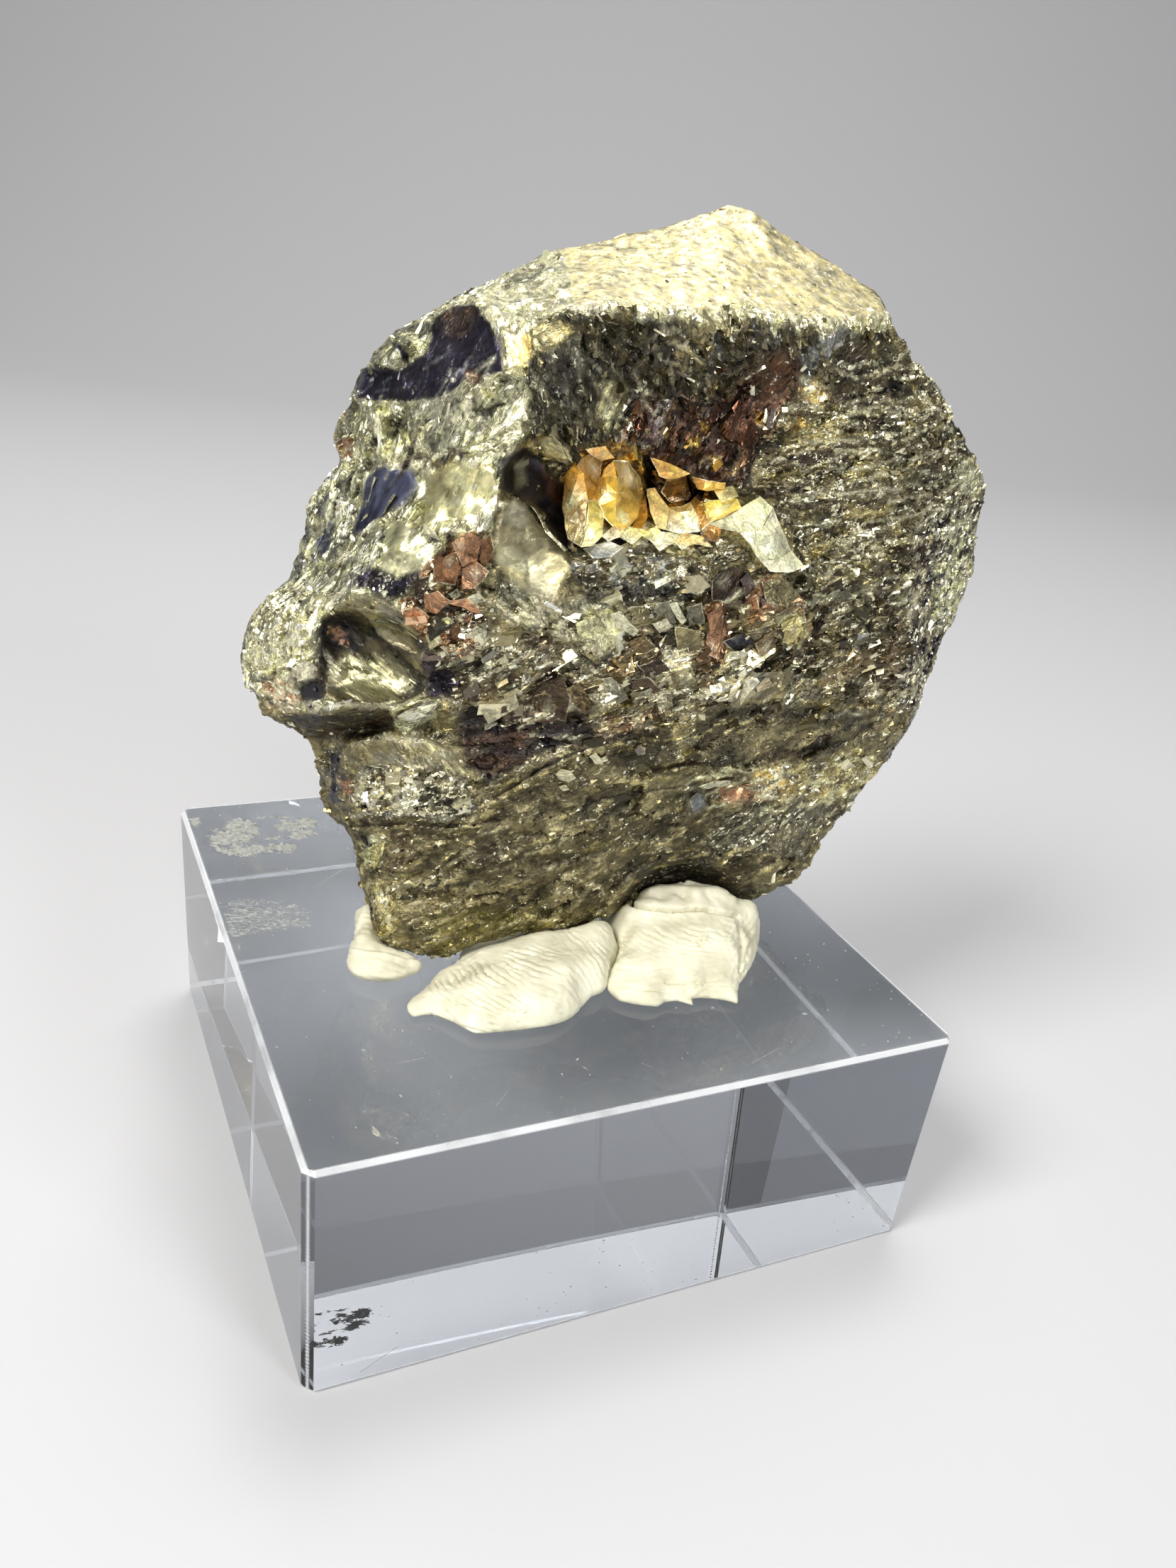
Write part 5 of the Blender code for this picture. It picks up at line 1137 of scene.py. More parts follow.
wisps([(850, 1000), (1220, 960), (1240, 1060), (900, 1110)], 34, 16, 46, 6, [OLIVE, BRASS, SAND], 69, 0.12, 0.65)
wisps([(850, 1000), (1220, 960), (1240, 1060), (900, 1110)], 16, 20, 60, 9, [SMOKE, BROWN], 70, -0.2, 0.6)
wisps(LOWER, 70, 20, 26, 6, [OLIVE, BRASS, SAND], 71, 0.10, 0.6, glint=0.12)
wisps(LOWER, 40, 24, 36, 7, [SMOKE, BROWN, DARK_OLIVE], 72, -0.16, 0.6)
wisps([(480, 560), (600, 570), (600, 650), (470, 650)], 16, 72, 30, 6, [CREAM, PALE, STEEL], 73, 0.12, 0.8)
wisps([(430, 680), (500, 660), (560, 740), (480, 830), (400, 830)], 24, 60, 36, 6, [CREAM, PALE, STEEL], 74, 0.14, 0.85)
wisps([(430, 680), (500, 660), (560, 740), (480, 830), (400, 830)], 12, 60, 40, 6, [NAVY, SMOKE], 75, -0.16, 0.6)
wisps([(600, 560), (740, 530), (740, 610), (620, 640)], 16, 46, 60, 5, [CREAM, STEEL], 76, 0.10, 0.7)
wisps([(600, 800), (700, 840), (860, 850), (860, 900), (700, 890)], 14, -30, 30, 6, [CREAM, SAND, SMOKE], 77, 0.1, 0.8)
wisps([(980, 1080), (1240, 1060), (1180, 1150), (1000, 1150)], 26, 12, 24, 7, [CREAM, PALE, SAND], 78, 0.12, 0.8)
wisps([(500, 1170), (700, 1160), (900, 1180), (880, 1280), (620, 1330), (520, 1300)], 26, 18, 24, 6,
      [BRASS, SAND, GREY_GREEN], 79, 0.1, 0.65)

outward = np.where(near[:, None] > 0.5, nrm * 0.75 - line * 0.25, nrm)
outward /= np.linalg.norm(outward, axis=1)[:, None]
final = lump_co + outward * (S.height * MM)[:, None] - line * (S.push * MM)[:, None]
final[:, 2] = np.maximum(final[:, 2], 20.3 * MM)

lump = mesh_object("pyrite_surface", final, lump_tri, [PYRITE], 38.0, {
    "tint": S.colour,
    "finish_and_painted_glint": np.stack([S.rough, S.spark, S.glint], 1),
    "more": np.stack([S.streak, S.matte, np.zeros(len(final))], 1),
}, {"flow": S.flow(final, np.arange(len(final)))})
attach(lump, "root")
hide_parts("pyrite_lump")

# ------------------------------------------------------------- small crystals on the lump
UNIT_CUBE = np.array([
    [-1, -1, -1], [1, -1, -1], [1, 1, -1], [-1, 1, -1],
    [-1, -1, 1], [1, -1, 1], [1, 1, 1], [-1, 1, 1],
], float)
CUBE_TRI = np.array([
    [0, 2, 1], [0, 3, 2], [4, 5, 6], [4, 6, 7], [0, 1, 5], [0, 5, 4],
    [1, 2, 6], [1, 6, 5], [2, 3, 7], [2, 7, 6], [3, 0, 4], [3, 4, 7],
])


def grains(name, count, seed, choose, sizes):
    """Many small crystals set into the lump's surface, joined in one mesh."""
    rng = np.random.default_rng(seed)
    a, b, c = final[lump_tri[:, 0]], final[lump_tri[:, 1]], final[lump_tri[:, 2]]
    size = 0.5 * np.linalg.norm(np.cross(b - a, c - a), axis=1)
    chance = size * (S.dens * choose)[lump_tri].mean(1)
    tri = rng.choice(len(lump_tri), count, p=chance / chance.sum())
    r1, r2 = rng.random(count), rng.random(count)
    flip = r1 + r2 > 1
    r1[flip], r2[flip] = 1 - r1[flip], 1 - r2[flip]
    place = a[tri] + (b - a)[tri] * r1[:, None] + (c - a)[tri] * r2[:, None]
    v = lump_tri[tri, rng.integers(0, 3, count)]
    n = np.cross((b - a)[tri], (c - a)[tri])
    n /= np.linalg.norm(n, axis=1)[:, None]
    slope = np.radians(S.slope[v] + rng.normal(0, 11, count))
    t = ACROSS * np.cos(slope)[:, None] - DOWN * np.sin(slope)[:, None]
    t = t - n * (t * n).sum(1)[:, None]
    t /= np.maximum(np.linalg.norm(t, axis=1), 1e-9)[:, None]
    s = np.cross(n, t)
    tilt = np.radians(S.tilt[v])
    lean = n + t * np.tan(rng.normal(0, 1, count) * tilt * 0.55)[:, None] \
        + s * np.tan(rng.normal(0, 1, count) * tilt)[:, None]
    n2 = lean / np.linalg.norm(lean, axis=1)[:, None]
    t2 = t - n2 * (t * n2).sum(1)[:, None]
    t2 /= np.linalg.norm(t2, axis=1)[:, None]
    s2 = np.cross(n2, t2)
    base = S.size[v] * sizes * np.exp(rng.normal(0, 0.38, count)) * MM
    long = base * S.aspect[v] * np.exp(rng.normal(0, 0.3, count))
    wide = base * np.exp(rng.normal(0, 0.2, count))
    deep = base * 0.7
    shape = UNIT_CUBE[None] * (1 + rng.uniform(-0.42, 0.12, (count, 8, 3)))
    co = (
        shape[:, :, 0:1] * (0.5 * long)[:, None, None] * t2[:, None]
        + shape[:, :, 1:2] * (0.5 * wide)[:, None, None] * s2[:, None]
        + shape[:, :, 2:3] * (0.5 * deep)[:, None, None] * n2[:, None]
    )
    rise = S.lift[v] * sizes * rng.uniform(-0.3, 1.0, count) * MM - 0.5 * deep
    co = co + (place + n * rise[:, None])[:, None]
    gain = np.exp(rng.normal(0.0, 0.42, count))
    colour = S.colour[v] * gain[:, None]
    # painted glints: some crystals take the pale cream of the painted highlights
    bright = rng.random(count) < S.glint[v]
    colour[bright] = PAINTED_GLINT * rng.uniform(0.75, 1.0, (int(bright.sum()), 1))
    dark = rng.random(count) < 0.12
    colour[dark] *= 0.35
    tris = (CUBE_TRI[None] + 8 * np.arange(count)[:, None, None]).reshape(-1, 3)
    flat = co.reshape(-1, 3)
    flat[:, 2] = np.maximum(flat[:, 2], 20.32 * MM)
    rough = np.clip(S.rough[v] + rng.uniform(-0.12, 0.05, count), 0.1, 1)
    ob = mesh_object(name, flat, tris, [PYRITE], None, {
        "tint": np.repeat(np.clip(colour, 0, 1), 8, 0),
        "finish_and_painted_glint": np.repeat(np.stack([rough, S.spark[v] * 0.4, S.glint[v] * 0.15], 1), 8, 0),
        "more": np.repeat(np.stack([S.streak[v] * 0.2, S.matte[v], v * 0.0], 1), 8, 0),
    }, {"flow": S.flow(flat, np.repeat(v, 8))})
    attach(ob, "root")
    return ob


S.size[:] = np.where(near > 0.4, S.size, 0.15 + 0.11 * turned)
S.lift[:] = np.where(near > 0.4, S.lift, 0.03 * turned - 0.03)
S.tilt[:] = np.where(near > 0.4, S.tilt, 9.0)
grains("pyrite_grains_front", 8000, 5, (near > 0.4).astype(float), 1.0)
grains("pyrite_glints_front", 9000, 8, (near > 0.4) * np.clip(S.glint * 4, 0.1, 1), 0.6)
grains("pyrite_grains_back", 8000, 6, (near <= 0.4).astype(float), 1.0)


# ------------------------------------------------------------------ larger set crystals
tree = BVHTree.FromPolygons([Vector(c) for c in lump_co], lump_tri.tolist())
EYE = Vector(STATION)


def depth_at(u, v):
    """Distance along a sight line to the lump's smooth surface."""
    d = Vector(sight_line(u, v))
    for du, dv in ((0, 0), (6, 0), (-6, 0), (0, 6), (0, -6)):
        hit = tree.ray_cast(EYE, Vector(sight_line(u + du, v + dv)))
        if hit[0] is not None:
            return (hit[0] - EYE).length
    raise ValueError(f"no surface at {u}, {v}")


def facet_net(ring, mid, rng):
    """Uneven small facets inside an outline: triangles over ring plus the points added."""
    n = len(ring)
    flat = [Vector((float((q - mid) @ ACROSS) / MM, float((q - mid) @ DOWN) / MM)) for q in ring]
    area = abs(sum(flat[i].x * flat[(i + 1) % n].y - flat[(i + 1) % n].x * flat[i].y for i in range(n))) / 2
    want = min(16, max(1, int(area / 0.75)))
    gap = 0.62 * math.sqrt(area / (want + 1))
    low = [min(q[k] for q in flat) for k in (0, 1)]
    high = [max(q[k] for q in flat) for k in (0, 1)]
    chosen = []
    for _ in range(400):
        if len(chosen) == want:
            break
        q = Vector((rng.uniform(low[0], high[0]), rng.uniform(low[1], high[1])))
        inside = False
        for i in range(n):
            a, b = flat[i], flat[(i + 1) % n]
            if (a.y > q.y) != (b.y > q.y) and q.x < (b.x - a.x) * (q.y - a.y) / (b.y - a.y) + a.x:
                inside = not inside
        if inside and all((q - o).length > gap for o in chosen) and all((q - o).length > 0.5 * gap for o in flat):
            chosen.append(q)
    if not chosen:
        chosen = [Vector((0.0, 0.0))]
    middle = []
    for q in chosen:
        w = [1.0 / ((q - o).length + 0.05) ** 2 for o in flat]
        ahead = sum(wi * float((r - mid) @ AHEAD) for wi, r in zip(w, ring)) / sum(w)
        ahead += rng.uniform(-0.30, 0.16) * MM
        middle.append(mid + ACROSS * q.x * MM + DOWN * q.y * MM + AHEAD * ahead)
    made = delaunay_2d_cdt(flat + chosen, [], [list(range(n))], 1, 1e-5)
    if any(len(o) != 1 for o in made[3]) or len(made[0]) != n + len(chosen):
        return [(i, (i + 1) % n, n) for i in range(n)], [mid]
    return [tuple(made[3][k][0] for k in face) for face in made[2]], middle


def plates(name, items, seed, root_mm=1.4, bow=0.09, shade=0.4, sunk=0.0):
    """Flat crystal faces with sharp edges. Each is an outline of (across, down, lift in mm)
    with its colour and finish, and runs back into the rock."""
    rng = np.random.default_rng(seed)
    co, tri, tint, finish_and_painted_glint, more, flow = [], [], [], [], [], []
    for outline, colour, rough, slope, streak, *pale in items:
        ring = []
        for i, q in enumerate(outline):
            nxt = np.array(outline[(i + 1) % len(outline)], float)
            q = np.array(q, float)
            ring.append(q)
            step = nxt - q
            span = math.hypot(step[0], step[1])
            for f in ((0.5,) if span < 24 else (0.33, 0.67)):
                off = rng.uniform(-bow, bow) * span
                side = np.array([-step[1], step[0], 0]) / max(span, 1e-6) * off
                ring.append(q + step * (f + rng.uniform(-0.08, 0.08)) + side)
        n = len(ring)
        base = len(co)
        front, rear = [], []
        cu = sum(q[0] for q in ring) / n
        cv = sum(q[1] for q in ring) / n
        for u, v, lift in ring:
            r = depth_at(u, v)
            front.append(STATION + sight_line(u, v) * (r - (lift - sunk) * MM))
            ub, vb = cu + (u - cu) * 0.86, cv + (v - cv) * 0.86
            rear.append(STATION + sight_line(ub, vb) * (r + root_mm * MM))
        mid = sum(front) / n
        inner = [q + (mid - q) * min(0.34, 0.13 * MM / max(np.linalg.norm(mid - q), 1e-9)) for q in front]
        facets, middle = facet_net(inner, mid, rng)
        m = len(middle)
        co += front + inner + middle + rear + [sum(rear) / n]
        i0, r0, tail = base + n, base + 2 * n + m, base + 3 * n + m
        tri += [(i0 + a, i0 + b, i0 + c) for a, b, c in facets]
        for i in range(n):
            j = (i + 1) % n
            tri.append((base + i, base + j, i0 + j))
            tri.append((base + i, i0 + j, i0 + i))
            tri.append((r0 + j, r0 + i, tail))
            tri.append((base + i, r0 + i, base + j))
            tri.append((base + j, r0 + i, r0 + j))
        k = 3 * n + m + 1
        turn = rng.uniform(0, 2 * math.pi)
        lit = rng.uniform(0, 2 * math.pi)
        drops = [float((q - mid) @ DOWN) for q in front]
        top, tall = min(drops), max(max(drops) - min(drops), 1e-6)
        for i in range(k):
            q = co[base + i] - mid
            x = float(q @ ACROSS) * math.cos(turn) + float(q @ DOWN) * math.sin(turn)
            gain = 1.0 + 0.22 * x / MM + rng.uniform(-0.18, 0.18)
            if isinstance(colour, tuple):        # upper and lower tone
                f = min(max((float(q @ DOWN) - top) / tall, 0.0), 1.0)
                own = colour[0] * (1 - f) + colour[1] * f
            else:
                own = np.array(colour)
            if 2 * n <= i < 2 * n + m:
                gain *= rng.uniform(0.55, 1.4)
                if rng.random() < 0.22:
                    own = own * 0.5 + CREAM * 0.5
            own = own * min(max(gain, 0.35), 1.6)
            if i < n:
                facing_light = math.cos(math.atan2(float(q @ DOWN), float(q @ ACROSS)) - lit)
                own = own + (CREAM - own) * max(0.0, facing_light) * 0.85 if facing_light > 0 else own * shade
            tint.append(own)
        finish_and_painted_glint += [(rough, 0.40, 0.02)] * k
        more += [(min(streak + 0.25, 1.0), pale[0] if pale else 0.0, 0)] * k
        a = math.radians(slope)
        t = ACROSS * math.cos(a) - DOWN * math.sin(a)
        b = ACROSS * math.sin(a) + DOWN * math.cos(a)
        for q in co[base:]:
            d = (q - STATION) / MM
            flow.append((d @ t / 2.6, d @ b, d @ AHEAD))
    co, tri = np.array(co), np.array(tri)
    ob = mesh_object(name, co, tri, [PYRITE], None, {
        "tint": np.clip(np.array(tint), 0, 1), "finish_and_painted_glint": np.array(finish_and_painted_glint), "more": np.array(more),
    }, {"flow": np.array(flow)})
    bm = bmesh.new()
    bm.from_mesh(ob.data)
    bmesh.ops.recalc_face_normals(bm, faces=bm.faces)
    bm.to_mesh(ob.data)
    bm.free()
    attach(ob, "root")
    return ob


ORANGE = srgb(236, 184, 104)
DEEP_AMBER = srgb(190, 124, 34)
DARK_GOLD = srgb(104, 74, 28)
OLIVE_AMBER = srgb(176, 142, 66)
PALE_GOLD = srgb(248, 232, 160)
plates("pocket_crystals", [
    # the tall crystals at the left, each with two long faces
    ([(797, 668, 0.2), (812, 652, 0.6), (824, 668, 1.1), (829, 705, 1.6), (827, 742, 1.9), (820, 772, 2.0), (801, 760, 1.4),
      (793, 715, 0.8)], (AMBER, PALE_GOLD), 0.2, 70, 0.3, 0.8),
    # painted shade: this face is dark gold at the top for the shade between the two tall crystals; the amber below is
    # the crystal's own
    ([(812, 652, 0.6), (832, 640, 0.9), (850, 650, 0.5), (846, 676, 0.4), (842, 706, 0.8), (829, 705, 1.6), (824, 668, 1.1)],
     (DARK_GOLD, AMBER), 0.18, 60, 0.1, 0.6),
    ([(829, 705, 1.6), (842, 706, 0.8), (852, 730, 1.2), (850, 756, 1.7), (836, 770, 1.9), (820, 772, 2.0), (827, 742, 1.9)],
     (YELLOW, PALE_GOLD), 0.22, 60, 0.3, 0.8),
    ([(852, 662, 0.5), (866, 649, 0.8), (873, 684, 1.2), (869, 716, 1.5), (866, 744, 1.6), (852, 730, 1.2), (842, 706, 0.8),
      (846, 676, 0.4)], (AMBER, YELLOW), 0.18, 70, 0.1, 0.75),
    ([(866, 649, 0.8), (886, 650, 0.7), (903, 674, 0.2), (907, 702, 0.3), (900, 730, 0.9), (886, 744, 1.4), (866, 744, 1.6),
      (869, 716, 1.5), (873, 684, 1.2)], (OLIVE_AMBER, GOLD), 0.18, 60, 0.1, 0.75),
    ([(826, 634, 0.9), (854, 629, 1.3), (867, 646, 1.2), (850, 650, 1.0), (834, 642, 1.0)], ORANGE * 1.15, 0.26, 20, 0.3, 0.6),
    ([(900, 706, 0.3), (911, 700, 0.5), (914, 728, 1.2), (906, 746, 1.5), (890, 746, 1.4), (900, 730, 0.9)],
     (DARK_GOLD, AMBER), 0.2, 70, 0.1, 0.5),
    # right of the gap
    ([(917, 645, 0.2), (934, 650, 0.9), (956, 659, 1.4), (974, 668, 1.6), (958, 674, 1.4), (941, 676, 1.1), (930, 672, 0.9)],
     ORANGE * 1.35, 0.26, 28, 0.3, 0.8),
    ([(932, 694, 0.6), (941, 677, 0.9), (968, 671, 1.3), (976, 700, 1.1), (962, 714, 1.0), (944, 708, 0.9)], DARK_GOLD, 0.2,
     15, 0.1, 0.3),
    ([(970, 668, 1.2), (982, 684, 1.5), (978, 700, 1.0), (968, 672, 0.9)], DARK_GOLD * 0.5, 0.2, 15, 0.1),
    ([(912, 690, 0.6), (924, 688, 1.0), (934, 704, 1.3), (944, 716, 1.6), (940, 748, 2.0), (926, 744, 1.7), (917, 722, 1.2)],
     (ORANGE, PALE_GOLD * 1.1), 0.24, 70, 0.3, 0.8),
    ([(944, 716, 1.6), (961, 714, 1.3), (974, 708, 1.2), (984, 728, 1.5), (988, 750, 1.9), (962, 754, 2.0), (940, 748, 2.0)],
     (GOLD, CREAM), 0.24, 60, 0.3, 0.8),
    ([(974, 708, 1.2), (980, 700, 1.0), (994, 712, 1.1), (1002, 738, 1.4), (988, 750, 1.7), (984, 728, 1.5)],
     (DARK_GOLD, AMBER), 0.24, 70, 0.2, 0.6),
    ([(975, 672, 1.1), (1000, 678, 1.3), (1024, 681, 1.2), (1022, 690, 1.4), (998, 693, 1.6), (984, 690, 1.3)],
     (ORANGE * 1.2, GOLD), 0.28, 20, 0.3, 0.75),
    ([(1006, 690, 1.1), (1034, 685, 1.1), (1042, 700, 1.3), (1018, 710, 1.5)], PALE_GOLD, 0.3, 30, 0.4, 0.75),
    ([(988, 752, 1.5), (1002, 738, 1.4), (1018, 746, 1.6), (1014, 764, 1.6), (992, 764, 1.5)], (AMBER, DARK_GOLD), 0.26, -20,
     0.3, 0.5),
    # the gold and pale crust at the right
    ([(980, 718, 0.9), (1000, 706, 1.0), (1040, 703, 1.1), (1046, 716, 1.4), (1022, 730, 1.6), (1000, 738, 1.4)],
     (YELLOW, GOLD), 0.3, 20, 0.1, 0.75),
    ([(1000, 738, 1.4), (1022, 730, 1.6), (1046, 716, 1.4), (1072, 700, 1.3), (1091, 716, 1.2), (1074, 748, 1.7),
      (1044, 752, 1.7), (1018, 746, 1.5)], (YELLOW * 0.5 + CREAM * 0.5, PALE), 0.4, -40, 0.35, 0.9),
    ([(1044, 752, 1.7), (1074, 748, 1.7), (1091, 716, 1.2), (1105, 750, 1.2), (1116, 776, 1.2), (1094, 790, 1.8),
      (1068, 786, 1.9), (1058, 768, 1.8)], (CREAM, PALE), 0.4, -50, 0.4, 0.9),
    ([(1068, 786, 1.9), (1094, 790, 1.8), (1116, 776, 1.2), (1136, 801, 1.0), (1112, 808, 1.3), (1086, 806, 1.6)],
     (PALE, CREAM), 0.4, -35, 0.4, 0.9),
    # the crumbled gold along the foot of the pocket
    ([(822, 774, 1.2), (838, 768, 1.6), (862, 764, 1.5), (880, 772, 1.2), (862, 786, 1.0), (836, 788, 1.0)],
     (CREAM, STEEL), 0.26, -10, 0.3, 0.6),
    ([(848, 756, 1.7), (866, 742, 1.8), (884, 744, 1.6), (874, 758, 1.4), (858, 764, 1.4)], (GOLD, CREAM), 0.26, -15, 0.4, 0.8),
    ([(874, 758, 1.3), (886, 742, 1.7), (912, 748, 1.4), (926, 742, 1.9), (934, 752, 1.7), (916, 762, 1.2), (906, 756, 1.3),
      (892, 768, 1.1)], (YELLOW, PALE), 0.26, 20, 0.4, 0.8),
    ([(916, 762, 1.2), (934, 750, 1.8), (960, 752, 1.8), (950, 766, 1.3), (930, 778, 1.0)], (PALE_GOLD, CREAM), 0.26, -10, 0.4, 0.8),
    ([(950, 764, 1.4), (962, 750, 1.7), (990, 756, 1.6), (1006, 772, 1.2), (978, 768, 1.3), (962, 776, 1.1)], (GOLD, PALE), 0.26,
     15, 0.4, 0.8),
], 31, bow=0.03, shade=0.8)
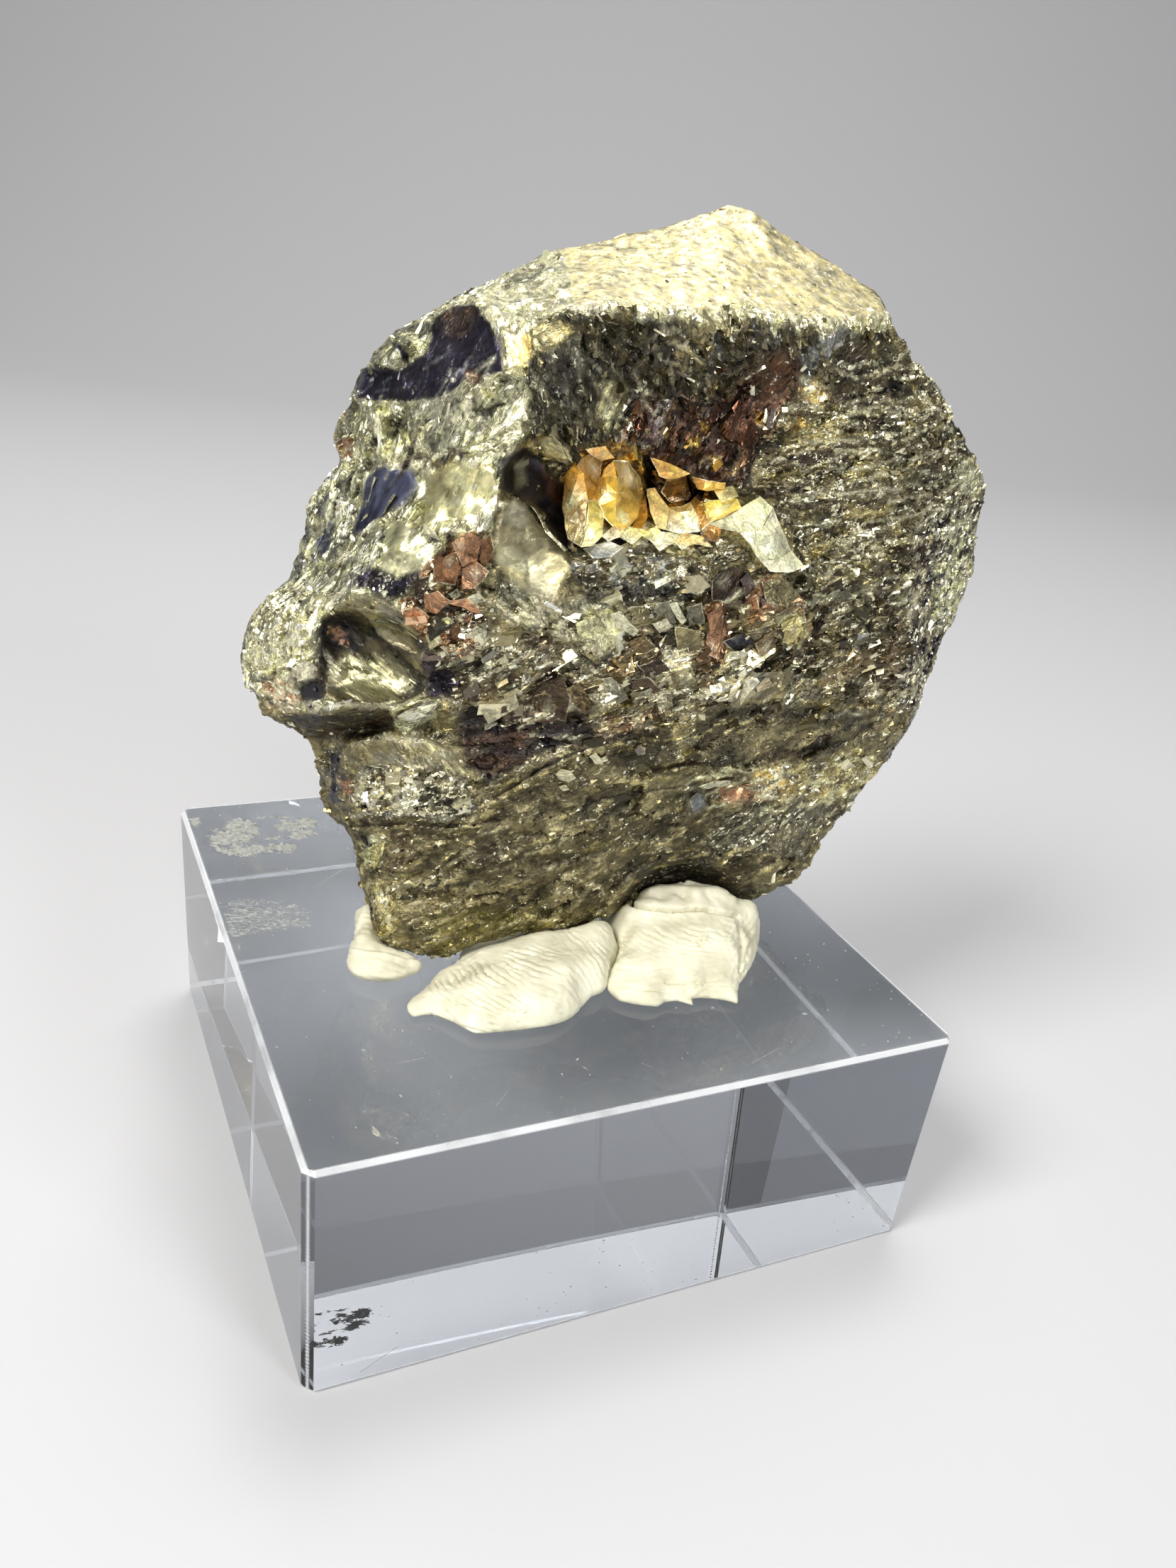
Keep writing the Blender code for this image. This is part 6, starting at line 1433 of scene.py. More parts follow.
plates("face_crystals", [
    # stained crystals left of the grey facet
    ([(638, 766, 0.9), (664, 750, 1.2), (681, 760, 1.1), (674, 792, 0.6), (652, 800, 0.8)], COPPER, 0.26, 65, 0.4),
    ([(612, 796, 0.7), (638, 778, 1.0), (651, 800, 0.8), (642, 826, 0.5), (610, 822, 0.6)], DEEP_COPPER * 1.4, 0.26, 50, 0.4),
    ([(652, 802, 0.8), (673, 792, 0.7), (690, 806, 0.5), (671, 830, 0.7), (652, 832, 0.9)], COPPER * 0.8, 0.28, -40, 0.4),
    ([(678, 762, 1.0), (692, 752, 0.8), (698, 775, 0.4), (684, 800, 0.4), (676, 790, 0.7)], DEEP_COPPER, 0.24, 80, 0.3),
    ([(586, 818, 0.6), (606, 812, 0.9), (606, 830, 0.8), (584, 840, 0.6)], BROWN, 0.28, 40, 0.4),
    ([(568, 862, 0.9), (588, 856, 1.1), (606, 870, 0.9), (596, 892, 0.6), (574, 882, 0.7)], COPPER * 1.1, 0.24, 60, 0.3),
    ([(598, 842, 0.8), (618, 833, 1.1), (636, 848, 1.0), (616, 866, 0.7), (600, 862, 0.7)], COPPER, 0.24, -50, 0.3),
    ([(636, 884, 0.2), (668, 862, 0.5), (664, 892, 0.2), (640, 916, 0.0)], DEEP_COPPER * 0.6, 0.22, 58, 0.4),
    ([(624, 850, 1.0), (660, 843, 0.9), (680, 866, 0.8), (672, 866, 0.5), (650, 856, 0.6)], COPPER * 1.2, 0.24, 10, 0.2),
    ([(655, 896, 0.6), (672, 882, 1.0), (687, 890, 1.0), (680, 916, 0.8), (660, 918, 0.6)], CREAM, 0.26, 60, 0.5),
    ([(600, 896, 0.6), (616, 888, 0.9), (624, 905, 0.7), (606, 918, 0.5)], SAND, 0.26, 60, 0.4),
    ([(618, 876, 0.5), (632, 870, 0.9), (640, 878, 0.8), (622, 888, 0.5)], PALE, 0.24, 30, 0.2),
    ([(660, 842, 0.9), (676, 836, 1.1), (686, 848, 1.0), (668, 854, 0.8)], CREAM, 0.26, 0, 0.2),
    ([(632, 838, 0.9), (645, 830, 1.0), (650, 840, 1.0), (640, 846, 0.8)], GREY_GREEN, 0.26, 0, 0.2),
    # the middle band
    ([(845, 958, 0.5), (862, 955, 0.8), (878, 968, 1.1), (887, 986, 1.0), (874, 993, 0.7), (852, 982, 0.6)],
     GREY_GREEN * 1.3, 0.24, -50, 0.4),
    ([(861, 866, 0.7), (874, 862, 0.9), (901, 889, 0.8), (894, 899, 0.5), (871, 886, 0.5)], CREAM, 0.26, -40, 0.3),
    ([(944, 852, 0.7), (955, 849, 0.9), (969, 875, 0.7), (962, 882, 0.5)], CREAM, 0.24, -60, 0.2),
    ([(1102, 880, 0.6), (1124, 868, 0.9), (1137, 894, 0.7), (1126, 913, 0.5), (1104, 906, 0.5)], BRASS * 1.2, 0.3, 50, 0.6),
    ([(997, 866, 0.6), (1017, 856, 0.9), (1024, 888, 0.7), (1014, 930, 0.5), (999, 924, 0.4)], COPPER * 0.8, 0.26, 78, 0.6),
    ([(1053, 846, 0.7), (1067, 838, 0.9), (1072, 866, 0.6), (1058, 874, 0.5)], DEEP_COPPER * 1.3, 0.26, 78, 0.5),
    ([(1004, 820, 0.5), (1020, 804, 0.9), (1042, 800, 0.9), (1044, 818, 0.6), (1022, 848, 0.4), (1005, 848, 0.3)],
     BROWN, 0.22, 60, 0.5),
    ([(1044, 818, 0.7), (1056, 806, 0.8), (1066, 830, 0.5), (1052, 845, 0.4)], ROSE_GREY * 0.6, 0.24, 70, 0.5),
    ([(1075, 822, 0.5), (1105, 815, 0.8), (1128, 838, 0.7), (1110, 858, 0.4), (1082, 850, 0.4)], OLIVE, 0.26, -50, 0.7),
    ([(880, 860, 0.5), (918, 852, 0.8), (926, 878, 0.6), (892, 890, 0.4)], OLIVE, 0.24, 20, 0.3),
    ([(912, 852, 0.8), (944, 848, 0.9), (954, 878, 0.6), (938, 892, 0.4), (918, 880, 0.5)], GREY_GREEN * 0.8, 0.24, -30, 0.3),
    ([(952, 884, 0.7), (990, 888, 0.8), (986, 920, 0.5), (956, 916, 0.4)], OLIVE * 0.9, 0.24, 30, 0.3),
    ([(968, 856, 0.7), (990, 850, 0.9), (994, 880, 0.6), (972, 882, 0.5)], GREY_GREEN * 0.7, 0.24, 60, 0.3),
    ([(886, 906, 0.6), (908, 896, 0.9), (926, 914, 0.7), (902, 928, 0.4)], BRONZE * 0.8, 0.26, 30, 0.5),
    ([(920, 880, 0.8), (940, 872, 1.0), (950, 884, 0.8), (930, 893, 0.6)], CREAM * 0.9, 0.26, 10, 0.3),
    ([(1020, 905, 0.7), (1050, 894, 0.9), (1064, 906, 0.7), (1040, 922, 0.5)], SMOKE, 0.2, 20, 0.2),
    ([(1030, 920, 0.9), (1058, 918, 0.9), (1050, 930, 0.7), (1028, 930, 0.6)], CREAM * 0.9, 0.26, 5, 0.2),
    ([(1064, 908, 0.6), (1090, 890, 0.8), (1096, 912, 0.6), (1074, 928, 0.4)], BRONZE * 0.8, 0.26, 50, 0.5),
    ([(900, 940, 0.6), (930, 928, 0.9), (945, 945, 0.7), (918, 958, 0.4)], BROWN, 0.26, 20, 0.5),
    ([(945, 950, 0.6), (975, 940, 0.9), (985, 965, 0.6), (955, 975, 0.4)], OLIVE, 0.24, 30, 0.4),
    ([(885, 962, 0.6), (915, 955, 0.8), (935, 975, 0.6), (900, 985, 0.4)], BROWN * 1.3, 0.24, -20, 0.4),
    ([(812, 880, 0.6), (838, 868, 0.9), (856, 885, 0.8), (842, 905, 0.5), (818, 902, 0.4)], PALE * 0.9, 0.28, -50, 0.6),
    ([(820, 912, 0.6), (842, 908, 0.7), (852, 925, 0.5), (830, 932, 0.4)], SAND, 0.28, -40, 0.5),
    ([(1005, 956, 0.6), (1040, 945, 0.8), (1090, 948, 0.7), (1060, 972, 0.5), (1010, 975, 0.3)], GREY_GREEN * 0.7, 0.24, 24, 0.7),
    ([(745, 988, 0.4), (768, 964, 0.8), (792, 955, 0.9), (806, 978, 0.8), (798, 1018, 0.4), (762, 1014, 0.2)],
     BROWN * 1.5, 0.26, -35, 0.4),
    ([(798, 972, 0.9), (816, 963, 1.0), (838, 994, 0.8), (826, 1008, 0.5), (806, 992, 0.6)], BRONZE * 0.8, 0.26, -48, 0.7),
    # below the face
    ([(783, 1092, 0.5), (792, 1085, 0.7), (806, 1088, 0.7), (813, 1098, 0.6), (802, 1104, 0.5), (788, 1100, 0.4)],
     CREAM, 0.3, -20, 0.2),
    ([(831, 1067, 0.5), (840, 1062, 0.7), (850, 1072, 0.6), (851, 1079, 0.5), (840, 1078, 0.4)], CREAM, 0.3, -40, 0.2),
    ([(788, 1110, 0.4), (798, 1107, 0.6), (804, 1114, 0.5), (794, 1117, 0.4)], CREAM, 0.3, 0, 0.2),
    ([(845, 1070, 0.5), (855, 1066, 0.6), (858, 1073, 0.5), (849, 1076, 0.4)], CREAM, 0.3, 0, 0.2),
    ([(984, 1110, 0.6), (1004, 1102, 0.9), (1031, 1101, 0.8), (1028, 1107, 0.7), (1000, 1113, 0.6)], CREAM, 0.3, 8, 0.2),
    ([(1046, 1108, 0.5), (1060, 1110, 0.7), (1070, 1116, 0.5), (1058, 1116, 0.4)], SAND, 0.3, -15, 0.2),
    ([(973, 1128, 0.4), (984, 1118, 0.7), (994, 1124, 0.6), (990, 1142, 0.4), (978, 1145, 0.3)], STEEL * 1.2, 0.26, 60, 0.3),
    ([(1182, 1078, 0.5), (1196, 1070, 0.8), (1208, 1082, 0.6), (1192, 1088, 0.4)], SAND, 0.3, 30, 0.3),
    ([(1215, 1070, 0.5), (1222, 1066, 0.7), (1232, 1078, 0.6), (1224, 1082, 0.4)], CREAM, 0.3, -50, 0.3),
    ([(895, 1058, 0.2), (902, 1052, 0.4), (911, 1055, 0.4), (910, 1064, 0.3), (900, 1066, 0.2)], ROSE_GREY, 0.34, 0, 0.2),
    # the nose and the flank
    ([(409, 948, 0.4), (420, 936, 0.8), (436, 932, 0.9), (448, 942, 0.8), (436, 956, 0.6), (418, 962, 0.4)],
     CREAM * 0.9, 0.26, 40, 0.3),
    ([(560, 1010, 0.6), (598, 988, 1.0), (620, 990, 0.9), (606, 1010, 0.7), (574, 1026, 0.5)], CREAM * 0.9, 0.3, 22, 0.7),
    ([(596, 740, 0.6), (612, 748, 0.8), (622, 764, 0.6), (604, 756, 0.5)], CREAM, 0.26, -35, 0.2),
    ([(524, 684, 0.3), (528, 672, 0.4), (531, 674, 0.4), (518, 712, 0.4), (513, 722, 0.3)], CREAM, 0.28, 65, 0.1),
    ([(552, 700, 0.3), (556, 696, 0.4), (558, 699, 0.4), (542, 724, 0.4), (538, 728, 0.3)], CREAM * 0.8, 0.28, 60, 0.1),
    ([(503, 733, 0.3), (518, 724, 0.4), (519, 728, 0.4), (505, 740, 0.3)], CREAM * 0.8, 0.28, 40, 0.1),
    ([(748, 713, 0.5), (753, 716, 0.6), (778, 752, 0.6), (801, 776, 0.5), (796, 778, 0.3), (770, 752, 0.3)], CREAM, 0.28, -48, 0.2),
    ([(700, 705, 0.3), (718, 710, 0.7), (712, 716, 0.7), (700, 716, 0.4)], CREAM, 0.26, -10, 0.2),
    ([(770, 610, 0.4), (776, 612, 0.6), (816, 652, 0.7), (812, 656, 0.5), (790, 636, 0.4)], SAND, 0.28, -42, 0.2),
    ([(696, 452, 0.3), (700, 452, 0.4), (712, 486, 0.5), (717, 520, 0.4), (711, 512, 0.3)], CREAM, 0.28, -70, 0.2),
    ([(505, 1205, 0.5), (520, 1196, 0.8), (542, 1186, 0.8), (540, 1204, 0.6), (528, 1228, 0.4), (514, 1214, 0.4)],
     PALE_GOLD, 0.28, 60, 0.7),
], 32, bow=0.05, shade=0.6, sunk=0.24)
big = np.zeros(len(final))
for outline in (MIDDLE, COPPER_1, COPPER_2, [(805, 775), (1000, 785), (1000, 845), (815, 850)],
                [(505, 1080), (655, 1090), (660, 1150), (500, 1150)]):
    big = np.maximum(big, outline_weight(S.uv, outline, 8))
S_keep = {k: getattr(S, k).copy() for k in ("size", "lift", "tilt", "glint", "dens", "aspect")}
S.size[:], S.lift[:], S.tilt[:], S.dens[:], S.aspect[:] = 0.75, 0.16, 34.0, 1.0, 1.6
grains("pyrite_blocks", 260, 21, big * (near > 0.4), 0.8)
for k, value in S_keep.items():
    setattr(S, k, value)


# --------------------------------------------------------------------------------- tack
def tack_material():
    mat = bpy.data.materials.new("white_tack")
    mat.use_nodes = True
    nt = mat.node_tree
    n, l = nt.nodes, nt.links
    bsdf = n["Principled BSDF"]
    bsdf.inputs["Subsurface Weight"].default_value = 0.05
    bsdf.inputs["Subsurface Scale"].default_value = 0.001
    bsdf.inputs["IOR"].default_value = 1.45
    coord = n.new("ShaderNodeTexCoord")
    noise = n.new("ShaderNodeTexNoise")
    noise.inputs["Scale"].default_value = 450.0
    noise.inputs["Detail"].default_value = 4.0
    l.new(coord.outputs["Object"], noise.inputs["Vector"])
    ramp = n.new("ShaderNodeValToRGB")
    ramp.color_ramp.elements[0].position = 0.3
    ramp.color_ramp.elements[0].color = (*srgb(190, 186, 160), 1)
    ramp.color_ramp.elements[1].position = 0.7
    ramp.color_ramp.elements[1].color = (*srgb(222, 219, 196), 1)
    l.new(noise.outputs["Fac"], ramp.inputs["Fac"])
    l.new(ramp.outputs["Color"], bsdf.inputs["Base Color"])
    rough = n.new("ShaderNodeMapRange")
    rough.inputs["To Min"].default_value = 0.45
    rough.inputs["To Max"].default_value = 0.7
    l.new(noise.outputs["Fac"], rough.inputs["Value"])
    l.new(rough.outputs["Result"], bsdf.inputs["Roughness"])
    bump = n.new("ShaderNodeBump")
    bump.inputs["Strength"].default_value = 0.25
    bump.inputs["Distance"].default_value = 0.00006
    l.new(noise.outputs["Fac"], bump.inputs["Height"])
    l.new(bump.outputs["Normal"], bsdf.inputs["Normal"])
    return mat


TACK = tack_material()


def tack_piece(node, name, ridge_sets, moves=(), folds=(), even=None, swell=0.0):
    co, tri = node_arrays(node)
    foot = co[:, 2].min()
    co, tri = refine(co, tri, lambda c: np.full(len(c), 0.42 * MM))
    e = edges_of(tri)
    calm = np.zeros(len(co)) if even is None else outline_weight(sighted(co), even, 12)
    for turn in range(26):
        rate = 0.5 if turn < 6 else 0.5 * calm[:, None]
        target = co + rate * (spread(co, e, len(co)) - co)
        hold = co[:, 2] < foot + 0.02 * MM
        target[hold, 2] = co[hold, 2]
        co = target
    co, tri = refine(co, tri, lambda c: np.full(len(c), 0.20 * MM))
    co = smoothed(co, tri, 1, 0.4)
    nrm = point_normals(co, tri)
    uv = sighted(co)
    for outline, shift, feather in moves:        # pull one side over, shift in picture units
        w = outline_weight(uv, outline, feather)
        px = np.linalg.norm(co - STATION, axis=1).mean() * PX
        co = co + w[:, None] * (ACROSS * shift[0] + DOWN * shift[1]) * px
    uv = sighted(co)
    rise = np.clip((co[:, 2] - foot) / (0.5 * MM), 0, 1) * np.clip(nrm[:, 2] * 1.5 + 0.4, 0, 1)
    h = 0.08 * cloud(co, 1.4, 77) + 0.05 * cloud(co, 0.6, 79) + swell
    bend = np.zeros(len(co))
    for points, width, depth in folds:
        bend += depth * line_weight(uv + np.stack([cloud(co, 2, 7), cloud(co, 2, 8)], 1) * 3, points, width)
    for k, (outline, slope, spacing, amp, curve) in enumerate(ridge_sets):
        w = outline_weight(uv + np.stack([cloud(co, 3, 5), cloud(co, 3, 6)], 1) * 7, outline, 16)
        a = math.radians(slope)
        cu = uv[:, 0] - sum(q[0] for q in outline) / len(outline)
        cv = uv[:, 1] - sum(q[1] for q in outline) / len(outline)
        run = cu * math.sin(a) + cv * math.cos(a)
        along = cu * math.cos(a) - cv * math.sin(a)
        run = run + curve * along ** 2 / 100.0 + 10.0 * cloud(co, 2.8, 91 + k) + 3.4 * cloud(co, 0.9, 97 + k)
        wave = np.abs(np.sin(math.pi * run / spacing)) ** 0.75
        patchy = np.clip(0.55 + 1.5 * cloud(co, 1.3, 95 + k), 0.0, 1.5)
        h += w * amp * (wave - 0.7) * patchy
    h += 0.03 * relief(co, [("scallops", 1.0, 0.5)], 60)
    off_foot = np.clip((co[:, 2] - foot) / (0.5 * MM), 0, 1)
    co = co + nrm * ((h * rise + bend * off_foot) * MM)[:, None]
    co[:, 2] = np.maximum(co[:, 2], foot - 0.22 * MM)
    ob = mesh_object(name, co, tri, [TACK], 60.0)
    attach(ob, "root")
    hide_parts(node)
    return ob


PX = float(np.linalg.norm(sight_line(900, 1300) - sight_line(901, 1300)))
tack_piece("tack_left", "tack_left_kneaded", [
    ([(600, 1390), (660, 1360), (730, 1365), (740, 1450), (660, 1450), (610, 1430)], -36, 8.5, 0.30, 0.10),
    ([(715, 1345), (790, 1340), (790, 1440), (725, 1450)], -22, 8.0, 0.26, 0.12),
    ([(800, 1315), (870, 1300), (870, 1380), (805, 1410)], -50, 8.5, 0.16, -0.10),
], moves=[([(815, 1280), (900, 1260), (900, 1400), (830, 1400)], (7, 0), 16)],
    folds=[([(600, 1440), (650, 1448), (700, 1462)], 7, -0.25), ([(636, 1345), (650, 1352)], 5, -0.2)])
tack_piece("tack_right", "tack_right_kneaded", [
    ([(880, 1296), (1045, 1302), (1045, 1345), (870, 1345)], -18, 7.5, 0.22, 0.08),
    ([(870, 1350), (1040, 1355), (1050, 1410), (880, 1410)], 10, 9.0, 0.16, 0.06),
    ([(1035, 1295), (1080, 1295), (1080, 1390), (1035, 1390)], 62, 9.0, 0.16, 0.0),
    ([(885, 1235), (1045, 1235), (1045, 1280), (885, 1272)], 4, 13, 0.07, 0.0),
], moves=[([(850, 1240), (905, 1240), (900, 1400), (845, 1400)], (-7, 0), 16)],
    folds=[([(888, 1274), (910, 1281), (950, 1285), (1000, 1284), (1040, 1293)], 8, -0.75),
           ([(890, 1258), (950, 1254), (1010, 1258), (1034, 1272)], 20, 0.30),
           ([(960, 1238), (968, 1250)], 8, -0.2), ([(940, 1385), (975, 1388), (1010, 1382)], 6, -0.22),
           ([(1040, 1300), (1048, 1330), (1044, 1370)], 8, -0.4), ([(905, 1395), (950, 1400)], 6, -0.2)],
    even=[(880, 1225), (1050, 1225), (1050, 1285), (880, 1275)])
tack_piece("tack_dab", "tack_dab_pressed", [
    ([(490, 1285), (605, 1285), (605, 1390), (490, 1390)], -20, 9.0, 0.16, 0.05),
], folds=[([(500, 1345), (540, 1350), (590, 1365)], 8, 0.2)], swell=0.30)


# -------------------------------------------------------------------------------- block
def acrylic_material():
    mat = bpy.data.materials.new("clear_acrylic")
    mat.use_nodes = True
    nt = mat.node_tree
    n, l = nt.nodes, nt.links
    bsdf = n["Principled BSDF"]
    bsdf.inputs["Base Color"].default_value = (0.96, 0.98, 1, 1)
    bsdf.inputs["IOR"].default_value = 1.49
    coord = n.new("ShaderNodeTexCoord")
    noise = n.new("ShaderNodeTexNoise")
    noise.inputs["Scale"].default_value = 120.0
    noise.inputs["Detail"].default_value = 8.0
    l.new(coord.outputs["Object"], noise.inputs["Vector"])
    def maths(op, a, b=None, clamp=False):
        m = n.new("ShaderNodeMath")
        m.operation = op
        m.use_clamp = clamp
        for i, x in enumerate((a, b)):
            if isinstance(x, (int, float)):
                m.inputs[i].default_value = x
            elif x is not None:
                l.new(x, m.inputs[i])
        return m.outputs[0]

    def ranged(value, lo, hi, to_lo=0.0, to_hi=1.0):
        m = n.new("ShaderNodeMapRange")
        m.interpolation_type = "SMOOTHSTEP"
        for key, x in (("From Min", lo), ("From Max", hi), ("To Min", to_lo), ("To Max", to_hi)):
            m.inputs[key].default_value = x
        l.new(value, m.inputs["Value"])
        return m.outputs["Result"]

    # sawn and scraped along its edges: frosted there, with fine saw marks
    axes = n.new("ShaderNodeSeparateXYZ")
    l.new(coord.outputs["Object"], axes.inputs["Vector"])
    ex = ranged(maths("ABSOLUTE", axes.outputs[0]), 24.50 * MM, 24.72 * MM)
    ey = ranged(maths("ABSOLUTE", axes.outputs[1]), 24.50 * MM, 24.72 * MM)
    ez = ranged(maths("ABSOLUTE", maths("SUBTRACT", axes.outputs[2], 10.0 * MM)), 9.62 * MM, 9.80 * MM)
    upright = maths("MULTIPLY", ex, ey)
    edge = maths("MAXIMUM", upright, maths("MULTIPLY", maths("MAXIMUM", ex, ey), maths("MULTIPLY", ez, 0.8)))
    saw = n.new("ShaderNodeTexWave")
    saw.bands_direction = "Z"
    saw.inputs["Scale"].default_value = 900.0
    saw.inputs["Distortion"].default_value = 3.0
    saw.inputs["Detail"].default_value = 3.0
    l.new(coord.outputs["Object"], saw.inputs["Vector"])
    worn = maths("MULTIPLY", edge, ranged(noise.outputs["Fac"], 0.30, 0.55, 0.55, 1.0))
    l.new(maths("ADD", ranged(noise.outputs["Fac"], 0.50, 0.80, 0.0, 0.03), maths("MULTIPLY", worn, 0.42)), bsdf.inputs["Roughness"])
    l.new(maths("SUBTRACT", 1.0, maths("MULTIPLY", worn, 0.62)), bsdf.inputs["Transmission Weight"])
    bump = n.new("ShaderNodeBump")
    bump.inputs["Distance"].default_value = 0.00008
    l.new(maths("MULTIPLY", upright, 0.8), bump.inputs["Strength"])
    l.new(saw.outputs["Fac"], bump.inputs["Height"])
    l.new(bump.outputs["Normal"], bsdf.inputs["Normal"])
    soak = n.new("ShaderNodeVolumeAbsorption")
    soak.inputs["Color"].default_value = (0.82, 0.86, 0.92, 1)
    soak.inputs["Density"].default_value = 12.0
    l.new(soak.outputs["Volume"], n["Material Output"].inputs["Volume"])
    return mat


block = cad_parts["acrylic_block"]
block.data.materials.clear()
block.data.materials.append(acrylic_material())

def smear_material(name, dark, light, rough_value):
    mat = bpy.data.materials.new(name)
    mat.use_nodes = True
    nt = mat.node_tree
    n, l = nt.nodes, nt.links
    bsdf = n["Principled BSDF"]
    coord = n.new("ShaderNodeTexCoord")
    noise = n.new("ShaderNodeTexNoise")
    noise.inputs["Scale"].default_value = 2600.0
    noise.inputs["Detail"].default_value = 4.0
    l.new(coord.outputs["Object"], noise.inputs["Vector"])
    ramp = n.new("ShaderNodeValToRGB")
    ramp.color_ramp.elements[0].position = 0.35
    ramp.color_ramp.elements[0].color = (*dark, 1)
    ramp.color_ramp.elements[1].position = 0.65
    ramp.color_ramp.elements[1].color = (*light, 1)
    l.new(noise.outputs["Fac"], ramp.inputs["Fac"])
    l.new(ramp.outputs["Color"], bsdf.inputs["Base Color"])
    bsdf.inputs["Roughness"].default_value = rough_value
    bsdf.inputs["Transmission Weight"].default_value = 0.45
    return mat


def flakes(name, spots, mat, seed):
    """Thin scraps lying on the block: (point, angle, length, width, thickness in mm)."""
    rng = np.random.default_rng(seed)
    co, tris = [], []
    for k, (q, angle, long, wide, tall) in enumerate(spots):
        d = np.array([math.cos(angle), math.sin(angle), 0.0])
        e = np.array([-d[1], d[0], 0.0])
        for c in UNIT_CUBE:
            jig = 1 + rng.uniform(-0.4, 0.15, 2)
            shrink = 0.7 if c[2] > 0 else 1.0
            co.append(
                q + d * c[0] * 0.5 * long * MM * jig[0] * shrink + e * c[1] * 0.5 * wide * MM * jig[1] * shrink
                + np.array([0, 0, tall * MM if c[2] > 0 else -0.004 * MM])
            )
        tris.append(CUBE_TRI + 8 * k)
    ob = mesh_object(name, np.array(co), np.concatenate(tris), [mat])
    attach(ob, "root")
    return ob


def spots_in(outline, count, seed, long, wide, tall, fade=0.0):
    """Scraps spread inside an outline on the block's top, thinner in patches."""
    rng = np.random.default_rng(seed)
    corner = np.array(outline, float)
    lo, hi = corner.min(0), corner.max(0)
    flat = math.atan2(ACROSS[1], ACROSS[0])
    out = []
    while len(out) < count:
        c = lo + (hi - lo) * rng.random((400, 2))
        c = c[outline_weight(c, outline, 4.0) > rng.random(400)]
        q = np.array([at_z(u, v, 20.0) for u, v in c]).reshape(-1, 3)
        if fade:
            q = q[cloud(q, 1.3, seed) > fade * rng.uniform(-1, 1.2, len(q))]
        for place in q:
            if max(abs(place[0]), abs(place[1])) > 24.4 * MM:
                continue
            out.append((
                place, flat + rng.normal(0, 0.45), long * math.exp(rng.normal(0, 0.5)), wide * math.exp(rng.normal(0, 0.4)),
                tall * rng.uniform(0.5, 1.2),
            ))
    return out[:count]


FILM = [(294, 1172), (300, 1166), (340, 1157), (375, 1153), (430, 1151), (445, 1158), (440, 1166), (400, 1170),
        (440, 1172), (445, 1175), (420, 1183), (405, 1188), (415, 1195), (405, 1201), (370, 1200), (345, 1208),
        (310, 1202), (300, 1190)]
SMEAR_REFLECTION = [(292, 1285), (330, 1268), (400, 1272), (440, 1285), (436, 1305), (380, 1312), (330, 1322), (300, 1310)]
smear_and_reflection_flakes = spots_in(FILM, 2700, 51, 0.32, 0.12, 0.03, 0.15)
smear_and_reflection_flakes += spots_in([(266, 1156), (280, 1154), (282, 1164), (268, 1166)], 60, 52, 0.3, 0.15, 0.04)
# painted reflection: pale flakes laid on the block's top where the smear's reflection in the block's bottom shows
smear_and_reflection_flakes += spots_in(SMEAR_REFLECTION, 520, 53, 0.30, 0.08, 0.02, 0.9)
flakes("tack_smear_and_reflection", smear_and_reflection_flakes, smear_material("dried_tack_and_reflection", srgb(150, 152, 146), srgb(206, 208, 200), 0.75), 54)
rng = np.random.default_rng(55)
dust = []
for _ in range(460):
    q = np.array([*rng.uniform(-24.3, 24.3, 2) * MM, 20.0 * MM])
    size = 0.06 * math.exp(rng.normal(0, 0.45))
    dust.append((q, rng.uniform(0, 3.14), size * rng.uniform(1, 2.2), size, 0.02 + 0.25 * size))
for ends in (((447, 1250), (497, 1218)), ((335, 1375), (348, 1368)), ((289, 1252), (294, 1254)), ((560, 1500), (600, 1492)),
             ((700, 1560), (716, 1540)), ((1060, 1500), (1100, 1478)), ((905, 1500), (921, 1506))):
    p0, p1 = (np.array(at_z(*q, 20.0)) for q in ends)
    span = p1 - p0
    for k in range(10):
        f = (k + rng.uniform(0, 0.6)) / 10
        dust.append((p0 + span * f, math.atan2(span[1], span[0]), np.linalg.norm(span) / MM / 9, 0.045, 0.012))
flakes("dust_specks", dust, smear_material("pale_dust", srgb(168, 172, 174), srgb(222, 224, 224), 0.8), 56)

# ------------------------------------------------------------------ floor, backdrop, light
floor_mat = bpy.data.materials.new("pale_floor")
floor_mat.use_nodes = True
fb = floor_mat.node_tree.nodes["Principled BSDF"]
fb.inputs["Base Color"].default_value = (0.44, 0.44, 0.45, 1)
fb.inputs["Roughness"].default_value = 0.7


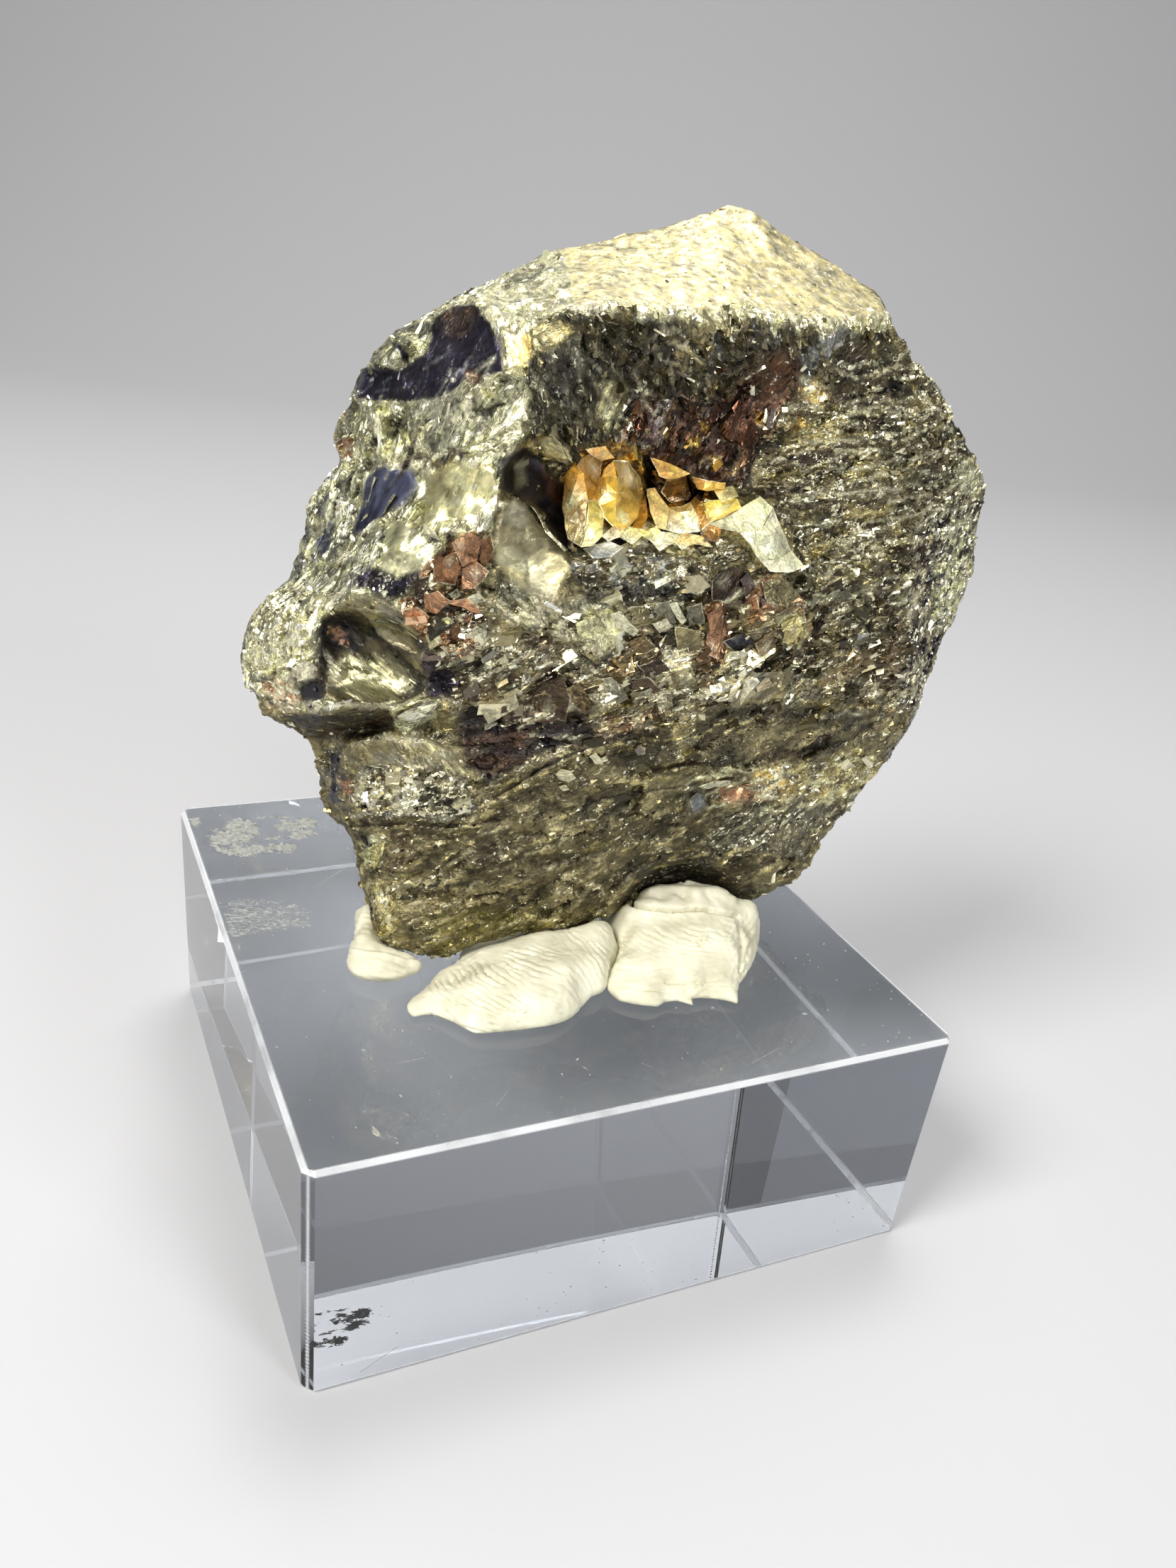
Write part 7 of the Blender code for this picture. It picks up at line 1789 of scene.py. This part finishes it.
def sweep_stage():
    """A pale floor that curves up into a backdrop far behind."""
    a = math.atan2(-0.43, 0.90)
    profile = [(-1.2, 0.0), (0.35, 0.0)]
    for k in range(1, 13):
        t = math.radians(90 * k / 12)
        profile.append((0.35 + 0.35 * math.sin(t), 0.35 - 0.35 * math.cos(t)))
    profile.append((0.70, 1.6))
    half = 1.6
    d = Vector((AHEAD[0], AHEAD[1], 0)).normalized()
    s = Vector((d.y, -d.x, 0))
    co, tri = [], []
    for run, z in profile:
        for side in (-1, 1):
            p = d * run + s * (side * half) + Vector((0, 0, z))
            co.append((p.x, p.y, p.z - 0.00005))
    for k in range(len(profile) - 1):
        i = 2 * k
        tri += [(i, i + 1, i + 3), (i, i + 3, i + 2)]
    ob = mesh_object("studio_sweep", np.array(co), np.array(tri), [floor_mat])
    ob.data.shade_smooth()
    return ob


sweep_stage()


def area_light(name, place, target, size, power, colour=(1, 1, 1)):
    data = bpy.data.lights.new(name, "AREA")
    data.shape = "RECTANGLE"
    data.size, data.size_y = size
    data.energy = power
    data.color = colour
    ob = bpy.data.objects.new(name, data)
    bpy.context.scene.collection.objects.link(ob)
    ob.location = place
    ob.rotation_euler = (Vector(target) - Vector(place)).to_track_quat("-Z", "Y").to_euler()
    return ob


area_light("key", (-0.40, -0.12, 0.46), (0, 0, 0.045), (0.22, 0.22), 4.4, (1.0, 0.98, 0.94))
area_light("top", (0.10, 0.16, 0.60), (0, 0, 0.045), (0.26, 0.26), 2.6, (1.0, 0.99, 0.97))
area_light("fill", (0.22, -0.58, 0.30), (0, 0, 0.04), (0.20, 0.20), 2.2, (0.98, 0.99, 1.0))
area_light("front", (-0.12, -0.50, 0.30), (0, 0, 0.04), (0.14, 0.14), 0.9, (1.0, 0.99, 0.96))

world = bpy.data.worlds.new("studio")
bpy.context.scene.world = world
world.use_nodes = True
world.node_tree.nodes["Background"].inputs["Color"].default_value = (0.78, 0.80, 0.86, 1)
world.node_tree.nodes["Background"].inputs["Strength"].default_value = 0.20

bpy.context.scene.view_settings.view_transform = "Standard"
